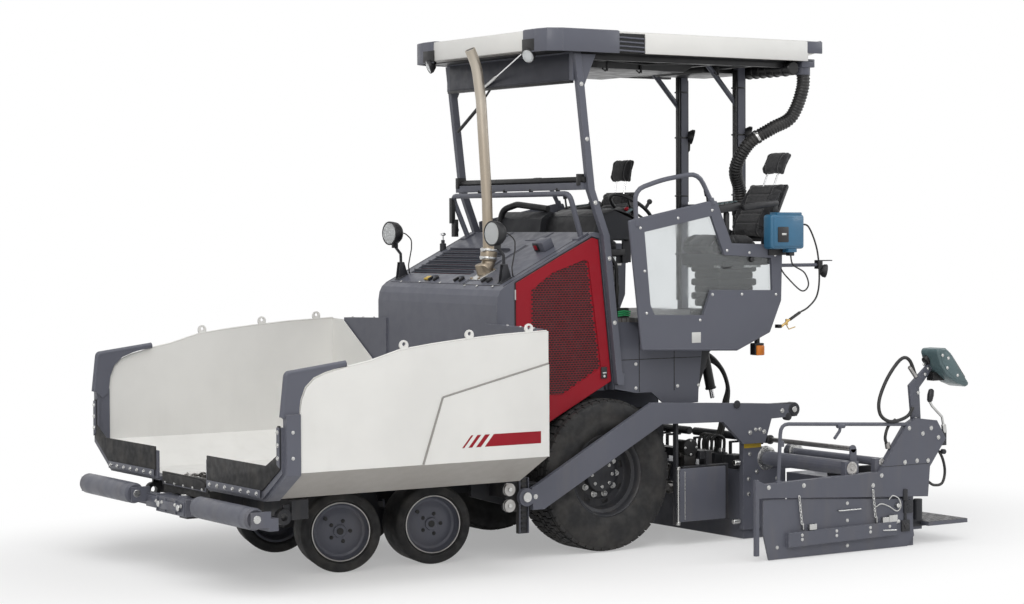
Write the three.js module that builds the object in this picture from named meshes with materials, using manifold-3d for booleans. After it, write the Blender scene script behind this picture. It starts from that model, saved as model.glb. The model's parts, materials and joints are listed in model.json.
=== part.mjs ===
// A compact wheeled asphalt paver with its hopper, canopy and extending screed.
// Millimetres; +X forward, +Y to the left, +Z up; x = 0 is first laid out at the rear axle.
import * as THREE from "three";
import { mergeVertices } from "three/addons/utils/BufferGeometryUtils.js";
import Module from "manifold-3d";

const wasm = await Module();
wasm.setup();

// ---------------------------------------------------------------- driving dimensions

const GAP = 0.3; // between two pieces that touch
const CLEAR = 8; // between two pieces that move past each other

// rear wheels, 385/65 R22.5
const REAR_TYRE_R = 536;
const REAR_TYRE_W = 385;
const REAR_RIM_R = 286;
const REAR_WHEEL_OUT = 900; // outer face from the centre line
const REAR_DISC_IN = 150; // inner face of the wheel's disc from its outer face

// front wheels, solid rubber on a tandem
const FRONT_TYRE_R = 270;
const FRONT_TYRE_W = 300;
const FRONT_RIM_R = 195;
const FRONT_WHEEL_MID = 560; // middle of the tyre from the centre line
const FRONT_AXLE_X = [1931, 1262];
const KINGPIN_Y = 392;
const FRONT_DISC = 75; // inner face of the wheel's disc from the tyre's middle
const LUG_LOW = 208; // between these heights the kingpin carries its knuckle
const LUG_HIGH = 332;
const STEER_DEG = [18, 11]; // as parked, to the right

// frame and conveyor
const DECK_Z = 560; // underside of the conveyor floor
const DECK_T = 12;
const DECK_HALF = 400;
const SPINE_HALF = 180;
const FRAME_FRONT = 2730;
const FRAME_REAR = -820;
const TUNNEL_TOP = 960;

// hopper
const HOPPER_HALF = 1447; // outer face of the wing
const HOPPER_REAR = 906;
const HOPPER_FRONT = 2718;
const WING_HINGE_Y = 430;
const WING_HINGE_Z = 590;
const WING_WALL = 10;
const WING_FLOOR_Z = 572;
const WING_FOLD_Z = 765;
const WING_BEND_Y = 1100;
const FLAP_FRONT = 2850;
const FLAP_T = 14;

// hood
const HOOD_HALF = 800;
const HOOD_FRONT = 870;
const HOOD_TOP_Z = 2235;
const HOOD_SKIN = 12;
const HOOD_FLOOR_Z = 1120;
const DOOR_FRONT = 717;
const DOOR_T = 28;

// body behind the hood and the operator's floor
const BODY_REAR = -890;
const BODY_BOTTOM = 1095;
const FLOOR_Z = 1600;
const FLOOR_T = 30;
const PLATFORM_REAR = -1560;
const PLATFORM_HALF = 800;
const SIDE_PANEL_Y = 975;
const SIDE_PANEL_T = 24;

// canopy
const ROOF_BOTTOM = 3490;
const ROOF_TOP = 3630;
const ROOF_FRONT = 500;
const ROOF_REAR = -1925;
const ROOF_HALF = 900;
const POST_HALF = 800;

// push rollers
const BEAM_PIVOT_X = 2800;
const BEAM_PIN_R = 20;
const ROLLER_X = 2963;
const ROLLER_R = 70;
const ROLLER_PIN_R = 18;
const ROLLER_IN = 480;
const ROLLER_OUT = 1285;
const ROLLER_Z = 480;

// screed
const ARM_Y = 950; // middle of the tow arm
const ARM_T = 36;
const TOW_POINT_X = 740;
const TOW_POINT_Z = 440;
const SCREED_FRONT = -1190;
const SCREED_REAR = -1560;
const SCREED_HALF = 905;
const SCREED_TOP = 520;
const SCREED_BOTTOM = 4;
const EXT_REAR = -1960;
const EXT_IN = 60; // inner end of an extension when closed, from the centre line
const EXT_OUT = 980; // outer end when closed
const EXT_TRAVEL = 875; // run out this far, as parked
const END_T = 26;

// ---------------------------------------------------------------- finishes

function finish(color, roughness, metalness = 0) {
  return () => new THREE.MeshStandardMaterial({ color, roughness, metalness });
}
const GREY = finish(0x5c5e69, 0.45);
const DARK = finish(0x2a2b2f, 0.6);
const WHITE = finish(0xe9e8e4, 0.4);
const RED = finish(0x951a28, 0.4);
const RUBBER = finish(0x1c1c1d, 0.85);
const STEEL = finish(0x9a9a98, 0.4, 0.8);
const EXHAUST = finish(0xb39d7c, 0.35, 0.9);
const BLUE = finish(0x2c6487, 0.5);
const FABRIC = finish(0x202124, 0.9);

// ---------------------------------------------------------------- solids

// A closed three.js geometry as a solid that can be joined and cut.
function solid(geometry) {
  const bare = geometry.clone();
  bare.deleteAttribute("normal");
  bare.deleteAttribute("uv");
  const merged = mergeVertices(bare, 1e-3);
  const made = new wasm.Manifold(
    new wasm.Mesh({
      numProp: 3,
      vertProperties: merged.attributes.position.array,
      triVerts: new Uint32Array(merged.index.array),
    }),
  );
  if (made.volume() < 0) throw new Error("a solid is inside out");
  return made;
}

function join(...solids) {
  return solids.flat().reduce((a, b) => a.add(b));
}

function cut(body, ...tools) {
  return tools.flat().reduce((a, b) => a.subtract(b), body);
}

// The solid as a named mesh with a finish of its own.
function node(name, body, finishOf) {
  const { vertProperties, triVerts } = body.getMesh();
  const geometry = new THREE.BufferGeometry();
  geometry.setAttribute("position", new THREE.BufferAttribute(vertProperties, 3));
  geometry.setIndex(new THREE.BufferAttribute(triVerts, 1));
  geometry.computeVertexNormals();
  const mesh = new THREE.Mesh(geometry, finishOf());
  mesh.name = name;
  return mesh;
}

function placed(geometry, x = 0, y = 0, z = 0) {
  geometry.translate(x, y, z);
  return solid(geometry);
}

// A box from one corner to the other.
function box(x0, x1, y0, y1, z0, z1) {
  const size = [Math.abs(x1 - x0), Math.abs(y1 - y0), Math.abs(z1 - z0)];
  return placed(new THREE.BoxGeometry(...size), (x0 + x1) / 2, (y0 + y1) / 2, (z0 + z1) / 2);
}

// A box that is the same on the left (side 1) and the right (side -1).
function sideBox(side, x0, x1, y0, y1, z0, z1) {
  return box(x0, x1, side * y0, side * y1, z0, z1);
}

function outline(points) {
  const shape = new THREE.Shape(points.map(([a, b]) => new THREE.Vector2(a, b)));
  return shape;
}

// An outline seen from the side, in (x, z), run from y0 to y1.
function sidePlate(points, y0, y1, holes = []) {
  const shape = outline(points);
  shape.holes = holes.map((hole) => outline(hole));
  const depth = Math.abs(y1 - y0);
  const geometry = new THREE.ExtrudeGeometry(shape, { depth, bevelEnabled: false });
  geometry.rotateX(Math.PI / 2);
  return placed(geometry, 0, Math.max(y0, y1), 0);
}

// An outline seen from the front, in (y, z), run from x0 to x1.
function frontPlate(points, x0, x1) {
  const depth = Math.abs(x1 - x0);
  const geometry = new THREE.ExtrudeGeometry(outline(points), { depth, bevelEnabled: false });
  geometry.rotateX(Math.PI / 2);
  geometry.rotateZ(Math.PI / 2);
  return placed(geometry, Math.min(x0, x1), 0, 0);
}

// An outline seen from above, in (x, y), run from z0 to z1.
function topPlate(points, z0, z1) {
  const geometry = new THREE.ExtrudeGeometry(outline(points), {
    depth: z1 - z0,
    bevelEnabled: false,
  });
  return placed(geometry, 0, 0, z0);
}

function rod(from, to, radius, sides = 16, endRadius = radius) {
  const a = new THREE.Vector3(...from);
  const b = new THREE.Vector3(...to);
  const length = a.distanceTo(b);
  const geometry = new THREE.CylinderGeometry(endRadius, radius, length, sides);
  const along = b.clone().sub(a).normalize();
  geometry.applyQuaternion(
    new THREE.Quaternion().setFromUnitVectors(new THREE.Vector3(0, 1, 0), along),
  );
  return placed(geometry, (a.x + b.x) / 2, (a.y + b.y) / 2, (a.z + b.z) / 2);
}

// A path that steps from each chosen point to the next, however far apart they lie.
class StepPath extends THREE.Curve {
  constructor(points) {
    super();
    this.points = points;
  }

  getPointAt(u) {
    const last = this.points.length - 1;
    const i = Math.min(Math.floor(u * last + 1e-6), last - 1);
    return this.points[i].clone().lerp(this.points[i + 1], u * last - i);
  }

  getTangentAt(u) {
    const last = this.points.length - 1;
    const i = Math.round(u * last);
    const before = this.points[Math.max(i - 1, 0)];
    const after = this.points[Math.min(i + 1, last)];
    return after.clone().sub(before).normalize();
  }
}

// A round tube through the points, with its bends rounded to the given radius.
function bentTube(points, radius, bend = 60, sides = 10) {
  const at = points.map((p) => new THREE.Vector3(...p));
  const path = [at[0]];
  for (let i = 1; i < at.length - 1; i += 1) {
    const before = at[i - 1].clone().sub(at[i]);
    const after = at[i + 1].clone().sub(at[i]);
    const reach = Math.min(bend, before.length() * 0.45, after.length() * 0.45);
    const from = at[i].clone().add(before.setLength(reach));
    const to = at[i].clone().add(after.setLength(reach));
    path.push(...new THREE.QuadraticBezierCurve3(from, at[i], to).getPoints(4));
  }
  path.push(at[at.length - 1]);
  const ring = new THREE.Shape();
  ring.absarc(0, 0, radius, 0, 2 * Math.PI, false);
  const geometry = new THREE.ExtrudeGeometry(ring, {
    steps: path.length - 1,
    curveSegments: sides / 2,
    extrudePath: new StepPath(path),
    bevelEnabled: false,
  });
  return solidAnyWay(geometry);
}

// A ring turned about the Y axis from a closed (radius, y) profile.
function turnedY(profile, segments) {
  const points = [...profile, profile[0]].map(([r, y]) => new THREE.Vector2(r, y));
  const geometry = new THREE.LatheGeometry(points, segments);
  return solidAnyWay(geometry);
}

// The solid of a turned profile, whichever way round its points go.
function solidAnyWay(geometry) {
  geometry.deleteAttribute("normal");
  geometry.deleteAttribute("uv");
  const merged = mergeVertices(geometry, 1e-3);
  const index = Array.from(merged.index.array);
  const kept = [];
  for (let i = 0; i < index.length; i += 3) {
    const [a, b, c] = index.slice(i, i + 3);
    if (a !== b && b !== c && a !== c) kept.push([a, b, c]);
  }
  const build = (faces) =>
    new wasm.Manifold(
      new wasm.Mesh({
        numProp: 3,
        vertProperties: merged.attributes.position.array,
        triVerts: new Uint32Array(faces.flat()),
      }),
    );
  const made = build(kept);
  return made.volume() > 0 ? made : build(kept.map(([a, b, c]) => [a, c, b]));
}

const SIDES = [
  ["left", 1],
  ["right", -1],
];

// ---------------------------------------------------------------- frame and running gear

function mainFrame() {
  const top = DECK_Z - GAP;
  const spine = box(FRAME_REAR + 60, FRAME_FRONT, -SPINE_HALF, SPINE_HALF, 400, top);
  const frontBeam = box(2440, 2560, -1000, 1000, 420, 545);
  const nose = box(2560, FRAME_FRONT, -330, 330, 400, 545);
  const eyes = SIDES.map(([, side]) =>
    cut(
      join(
        sideBox(side, 2520, 2610, 960, 984, 415, 520),
        rod([2610, side * 950, 440], [2610, side * 994, 440], 52, 20),
      ),
      rod([2610, side * 900, 440], [2610, side * 1100, 440], 24, 20),
    ),
  );
  const tongue = box(2650, BEAM_PIVOT_X + 40, -60, 60, 350, 377);
  const neck = box(2600, 2700, -60, 60, 350, 410);
  const pin = rod([BEAM_PIVOT_X, 0, 352], [BEAM_PIVOT_X, 0, 496], BEAM_PIN_R, 16);
  return join(spine, frontBeam, nose, eyes, tongue, neck, pin, tandem(1), tandem(-1));
}

// One side of the frame with the wheel motor that is bolted to it.
function frameSide(side) {
  const inner = side * (DECK_HALF + GAP);
  const outer = side * 430;
  const plate = sidePlate(
    [
      [FRAME_REAR, 380],
      [-500, 330],
      [600, 330],
      [850, 400],
      [850, TUNNEL_TOP],
      [FRAME_REAR, TUNNEL_TOP],
    ],
    inner,
    outer,
  );
  const motor = rod([0, outer - side, REAR_TYRE_R], [0, side * 600, REAR_TYRE_R], 150, 20);
  const hub = REAR_WHEEL_OUT - REAR_DISC_IN - GAP;
  const gear = rod([0, side * 590, REAR_TYRE_R], [0, side * hub, REAR_TYRE_R], 105, 20);
  const towBracket = sideBox(side, 560, 700, 429, ARM_Y - 70, 400, 520);
  return join(plate, motor, gear, towBracket, towGuide(side));
}

// The upright slide that the front end of a tow arm is set on.
function towGuide(side) {
  const mid = ARM_Y - 40;
  const bar = sideBox(side, 706, 780, mid - 20, ARM_Y - ARM_T / 2 - 6, 190, 572);
  const shoe = sideBox(side, 690, 790, ARM_Y - 80, mid - 15, 400, 520);
  const pin = rod(
    [TOW_POINT_X, side * (mid - 10), TOW_POINT_Z],
    [TOW_POINT_X, side * (ARM_Y + ARM_T / 2 + 6), TOW_POINT_Z],
    22,
    24,
  );
  const pulleys = [387, 496].map((z) =>
    rod([860, side * (mid - 18), z], [860, side * (mid + 28), z], 42, 20),
  );
  const plate = sideBox(side, 780, 872, mid - 15, mid - 3, 340, 540);
  return join(bar, shoe, plate, pulleys, pin);
}

// The conveyor's floor, with the pins that the wings are hinged on.
const WING_HINGE_X = [1000, 2480];
const WING_PIN_R = 9;

function conveyorFloor() {
  const floor = box(FRAME_REAR + 40, FRAME_FRONT, -DECK_HALF, DECK_HALF, DECK_Z, DECK_Z + DECK_T);
  const hinges = WING_HINGE_X.flatMap((x) =>
    SIDES.map(([, side]) =>
      join(
        sideBox(side, x, x + 18, DECK_HALF - 10, WING_HINGE_Y + 4, DECK_Z + 2, WING_HINGE_Z + 10),
        rod(
          [x + 2, side * WING_HINGE_Y, WING_HINGE_Z],
          [x + 130, side * WING_HINGE_Y, WING_HINGE_Z],
          WING_PIN_R,
          24,
        ),
      ),
    ),
  );
  return join(floor, hinges);
}

// The beam that carries the two front wheels of one side.
function tandem(side) {
  const inner = side * (SPINE_HALF - 1);
  const outer = side * 285;
  const [front, rear] = FRONT_AXLE_X;
  const mid = (front + rear) / 2;
  const beam = sidePlate(
    [
      [rear - 60, 205],
      [front + 60, 205],
      [front + 60, 335],
      [mid + 100, 350],
      [mid + 60, 480],
      [mid - 60, 480],
      [mid - 100, 350],
      [rear - 60, 335],
    ],
    inner,
    outer,
  );
  const lugs = FRONT_AXLE_X.flatMap((x) => [
    sideBox(side, x - 38, x + 38, 280, KINGPIN_Y + 30, LUG_HIGH, LUG_HIGH + 18),
    sideBox(side, x - 38, x + 38, 280, KINGPIN_Y + 30, LUG_LOW - 18, LUG_LOW),
    sideBox(side, x - 38, x + 38, 280, 300, 200, 340),
  ]);
  return join(beam, lugs);
}

// A steering knuckle about its kingpin, with the stub that the wheel turns on.
function knuckle(side) {
  const block = box(-34, 34, -34, 34, LUG_LOW + GAP - FRONT_TYRE_R, LUG_HIGH - GAP - FRONT_TYRE_R);
  const stub = rod([0, 0, 0], [0, side * (FRONT_WHEEL_MID - KINGPIN_Y + FRONT_DISC - GAP), 0], 34, 20);
  return join(block, stub);
}

// A solid wheel about its own middle, open on the inner side.
function frontWheel(side) {
  const half = FRONT_TYRE_W / 2;
  const disc = FRONT_DISC;
  const profile = [
    [0, disc],
    [0, disc + 14],
    [FRONT_RIM_R - 16, disc + 14],
    [FRONT_RIM_R - 8, half - 12],
    [FRONT_RIM_R + 6, half - 12],
    [FRONT_RIM_R + 30, half],
    [FRONT_TYRE_R - 14, half - 6],
    [FRONT_TYRE_R, half - 26],
    [FRONT_TYRE_R, 26 - half],
    [FRONT_TYRE_R - 14, 6 - half],
    [FRONT_RIM_R + 6, -half],
    [FRONT_RIM_R - 12, 4 - half],
    [FRONT_RIM_R - 12, disc],
  ].map(([r, y]) => [r, side * y]);
  return turnedY(profile, 28);
}

function rearWheel(side) {
  const half = REAR_TYRE_W / 2;
  const disc = half - REAR_DISC_IN;
  const hub = 130;
  const profile = [
    [0, disc],
    [0, disc + 70],
    [hub - 20, disc + 70],
    [hub, disc + 16],
    [REAR_RIM_R - 40, disc + 16],
    [REAR_RIM_R - 14, half - 30],
    [REAR_RIM_R + 14, half - 14],
    [REAR_RIM_R + 40, half - 6],
    [REAR_TYRE_R - 110, half],
    [REAR_TYRE_R - 22, half - 22],
    [REAR_TYRE_R, half - 60],
    [REAR_TYRE_R, 60 - half],
    [REAR_TYRE_R - 22, 22 - half],
    [REAR_TYRE_R - 110, -half],
    [REAR_RIM_R + 14, 14 - half],
    [REAR_RIM_R - 16, 14 - half],
    [REAR_RIM_R - 26, disc - 20],
    [REAR_RIM_R - 60, disc],
  ].map(([r, y]) => [r, side * y]);
  return turnedY(profile, 40);
}

// ---------------------------------------------------------------- hopper

// The wing's section from its hinge outwards, as an outline one wall thick.
function wingSection(side, floorZ, topZ) {
  const t = WING_WALL;
  return [
    [WING_HINGE_Y + CLEAR, floorZ],
    [WING_BEND_Y, floorZ],
    [HOPPER_HALF, WING_FOLD_Z],
    [HOPPER_HALF, topZ],
    [HOPPER_HALF - t, topZ],
    [HOPPER_HALF - t, WING_FOLD_Z + 4],
    [WING_BEND_Y - 4, floorZ + t],
    [WING_HINGE_Y + CLEAR, floorZ + t],
  ].map(([y, z]) => [side * y, z]);
}

// The wing's upper edge from the rear to the rounded front corner.
const WING_TOP = [
  [HOPPER_REAR - 30, 1591],
  [1266, 1575],
  [1572, 1552],
  [1775, 1532],
  [2020, 1502],
  [2238, 1440],
  [2403, 1409],
  [2560, 1372],
  [2630, 1343],
  [2690, 1290],
  [2722, 1215],
  [2736, 1130],
];

function wing(side) {
  const top = 1600;
  const wall = frontPlate(wingSection(side, WING_FLOOR_Z, top), HOPPER_REAR - 16, HOPPER_FRONT + 18);
  const above = sidePlate(
    [...WING_TOP, [2760, 1130], [2760, top + 20], [HOPPER_REAR - 30, top + 20]],
    side * (HOPPER_HALF + 20),
    side * (HOPPER_HALF - 60),
  );
  const inner = side * (HOPPER_HALF - WING_WALL);
  const rearWall = frontPlate(
    [
      [side * (WING_HINGE_Y + CLEAR), WING_FLOOR_Z + 2],
      [side * WING_BEND_Y, WING_FLOOR_Z + 2],
      [inner + side * 2, WING_FOLD_Z],
      [inner + side * 2, 1588],
      [side * 1293, 1585],
      [side * 860, 1311],
      [side * 700, 1180],
      [side * (WING_HINGE_Y + CLEAR), 860],
    ],
    HOPPER_REAR - 16,
    HOPPER_REAR - 6,
  );
  const stepped = sidePlate(
    [
      [HOPPER_REAR - 16, WING_FOLD_Z],
      [1850, WING_FOLD_Z],
      [1703, 1185],
      [HOPPER_REAR - 16, 1372],
    ],
    side * (HOPPER_HALF - 1),
    side * (HOPPER_HALF + 12),
  );
  const lugs = [1040, 1500, 1990].map((x, i) => {
    const z = [1587, 1560, 1508][i];
    const y = HOPPER_HALF - WING_WALL;
    const ear = rod([x, side * y, z + 22], [x, side * (y + 10), z + 22], 34, 14);
    return cut(ear, rod([x, side * (y - 9), z + 30], [x, side * (y + 19), z + 30], 13, 10));
  });
  const rearTrim = frontPlate(
    [
      [side * (WING_HINGE_Y - 30), WING_FLOOR_Z - 60],
      [side * (HOPPER_HALF + 20), WING_FLOOR_Z - 60],
      [side * (HOPPER_HALF + 20), WING_FOLD_Z + 10],
      [side * (HOPPER_HALF - 1), WING_FOLD_Z - 2],
    ],
    HOPPER_REAR - 40,
    HOPPER_REAR - 41,
  );
  const knuckles = WING_HINGE_X.map((x) =>
    rod(
      [x + 24, side * WING_HINGE_Y, WING_HINGE_Z],
      [x + 120, side * WING_HINGE_Y, WING_HINGE_Z],
      2 * WING_PIN_R,
      16,
    ),
  );
  const bores = WING_HINGE_X.map((x) =>
    rod(
      [x - 5, side * WING_HINGE_Y, WING_HINGE_Z],
      [x + 140, side * WING_HINGE_Y, WING_HINGE_Z],
      WING_PIN_R + GAP,
      24,
    ),
  );
  return cut(join(cut(wall, above), rearWall, stepped, lugs, knuckles), rearTrim, bores);
}

// The grey plates and rubber along the front edge of a wing.
function wingFront(side) {
  const out = HOPPER_HALF;
  const cheek = sidePlate(
    [
      [2403, 1421],
      [2560, 1383],
      [2640, 1352],
      [2700, 1297],
      [2732, 1218],
      [2746, 1100],
      [2792, 1064],
      [2847, 1112],
      [2817, 1376],
      [2403, 1428],
    ],
    side * (out - 40),
    side * out,
  );
  const t = 26;
  const post = frontPlate(
    [
      [side * (out - 34), WING_FOLD_Z - 4],
      [side * (WING_BEND_Y + 70), WING_FLOOR_Z + 26],
      [side * (WING_HINGE_Y - 60), WING_FLOOR_Z + 26],
      [side * (WING_HINGE_Y - 60), WING_FLOOR_Z - 2],
      [side * (WING_BEND_Y + 72), WING_FLOOR_Z - 2],
      [side * (out + 12), WING_FOLD_Z - 12],
      [side * (out + 12), 1130],
      [side * (out - 34), 1130],
    ],
    HOPPER_FRONT + 18 + GAP,
    FLAP_FRONT - FLAP_T,
  );
  const flap = frontPlate(
    [
      [side * (WING_HINGE_Y - 59), 585],
      [side * (WING_BEND_Y + 60), 585],
      [side * (out - 25), WING_FOLD_Z],
      [side * (out - 25), 1050],
      [side * (out - 75), 1050],
      [side * (out - 75), 850],
      [side * (WING_BEND_Y + 110), 782],
      [side * (WING_HINGE_Y - 59), 772],
    ],
    FLAP_FRONT - FLAP_T - 1,
    FLAP_FRONT,
  );
  return join(cheek, post, flap, sideBox(side, 2738, 2762, out - 30, out, 1085, 1132));
}

function centreFlap() {
  const half = WING_HINGE_Y - 85;
  const front = FLAP_FRONT - FLAP_T - CLEAR;
  const flap = box(front - FLAP_T, front, -half, half, 545, 635);
  const sill = box(FRAME_FRONT + GAP, front - FLAP_T + 1, -half, half, 500, 556);
  return join(flap, sill);
}

// The fixed wall behind a wing, beside the hood.
function hopperBack(side) {
  const x = HOPPER_REAR - 16 - CLEAR;
  const plate = frontPlate(
    [
      [side * 670, 1000],
      [side * 1000, 1000],
      [side * 1293, 1250],
      [side * 1293, 1597],
      [side * 670, 1612],
    ],
    x - 10,
    x,
  );
  const flange = frontPlate(
    [
      [side * 670, 1605],
      [side * 1293, 1590],
      [side * 1293, 1598],
      [side * 670, 1613],
    ],
    x - 60,
    x - 1,
  );
  const returned = sideBox(side, HOOD_FRONT - 2, x, 670, 680, 1000, 1600);
  const foot = sideBox(side, 820, x, 811, 1000, 1000, 1020);
  return join(plate, flange, returned, foot);
}

// ---------------------------------------------------------------- push rollers

function pushBeam() {
  const block = box(BEAM_PIVOT_X - 30, 2930, -230, 230, 385, 490);
  const pinHole = rod([BEAM_PIVOT_X, 0, 300], [BEAM_PIVOT_X, 0, 600], BEAM_PIN_R + GAP, 16);
  const bar = box(2815, 2880, -ROLLER_OUT - 20, ROLLER_OUT + 20, 400, 480);
  const ends = [ROLLER_IN - 20, ROLLER_OUT + 6].flatMap((y) =>
    SIDES.map(([, side]) =>
      sideBox(side, 2866, ROLLER_X + 40, y, y + 14, ROLLER_Z - 55, ROLLER_Z + 45),
    ),
  );
  const bores = SIDES.map(([, side]) =>
    rod(
      [ROLLER_X, side * (ROLLER_IN - 60), ROLLER_Z],
      [ROLLER_X, side * (ROLLER_OUT + 60), ROLLER_Z],
      ROLLER_PIN_R + GAP,
      12,
    ),
  );
  return cut(join(block, bar, ends), bores, pinHole);
}

function pushRoller(side) {
  const tube = rod(
    [0, side * (ROLLER_IN + CLEAR), 0],
    [0, side * (ROLLER_OUT - CLEAR + 6), 0],
    ROLLER_R,
    24,
  );
  const pin = rod(
    [0, side * (ROLLER_IN - 20), 0],
    [0, side * (ROLLER_OUT + 20), 0],
    ROLLER_PIN_R,
    12,
  );
  return join(tube, pin);
}

// ---------------------------------------------------------------- hood

const HOOD_SLOPE = [
  [HOOD_FRONT, 1000],
  [HOOD_FRONT, 1740],
  [860, 1800],
  [838, 1842],
  [800, 1872],
  [60, HOOD_TOP_Z],
  [0, HOOD_TOP_Z - 8],
  [-110, 1125],
];
const DOOR_OUTLINE = [
  [DOOR_FRONT, 1890],
  [333, 2078],
  [79, 2196],
  [30, 2182],
  [-80, 1190],
  [456, 922],
  [DOOR_FRONT, 922],
];
const LID_Y = [-745, 245];
const LID_X = [250, 800];

// The height of the hood's sloping top at a station.
function hoodTop(x) {
  return 1872 + ((800 - x) * (HOOD_TOP_Z - 1872)) / 740;
}

function hoodShell() {
  const t = HOOD_SKIN;
  const full = sidePlate(HOOD_SLOPE, -HOOD_HALF, HOOD_HALF);
  const inside = sidePlate(
    [
      [HOOD_FRONT - t, 900],
      [HOOD_FRONT - t, 1735],
      [826, 1828],
      [795, 1858],
      [62, HOOD_TOP_Z - t - 2],
      [10, HOOD_TOP_Z - t - 10],
      [-110, 900],
    ],
    -HOOD_HALF + t + 30,
    HOOD_HALF - t - 30,
  );
  const doorways = SIDES.map(([, side]) =>
    sidePlate(
      [
        [DOOR_FRONT + CLEAR, 900],
        [DOOR_FRONT + CLEAR, 1894],
        [333, 2086],
        [79, 2206],
        [14, 2190],
        [-100, 1190],
        [-130, 900],
      ],
      side * (HOOD_HALF - t - 60),
      side * (HOOD_HALF + 20),
    ),
  );
  const lidHole = box(LID_X[0], LID_X[1], LID_Y[0], LID_Y[1], 1700, 2400);
  const rearWall = sidePlate(
    [
      [-28, 1125],
      [60, 2190],
      [30, 2190],
      [-70, 1125],
    ],
    -HOOD_HALF + 60,
    HOOD_HALF - 60,
  );
  const latches = SIDES.map(([, side]) => sideBox(side, -60, -10, 700, 745, 1500, 1600));
  const floor = box(-70, 850, -HOOD_HALF + 60, HOOD_HALF - 60, HOOD_FLOOR_Z, HOOD_FLOOR_Z + t);
  const webs = SIDES.map(([, side]) =>
    sideBox(side, -20, 850, DECK_HALF + 5, DECK_HALF + 25, TUNNEL_TOP + GAP, HOOD_FLOOR_Z + 2),
  );
  const lidHinges = [-640, 100].map((y) => {
    const x = LID_X[0];
    return box(x - 12, x + CLEAR - GAP, y, y + 60, hoodTop(x) - 12, hoodTop(x + CLEAR) - 2);
  });
  const doorHinges = SIDES.flatMap(([, side]) =>
    [1000, 1780].map((z) =>
      sideBox(side, DOOR_FRONT + GAP, DOOR_FRONT + 12, HOOD_HALF - 15, HOOD_HALF, z, z + 60),
    ),
  );
  const skirt = box(HOOD_FRONT - t, HOOD_FRONT, -HOOD_HALF, HOOD_HALF, TUNNEL_TOP, 1010);
  const backs = SIDES.map(([, side]) => hopperBack(side));
  const skin = cut(full, inside, doorways, lidHole);
  return join(skin, rearWall, floor, webs, skirt, latches, backs, lidHinges, doorHinges);
}

function hoodLid() {
  const [y0, y1] = LID_Y;
  const [x0, x1] = LID_X;
  const top = sidePlate(
    [
      [x0 + CLEAR, hoodTop(x0 + CLEAR) - 12],
      [x1 - CLEAR, hoodTop(x1 - CLEAR) - 12],
      [x1 - CLEAR, hoodTop(x1 - CLEAR) + 4],
      [x0 + CLEAR, hoodTop(x0 + CLEAR) + 4],
    ],
    y0 + CLEAR,
    y1 - CLEAR,
  );
  const slots = [0, 1, 2, 3, 4, 5].map((i) => {
    const x = x0 + 75 + i * 62;
    return box(x, x + 36, y0 + 70, y1 - 90, 1700, 2400);
  });
  const grips = [-200, 150].map((y) => {
    const x = x1 - 70;
    return box(x, x + 26, y - 14, y + 14, hoodTop(x) - 4, hoodTop(x) + 26);
  });
  return join(cut(top, slots), grips);
}

function sideDoor(side) {
  const out = HOOD_HALF + 8;
  const full = sidePlate(DOOR_OUTLINE, side * (out - DOOR_T), side * out);
  const grille = [
    [601, 1835],
    [426, 1955],
    [150, 2045],
    [110, 2030],
    [5, 1290],
    [330, 1110],
    [601, 1110],
  ];
  const recess = sidePlate(grille, side * (out - 6), side * (out + 10));
  const dish = sidePlate(grille, side * (out - DOOR_T - 10), side * (out - 12));
  const latch = sideBox(side, -40, 10, out - 2, out + 10, 1215, 1290);
  return join(cut(full, recess, dish), latch);
}

function engineBlock() {
  const block = box(120, 700, -330, 330, HOOD_FLOOR_Z + HOOD_SKIN + 60, 1740);
  const feet = [180, 600].flatMap((x) =>
    [-300, 240].map((y) => box(x, x + 60, y, y + 60, HOOD_FLOOR_Z + HOOD_SKIN + GAP, 1200)),
  );
  return join(block, feet);
}

// The exhaust pipe from its foot on the hood up past the canopy's front edge.
const EXHAUST_Y = 300;
function exhaustPipe() {
  const path = [
    [617, 2056],
    [616, 2182],
    [623, 2463],
    [669, 3162],
    [705, 3400],
    [758, 3508],
  ].map(([x, z]) => [x, EXHAUST_Y, z]);
  const pipe = bentTube(path, 37, 120, 14);
  const elbow = bentTube([[604, EXHAUST_Y, hoodTop(600) + 42], path[0], path[1]], 52, 60, 14);
  const foot = sidePlate(
    [
      [560, hoodTop(560) + GAP],
      [740, hoodTop(740) + GAP],
      [740, hoodTop(740) + 14],
      [620, hoodTop(620) + 70],
      [580, hoodTop(580) + 70],
      [560, hoodTop(560) + 14],
    ],
    EXHAUST_Y - 20,
    EXHAUST_Y + 60,
  );
  return join(pipe, elbow, foot);
}

function hoodLamp(side) {
  const [x, y, z] = [800, 690, 2228];
  const seat = hoodTop(735);
  const lift = side < 0 ? 4 + GAP : GAP; // the right lamp stands on the lid
  const can = rod([x + 42, side * y, z + 8], [x - 50, side * y, z - 4], 80, 18, 56);
  const stalk = rod([x - 10, side * y, z - 50], [738, side * (y + 8), seat + 14], 14, 10);
  const foot = sidePlate(
    [
      [690, hoodTop(690) + lift],
      [775, hoodTop(775) + lift],
      [775, hoodTop(775) + 14],
      [745, seat + 90],
      [715, seat + 90],
      [690, hoodTop(690) + 14],
    ],
    side * (y - 14),
    side * (y + 26),
  );
  return join(can, stalk, foot);
}

// ---------------------------------------------------------------- body, floor and rails

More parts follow.
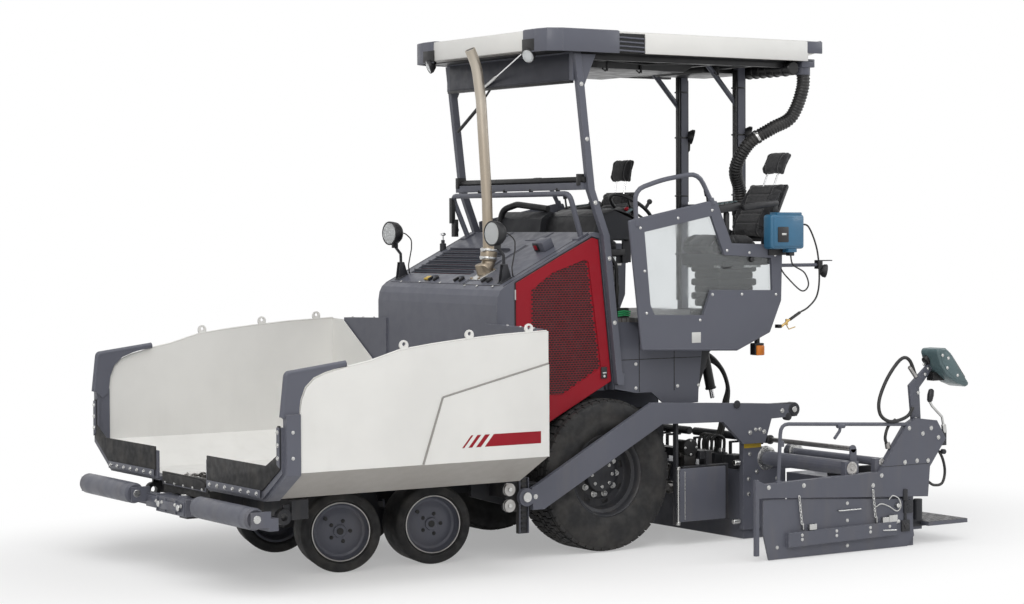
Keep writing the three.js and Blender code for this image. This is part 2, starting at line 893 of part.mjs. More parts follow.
function bodyTank() {
  const y = HOOD_HALF;
  const side = [
    [-118, BODY_BOTTOM + 35],
    [-84, FLOOR_Z - GAP],
    [BODY_REAR - 20, FLOOR_Z - GAP],
    [BODY_REAR, 1380],
    [BODY_REAR + 30, BODY_BOTTOM],
    [-300, BODY_BOTTOM],
  ];
  const main = sidePlate(side, -y, y);
  const aprons = SIDES.map(([, s]) =>
    sidePlate(
      [
        [BODY_REAR + 30, BODY_BOTTOM + 5],
        [BODY_REAR + 34, 1006],
        [-560, 1000],
        [-430, BODY_BOTTOM + 5],
      ],
      s * (y - 14),
      s * y,
    ),
  );
  const keel = box(-780, -130, -DECK_HALF - 26, DECK_HALF + 26, TUNNEL_TOP + GAP, BODY_BOTTOM + 5);
  return join(main, aprons, keel);
}

function platformFloor() {
  const slab = box(PLATFORM_REAR, -100, -PLATFORM_HALF, PLATFORM_HALF, FLOOR_Z, FLOOR_Z + FLOOR_T);
  const wings = SIDES.map(([, side]) =>
    sideBox(
      side,
      -1200,
      -240,
      PLATFORM_HALF - 10,
      SIDE_PANEL_Y - SIDE_PANEL_T - GAP,
      FLOOR_Z,
      FLOOR_Z + FLOOR_T,
    ),
  );
  return join(slab, wings);
}

// The panel beside the operator's floor, with its window and the hand rail above it.
function sidePanel(side) {
  const out = SIDE_PANEL_Y;
  const panel = sidePlate(
    [
      [-129, 2304],
      [-239, 1416],
      [-1078, 1389],
      [-1375, 1510],
      [-1478, 1733],
      [-1488, 2097],
      [-1450, 2126],
      [-1025, 2137],
      [-889, 2440],
      [-817, 2437],
    ],
    side * (out - SIDE_PANEL_T),
    side * out,
    [
      [
        [-301, 1723],
        [-250, 2234],
        [-843, 2345],
        [-961, 2066],
        [-1394, 2040],
        [-1403, 1807],
        [-842, 1818],
        [-770, 1641],
        [-335, 1652],
      ],
    ],
  );
  const y = side * (out - SIDE_PANEL_T / 2);
  const rail = bentTube(
    [
      [-190, y, 2285],
      [-172, y, 2527],
      [-420, y, 2602],
      [-735, y, 2650],
      [-862, y, 2430],
    ],
    17,
    90,
    10,
  );
  const inner = side * (out - SIDE_PANEL_T);
  const brackets = [-420, -950].map((x) => box(x, x + 60, inner - side * 90, inner + side, 1510, 1560));
  const lift = [-420, -950].map((x) =>
    box(x, x + 60, inner - side * 90, inner - side * 80, 1510, FLOOR_Z - GAP),
  );
  return join(panel, rail, brackets, lift);
}

function frontRail() {
  const half = POST_HALF;
  const rail = bentTube(
    [
      [130, -half + 60, hoodTop(130) + 8],
      [244, -half + 30, 2503],
      [244, half - 30, 2503],
      [130, half - 60, hoodTop(130) + 8],
    ],
    19,
    60,
    12,
  );
  const feet = SIDES.map(([, side]) =>
    sidePlate(
      [
        [85, hoodTop(85) + GAP],
        [175, hoodTop(175) + GAP],
        [175, hoodTop(175) + 12],
        [85, hoodTop(85) + 12],
      ],
      side * (half - 100),
      side * (half - 30),
    ),
  );
  return join(rail, feet);
}

// ---------------------------------------------------------------- canopy

function canopyFrontFrame() {
  const parts = [];
  const line = [
    [-132, 1170],
    [-16, 2208],
    [110, 2530],
    [222, 3470],
  ];
  for (const [, side] of SIDES) {
    const y = side * POST_HALF;
    parts.push(
      sidePlate(
        [
          ...line.map(([x, z]) => [x + 27, z]),
          ...line.map(([x, z]) => [x - 27, z]).reverse(),
        ],
        y + side * (8 + GAP),
        y + side * 48,
      ),
    );
    parts.push(
      sidePlate(
        [
          [190, 3180],
          [232, 3470],
          [60, 3470],
        ],
        y + side * 14,
        y + side * 30,
      ),
    );
    parts.push(sideBox(side, -165, -112, HOOD_HALF + GAP, HOOD_HALF + 48, 1160, 1240));
  }
  const half = POST_HALF + 20;
  parts.push(box(125, 180, -half, half, 2530, 2580));
  parts.push(box(236, 252, -half, half, 3283, 3474));
  parts.push(box(180, 250, -half, half, 3440, ROOF_BOTTOM - GAP));
  return join(parts);
}

const REAR_POST = { x: -1600, y: 350 };

function canopyRearFrame() {
  const parts = SIDES.map(([, side]) =>
    join(
      box(
        REAR_POST.x - 32,
        REAR_POST.x + 32,
        side * REAR_POST.y - 28,
        side * REAR_POST.y + 28,
        1490,
        ROOF_BOTTOM - GAP,
      ),
      rod([REAR_POST.x, side * REAR_POST.y, 3150], [REAR_POST.x + 300, side * REAR_POST.y, 3468], 20, 10),
    ),
  );
  const cross = box(REAR_POST.x - 20, REAR_POST.x + 20, -370, 370, 2380, 2440);
  const low = box(REAR_POST.x - 32, REAR_POST.x + 32, -370, 370, 1490, 1560);
  return join(parts, cross, low, box(-1640, PLATFORM_REAR - GAP, -370, 370, 1570, 1640));
}

function canopyRoof() {
  const half = ROOF_HALF;
  const plan = [
    [ROOF_FRONT - 110, -half],
    [ROOF_FRONT - 20, -half + 50],
    [ROOF_FRONT, -half + 150],
    [ROOF_FRONT, half - 150],
    [ROOF_FRONT - 20, half - 50],
    [ROOF_FRONT - 110, half],
    [ROOF_REAR, half],
    [ROOF_REAR, -half],
  ];
  const slab = topPlate(plan, ROOF_BOTTOM, ROOF_TOP);
  const tail = sidePlate(
    [
      [ROOF_REAR - 10, ROOF_BOTTOM - 10],
      [-1700, ROOF_BOTTOM - 10],
      [-1700, ROOF_BOTTOM],
      [ROOF_REAR - 10, ROOF_TOP - 70],
    ],
    -half - 10,
    half + 10,
  );
  return cut(slab, tail);
}

// ---------------------------------------------------------------- operator's place

const WHEEL_AT = [-700, 200, 2400];
const WHEEL_TILT = 38;

function operatorConsole() {
  const [x, y, z] = WHEEL_AT;
  const column = box(-420, -250, y - 130, y + 130, FLOOR_Z + FLOOR_T + GAP, 2200);
  const pod = sidePlate(
    [
      [-150, 2180],
      [-200, 2350],
      [-330, 2390],
      [-560, 2300],
      [-560, 2180],
    ],
    y - 330,
    y + 300,
  );
  const tilt = THREE.MathUtils.degToRad(WHEEL_TILT);
  const along = (reach) => [x + reach * Math.sin(tilt), y, z - reach * Math.cos(tilt)];
  const stem = join(
    rod(along(16 + GAP), along(90), 20, 12),
    rod(along(80), [-480, y, 2200], 24, 12),
  );
  const cowl = sidePlate(
    [
      [-100, 2190],
      [-120, 2330],
      [-200, 2385],
      [-330, 2350],
      [-330, 2190],
    ],
    -730,
    y - 320,
  );
  return join(column, pod, stem, cowl);
}

function steeringWheel() {
  const rim = turnedY(
    [0, 1, 2, 3, 4, 5].map((i) => {
      const a = (i * Math.PI) / 3;
      return [175 + 14 * Math.cos(a), 14 * Math.sin(a)];
    }),
    20,
  );
  const spokes = [0, 120, 240].map((deg) => {
    const a = THREE.MathUtils.degToRad(deg);
    return rod([0, -4, 0], [168 * Math.cos(a), 0, 168 * Math.sin(a)], 11, 8);
  });
  return join(rim, spokes, rod([0, -16, 0], [0, 10, 0], 42, 16));
}

// One seat is laid out from its own middle line and the hinge of its back.
const SEATS = {
  left: { x: -1400, y: 715, lean: 27, back: 590 },
  right: { x: -1180, y: -700, lean: 12, back: 510 },
};
const SEAT_HINGE_Z = 2215;
const SEAT_HALF = 215;

function seatBase({ x, y }) {
  const foot = box(x + 60, x + 420, y - 170, y + 170, FLOOR_Z + FLOOR_T + GAP, 1670);
  const stem = box(x + 120, x + 360, y - 110, y + 110, 1660, 2000);
  const pan = box(x + 10, x + 470, y - 200, y + 200, 1990, 2070 - GAP);
  const wide = SEAT_HALF + 2;
  const crossbar = box(x + 10, x + 60, y - wide, y + wide, 1990, 2070 - GAP);
  const ears = [-1, 1].map((side) =>
    sideBox(1, x - 20, x + 60, y + side * (SEAT_HALF - 10 + GAP), y + side * wide, 1995, 2240),
  );
  return join(foot, stem, pan, crossbar, ears);
}

function seatCushion({ x, y }) {
  return sidePlate(
    [
      [x + 70, 2070],
      [x + 480, 2070],
      [x + 500, 2100],
      [x + 490, 2185],
      [x + 440, 2212],
      [x + 90, 2180],
      [x + 70, 2150],
    ],
    y - SEAT_HALF,
    y + SEAT_HALF,
  );
}

function seatBack({ x, y, lean, back }) {
  const a = THREE.MathUtils.degToRad(lean);
  const at = (along, out) => [
    x - along * Math.sin(a) + out * Math.cos(a),
    SEAT_HINGE_Z + along * Math.cos(a) + out * Math.sin(a),
  ];
  const pad = sidePlate(
    [
      at(-55, -30),
      at(-55, 30),
      at(40, 60),
      at(back - 190, 45),
      at(back - 160, 20),
      at(back - 165, -40),
      at(20, -50),
    ],
    y - SEAT_HALF + 10,
    y + SEAT_HALF - 10,
  );
  const head = sidePlate(
    [
      at(back - 110, -40),
      at(back - 115, 20),
      at(back - 85, 60),
      at(back + 70, 55),
      at(back + 100, 10),
      at(back + 90, -40),
    ],
    y - 125,
    y + 125,
  );
  const [fromX, fromZ] = at(back - 200, 0);
  const [toX, toZ] = at(back - 60, 0);
  const posts = [-60, 60].map((dy) => rod([fromX, y + dy, fromZ], [toX, y + dy, toZ], 9, 8));
  return join(pad, head, posts);
}

// The ribbed air hose from the roof down to the floor behind the seats.
const DUCT_R = 50;
const DUCT_PATH = [
  [-1835, 800, 3478],
  [-1835, 800, 3290],
  [-1770, 750, 3080],
  [-1620, 700, 2990],
  [-1480, 610, 2880],
  [-1445, 500, 2700],
  [-1530, 445, 2520],
  [-1560, 450, 2200],
  [-1510, 460, 1760],
  [-1510, 460, 1690],
  [-1510, 460, FLOOR_Z + FLOOR_T + GAP],
];

function airDuct() {
  const curve = new THREE.CatmullRomCurve3(DUCT_PATH.map((p) => new THREE.Vector3(...p)));
  const ring = new THREE.Shape();
  ring.absarc(0, 0, DUCT_R, 0, 2 * Math.PI, false);
  const geometry = new THREE.ExtrudeGeometry(ring, {
    steps: 24,
    curveSegments: 5,
    extrudePath: curve,
    bevelEnabled: false,
  });
  return solidAnyWay(geometry);
}

function controlBox() {
  const y0 = SIDE_PANEL_Y + GAP;
  const back = box(-1560, -1320, y0, y0 + 8, 2050, 2120);
  return join(back, box(-1610, -1300, y0 + 6, y0 + 120, 2105, 2360));
}

// ---------------------------------------------------------------- screed

const AUGER = { x: -1005, z: 350, r: 155, in: 75, out: 868 };

function augerMount() {
  const beam = box(FRAME_REAR - 90, FRAME_REAR - GAP, -870, 870, 600, 660);
  const gearbox = box(AUGER.x - 60, FRAME_REAR - 20, -55, 55, AUGER.z - 70, 640);
  const sides = SIDES.map(([, side]) => {
    const drop = sideBox(side, FRAME_REAR - 90, FRAME_REAR - 40, 866, 888, 500, 660);
    const plate = sideBox(side, -1040, -629, 878, 915, 165, 563);
    return join(drop, plate);
  });
  return join(beam, gearbox, sides);
}

// One auger about its own shaft, with its flights as paddles.
function auger(side) {
  const shaft = rod([0, side * (55 + GAP), 0], [0, side * (878 - GAP), 0], 32, 12);
  const count = 10;
  const step = (AUGER.out - AUGER.in - 130) / (count - 1);
  const paddles = [];
  for (let i = 0; i < count; i += 1) {
    const a = i * Math.PI * 0.5;
    const y = AUGER.in + 60 + i * step;
    const tip = [AUGER.r * Math.cos(a), side * (y + 15), AUGER.r * Math.sin(a)];
    paddles.push(rod([0, side * y, 0], tip, 20, 6, 38));
  }
  return join(shaft, paddles);
}

function towArm(side) {
  const inner = side * (ARM_Y - ARM_T / 2);
  const outer = side * (ARM_Y + ARM_T / 2);
  const arm = sidePlate(
    [
      [690, 350],
      [700, 500],
      [655, 520],
      [-321, 1036],
      [-1176, 994],
      [-1640, 968],
      [-1664, 930],
      [-1640, 880],
      [-1400, 872],
      [-1340, 700],
      [-1138, 700],
      [-955, 868],
      [-408, 880],
      [600, 350],
    ],
    inner,
    outer,
  );
  const eye = rod([TOW_POINT_X, inner, TOW_POINT_Z], [TOW_POINT_X, outer, TOW_POINT_Z], 62, 24);
  const hole = rod(
    [TOW_POINT_X, inner - side * 10, TOW_POINT_Z],
    [TOW_POINT_X, outer + side * 10, TOW_POINT_Z],
    22 + GAP,
    24,
  );
  return cut(join(arm, eye), hole);
}

const TUBES = {
  left: [
    { x: -1385, z: 583, r: 52 },
    { x: -1660, z: 612, r: 30 },
  ],
  right: [
    { x: -1500, z: 583, r: 52 },
    { x: -1740, z: 612, r: 30 },
  ],
};

function screedMain() {
  const y = SCREED_HALF;
  const body = box(SCREED_REAR, SCREED_FRONT, -y, y, SCREED_BOTTOM, SCREED_TOP - 20);
  const parts = [body];
  for (const [name, side] of SIDES) {
    parts.push(
      sidePlate(
        [
          [-1165, 74],
          [-1165, 760],
          [-1330, 760],
          [-1330, 500],
          [-1560, 500],
          [-1560, 74],
        ],
        side * (y - 20),
        side * (ARM_Y - ARM_T / 2 - GAP),
      ),
    );
    for (const { x, z, r } of TUBES[name]) {
      const collar = rod([x, side * (y - 45), z], [x, side * (y + 25), z], r + 28, 18);
      const bore = rod([x, side * (y - 60), z], [x, side * (y + 40), z], r + 1, 18);
      const front = Math.min(x + 40, -1300);
      const post = sideBox(side, Math.max(x - 40, -1800), front, y - 40, y + 20, 505, z - r - 6);
      const reach = sideBox(side, Math.min(x - 40, -1500), -1330, y - 40, y + 20, 495, 522);
      parts.push(cut(join(collar, post, reach), bore));
    }
  }
  return join(parts);
}

// An extension with its end frame and hand rail, drawn run out as parked.
function screedExtension(name, side) {
  const inner = EXT_IN + EXT_TRAVEL;
  const outer = EXT_OUT + EXT_TRAVEL;
  const body = sideBox(side, EXT_REAR, SCREED_REAR - CLEAR, inner, outer + 2, SCREED_BOTTOM, 470);
  const frame = sidePlate(
    [
      [-536, 430],
      [-536, 548],
      [-604, 520],
      [-1624, 544],
      [-1878, 862],
      [-1973, 907],
      [-2166, 883],
      [-2253, 750],
      [-2099, 558],
      [-2080, 345],
      [-586, 430],
    ],
    side * outer,
    side * (outer + END_T),
  );
  const post = sideBox(side, -537, -507, outer, outer + END_T, 40, 556);
  const ledge = sideBox(side, -1620, -600, outer - 30, outer + 1, 500, 516);
  const rail = bentTube(
    [
      [-712, side * (outer + END_T / 2), 505],
      [-735, side * (outer + END_T / 2), 926],
      [-1915, side * (outer + END_T / 2), 866],
    ],
    13,
    70,
    8,
  );
  const parts = [body, frame, post, ledge, rail, walkway(side)];
  for (const { x, z, r } of TUBES[name]) {
    parts.push(rod([x, side * (SCREED_HALF - 45), z], [x, side * (outer - 30), z], r, 18));
    parts.push(sideBox(side, x - 62, x + 62, outer - 40, outer + 2, 455, z + r - 4));
  }
  return join(parts);
}

// The plate that hangs in the end frame and closes the side of the mat.
function endGate(side) {
  const outer = EXT_OUT + EXT_TRAVEL;
  const y0 = side * (outer + 2 + GAP);
  const gate = sidePlate(
    [
      [-577, 200],
      [-629, SCREED_BOTTOM],
      [-1889, SCREED_BOTTOM],
      [-1956, 75],
      [-1908, 339],
      [-700, 415],
      [-577, 415],
    ],
    y0,
    side * (outer + 17),
  );
  const board = sidePlate(
    [
      [-779, 80],
      [-1766, 95],
      [-1766, 190],
      [-779, 180],
    ],
    side * (outer + 16),
    side * (outer + 44),
  );
  return join(gate, board);
}

function screedConsole(side) {
  const y = side * (EXT_OUT + EXT_TRAVEL - 24 - GAP);
  const arm = sidePlate(
    [
      [-1960, 830],
      [-1925, 1140],
      [-2115, 1290],
      [-2160, 1262],
      [-2020, 1120],
      [-2040, 830],
    ],
    y,
    y + side * 24,
  );
  const head = sidePlate(
    [
      [-2070, 1400],
      [-2184, 1404],
      [-2300, 1300],
      [-2458, 1143],
      [-2430, 1118],
      [-2165, 1205],
      [-2090, 1300],
    ],
    y - side * 130,
    y + side * 150,
  );
  return join(arm, head);
}

function walkway(side) {
  const inner = EXT_IN + EXT_TRAVEL;
  const outer = EXT_OUT + EXT_TRAVEL;
  const plank = sideBox(side, -2490, -2110, inner, outer, 128, 156);
  const brackets = [inner + 80, outer - 120].map((y) =>
    sideBox(side, -2120, EXT_REAR + 4, y, y + 40, 100, 250),
  );
  return join(plank, brackets);
}

// ---------------------------------------------------------------- assembly

const paver = new THREE.Group();

function add(name, body, finishOf, parent = paver) {
  const mesh = node(name, body, finishOf);
  parent.add(mesh);
  return mesh;
}

// A group of its own at a point, turned about the vertical.
function station(x, y, z, turn = 0) {
  const group = new THREE.Group();
  group.position.set(x, y, z);
  group.rotation.z = THREE.MathUtils.degToRad(turn);
  paver.add(group);
  return group;
}

add("main_frame", mainFrame(), DARK);
add("conveyor_floor", conveyorFloor(), STEEL);
add("centre_flap", centreFlap(), RUBBER);
add("push_beam", pushBeam(), GREY);
add("hood_shell", hoodShell(), GREY);
add("hood_lid", hoodLid(), GREY);
add("engine_block", engineBlock(), DARK);
add("exhaust_pipe", exhaustPipe(), EXHAUST);
add("rear_body", bodyTank(), GREY);
add("platform_floor", platformFloor(), GREY);
add("front_hand_rail", frontRail(), GREY);
add("canopy_front_frame", canopyFrontFrame(), GREY);
add("canopy_rear_frame", canopyRearFrame(), GREY);
add("canopy_roof", canopyRoof(), WHITE);
add("operator_console", operatorConsole(), DARK);
const steering = station(...WHEEL_AT);
steering.rotation.set(Math.PI / 2, 0, 0);
const wheelTilt = new THREE.Group();
wheelTilt.rotation.z = THREE.MathUtils.degToRad(WHEEL_TILT);
steering.add(wheelTilt);
add("steering_wheel", steeringWheel(), DARK, wheelTilt);
add("air_duct", airDuct(), RUBBER);
add("control_box", controlBox(), BLUE);
add("auger_mount", augerMount(), GREY);
add("screed_main", screedMain(), GREY);

for (const [name, side] of SIDES) {
  add(`frame_side_${name}`, frameSide(side), DARK);
  FRONT_AXLE_X.forEach((x, i) => {
    const pair = ["front", "middle"][i];
    const pin = station(x, side * KINGPIN_Y, FRONT_TYRE_R, -STEER_DEG[i]);
    add(`${pair}_knuckle_${name}`, knuckle(side), DARK, pin);
    const wheel = add(`${pair}_wheel_${name}`, frontWheel(side), RUBBER, pin);
    wheel.position.y = side * (FRONT_WHEEL_MID - KINGPIN_Y);
  });
  const rear = station(0, side * (REAR_WHEEL_OUT - REAR_TYRE_W / 2), REAR_TYRE_R);
  add(`rear_wheel_${name}`, rearWheel(side), RUBBER, rear);
  add(`hopper_wing_${name}`, wing(side), WHITE);
  add(`wing_front_${name}`, wingFront(side), GREY);
  add(`push_roller_${name}`, pushRoller(side), GREY, station(ROLLER_X, 0, ROLLER_Z));
  add(`side_door_${name}`, sideDoor(side), RED);
  add(`hood_lamp_${name}`, hoodLamp(side), DARK);
  add(`side_panel_${name}`, sidePanel(side), GREY);
  add(`seat_base_${name}`, seatBase(SEATS[name]), DARK);
  add(`seat_cushion_${name}`, seatCushion(SEATS[name]), FABRIC);
  add(`seat_back_${name}`, seatBack(SEATS[name]), FABRIC);
  add(`auger_${name}`, auger(side), STEEL, station(AUGER.x, 0, AUGER.z));
  add(`tow_arm_${name}`, towArm(side), GREY);
  add(`screed_extension_${name}`, screedExtension(name, side), GREY);
  add(`end_gate_${name}`, endGate(side), GREY);
  add(`screed_console_${name}`, screedConsole(side), GREY);
}

// The frame's origin is on the ground under the middle of the whole machine.
const bounds = new THREE.Box3().setFromObject(paver);
paver.position.x = -(bounds.min.x + bounds.max.x) / 2;
paver.position.y = -(bounds.min.y + bounds.max.y) / 2;
paver.position.z = -bounds.min.z;

export default paver;
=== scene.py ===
"""A compact wheeled asphalt paver: its finishes and fine parts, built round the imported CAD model.

Metres, +X forward to the hopper, +Y to the machine's left, +Z up, ground at z = 0.
Along the machine, places are given from the rear axle, as a maker would; ahead() turns them into the frame.
"""

import json
import math

import bmesh
import bpy
from mathutils import Matrix, Vector


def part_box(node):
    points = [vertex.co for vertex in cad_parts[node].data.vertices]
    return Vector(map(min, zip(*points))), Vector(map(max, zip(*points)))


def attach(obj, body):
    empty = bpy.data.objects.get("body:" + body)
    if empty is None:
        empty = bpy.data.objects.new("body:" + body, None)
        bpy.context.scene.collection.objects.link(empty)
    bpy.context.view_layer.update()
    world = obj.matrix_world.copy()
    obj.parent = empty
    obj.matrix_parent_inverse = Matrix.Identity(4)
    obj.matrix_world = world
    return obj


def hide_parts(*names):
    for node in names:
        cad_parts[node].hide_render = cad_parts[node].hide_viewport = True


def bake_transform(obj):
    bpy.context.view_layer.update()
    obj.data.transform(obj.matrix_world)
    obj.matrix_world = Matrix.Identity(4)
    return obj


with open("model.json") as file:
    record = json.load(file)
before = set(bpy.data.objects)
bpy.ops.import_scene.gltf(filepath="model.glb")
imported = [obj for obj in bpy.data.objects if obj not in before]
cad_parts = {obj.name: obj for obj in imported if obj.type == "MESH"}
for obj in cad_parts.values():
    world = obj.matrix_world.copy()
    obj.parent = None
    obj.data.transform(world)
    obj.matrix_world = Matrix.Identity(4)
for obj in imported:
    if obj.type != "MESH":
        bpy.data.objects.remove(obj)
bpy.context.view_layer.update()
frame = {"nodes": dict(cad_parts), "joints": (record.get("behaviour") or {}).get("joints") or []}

LEFT, RIGHT = 1, -1
SIDES = {"left": LEFT, "right": RIGHT}


def middle(node):
    """The middle of a CAD node's box."""
    low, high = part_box(node)
    return (low + high) / 2


REAR_AXLE = middle("rear_wheel_left").x


def ahead(x, y=0.0, z=0.0):
    """The point x ahead of the rear axle, y to the left and z above the ground."""
    return Vector((REAR_AXLE + x, y, z))


def from_axle(outline):
    """An outline's points, with x counted ahead of the rear axle."""
    return [(ahead(x).x, z) for x, z in outline]


def beside(side):
    """A call like ahead(), with y counted outwards on one side of the machine."""
    return lambda x, y, z: ahead(x, side * y, z)


# ---------------------------------------------------------------- materials


class Finish:
    """A node material with a Principled shader, and short calls for the nodes that feed it."""

    def __init__(self, name):
        self.material = bpy.data.materials.new(name)
        self.material.use_nodes = True
        self.tree = self.material.node_tree
        self.shader = self.tree.nodes["Principled BSDF"]
        self.place = self.node("ShaderNodeTexCoord").outputs["Object"]

    def node(self, kind, **settings):
        made = self.tree.nodes.new(kind)
        for key, value in settings.items():
            setattr(made, key, value)
        return made

    def feed(self, socket, value):
        if isinstance(value, bpy.types.NodeSocket):
            self.tree.links.new(value, socket)
        else:
            socket.default_value = value

    def set(self, **values):
        """Values of the Principled shader's sockets, with spaces written as underscores."""
        for key, value in values.items():
            self.feed(self.shader.inputs[key.replace("_", " ")], value)

    def noise(self, scale, detail=4.0, stretch=(1, 1, 1), roughness=0.5):
        at = self.place
        if stretch != (1, 1, 1):
            turned = self.node("ShaderNodeMapping")
            self.feed(turned.inputs["Vector"], self.place)
            turned.inputs["Scale"].default_value = stretch
            at = turned.outputs["Vector"]
        made = self.node("ShaderNodeTexNoise")
        self.feed(made.inputs["Vector"], at)
        made.inputs["Scale"].default_value = scale
        made.inputs["Detail"].default_value = detail
        made.inputs["Roughness"].default_value = roughness
        return made.outputs["Fac"]

    def math(self, operation, a, b=0.0, clamp=False):
        made = self.node("ShaderNodeMath", operation=operation, use_clamp=clamp)
        self.feed(made.inputs[0], a)
        self.feed(made.inputs[1], b)
        return made.outputs[0]

    def between(self, value, low, high, to_low=0.0, to_high=1.0):
        """value from low to high, as a smooth step from to_low to to_high."""
        made = self.node("ShaderNodeMapRange", interpolation_type="SMOOTHSTEP")
        self.feed(made.inputs["Value"], value)
        for name, number in (
            ("From Min", low),
            ("From Max", high),
            ("To Min", to_low),
            ("To Max", to_high),
        ):
            made.inputs[name].default_value = number
        return made.outputs["Result"]

    def mix(self, share, a, b):
        made = self.node("ShaderNodeMix", data_type="RGBA")
        self.feed(made.inputs["Factor"], share)
        self.feed(made.inputs["A"], rgba(a))
        self.feed(made.inputs["B"], rgba(b))
        return made.outputs["Result"]

    def part(self, letter):
        """One coordinate of the place on the piece."""
        made = self.node("ShaderNodeSeparateXYZ")
        self.feed(made.inputs[0], self.place)
        return made.outputs[letter]

    def edges(self, radius):
        """How near the point is to a sharp edge, and the normal with that edge rounded."""
        rounded = self.node("ShaderNodeBevel", samples=4)
        rounded.inputs["Radius"].default_value = radius
        geometry = self.node("ShaderNodeNewGeometry")
        dot = self.node("ShaderNodeVectorMath", operation="DOT_PRODUCT")
        self.feed(dot.inputs[0], rounded.outputs["Normal"])
        self.feed(dot.inputs[1], geometry.outputs["Normal"])
        near = self.between(dot.outputs["Value"], 0.8, 0.985, 1.0, 0.0)
        return near, rounded.outputs["Normal"]

    def facing_down(self, most):
        """0 on faces that look up or level, rising to most on those that look down."""
        geometry = self.node("ShaderNodeNewGeometry")
        parts = self.node("ShaderNodeSeparateXYZ")
        self.feed(parts.inputs[0], geometry.outputs["Normal"])
        return self.between(parts.outputs["Z"], -0.55, -0.08, most, 0.0)

    def bump(self, height, strength, depth=0.001, normal=None):
        made = self.node("ShaderNodeBump")
        made.inputs["Strength"].default_value = strength
        made.inputs["Distance"].default_value = depth
        self.feed(made.inputs["Height"], height)
        if normal is not None:
            self.feed(made.inputs["Normal"], normal)
        self.feed(self.shader.inputs["Normal"], made.outputs["Normal"])
        return made.outputs["Normal"]


def rgba(colour):
    return (*colour, 1.0) if isinstance(colour, tuple) and len(colour) == 3 else colour


DUST = (0.23, 0.2, 0.165)


def paint(
    name, colour, roughness=0.42, worn=(0.42, 0.42, 0.43), wear=0.35, dust=0.35, gloss=0.12, underside_shade=0.0
):
    """Enamel on sheet steel: faint orange peel, rubbed edges, dust that thickens downwards, and painted shade
    on faces that look down.
    """
    finish = Finish(name)
    near, rounded = finish.edges(0.006)
    broken = finish.between(finish.noise(38, 6), 0.42, 0.62)
    rubbed = finish.math("MULTIPLY", finish.math("MULTIPLY", near, broken), wear)
    cloud = finish.between(finish.noise(1.7, 5), 0.3, 0.75)
    shade = finish.mix(cloud, tuple(c * 0.95 for c in colour), tuple(min(1, c * 1.03) for c in colour))
    low = finish.between(finish.part("Z"), 0.15, 1.3, 0.55, 0.04)
    streaks = finish.between(finish.noise(9, 6, (1, 1, 0.18)), 0.44, 0.78)
    dusty = finish.math("MULTIPLY", finish.math("MULTIPLY", low, streaks), dust)
    coloured = finish.mix(dusty, shade, DUST)
    # Painted shade: faces that look down are mixed towards a warm dark grey.
    if underside_shade:
        coloured = finish.mix(finish.facing_down(underside_shade), coloured, (0.2, 0.175, 0.15))
    finish.set(
        Base_Color=finish.mix(rubbed, coloured, worn),
        Roughness=finish.between(finish.noise(14, 4), 0.3, 0.7, roughness - 0.06, roughness + 0.1),
        Coat_Weight=gloss,
        Coat_Roughness=0.18,
        Specular_IOR_Level=0.25,
    )
    finish.bump(finish.noise(260, 2), 0.05, 0.0006, rounded)
    return finish.material


def rubber(name, colour, dust=0.5, roughness=0.8, grain=420):
    """Black rubber with a dusty bloom and a fine grain."""
    finish = Finish(name)
    near, rounded = finish.edges(0.004)
    cloud = finish.between(finish.noise(7, 6), 0.38, 0.72, 0.0, dust)
    coloured = finish.mix(cloud, colour, (0.085, 0.078, 0.07))
    light = finish.math("MULTIPLY", near, 0.25)
    finish.set(
        Base_Color=finish.mix(light, coloured, (0.12, 0.115, 0.11)),
        Roughness=finish.between(finish.noise(22, 4), 0.3, 0.7, roughness - 0.1, roughness + 0.08),
    )
    finish.bump(finish.noise(grain, 3), 0.18, 0.0008, rounded)
    return finish.material


def metal(name, colour, roughness=0.3, grain=(1, 1, 1), stain=0.3, stain_colour=(0.1, 0.075, 0.05)):
    """Bare or plated metal, with a drawn grain and stains."""
    finish = Finish(name)
    _, rounded = finish.edges(0.003)
    stained = finish.between(finish.noise(11, 7), 0.48, 0.74, 0.0, stain)
    finish.set(
        Base_Color=finish.mix(stained, colour, stain_colour),
        Metallic=finish.between(stained, 0.0, 1.0, 1.0, 0.35),
        Roughness=finish.between(
            finish.noise(60, 4, grain), 0.25, 0.75, roughness * 0.7, roughness * 1.35
        ),
    )
    finish.bump(finish.noise(160, 3, grain), 0.06, 0.0005, rounded)
    return finish.material


def moulded(name, colour, roughness=0.5, grain=700, clear=0.0):
    """Moulded plastic with a fine leather grain and scuffed edges."""
    finish = Finish(name)
    near, rounded = finish.edges(0.004)
    scuffed = finish.math("MULTIPLY", near, finish.between(finish.noise(30, 5), 0.4, 0.7, 0.0, 0.3))
    cloud = finish.between(finish.noise(5, 5), 0.3, 0.75)
    shade = finish.mix(cloud, tuple(c * 0.86 for c in colour), tuple(min(1, c * 1.1) for c in colour))
    finish.set(
        Base_Color=finish.mix(scuffed, shade, (0.25, 0.25, 0.25)),
        Roughness=finish.between(finish.noise(18, 4), 0.3, 0.7, roughness - 0.07, roughness + 0.07),
        Coat_Weight=clear,
    )
    finish.bump(finish.noise(grain, 2), 0.1, 0.0005, rounded)
    return finish.material


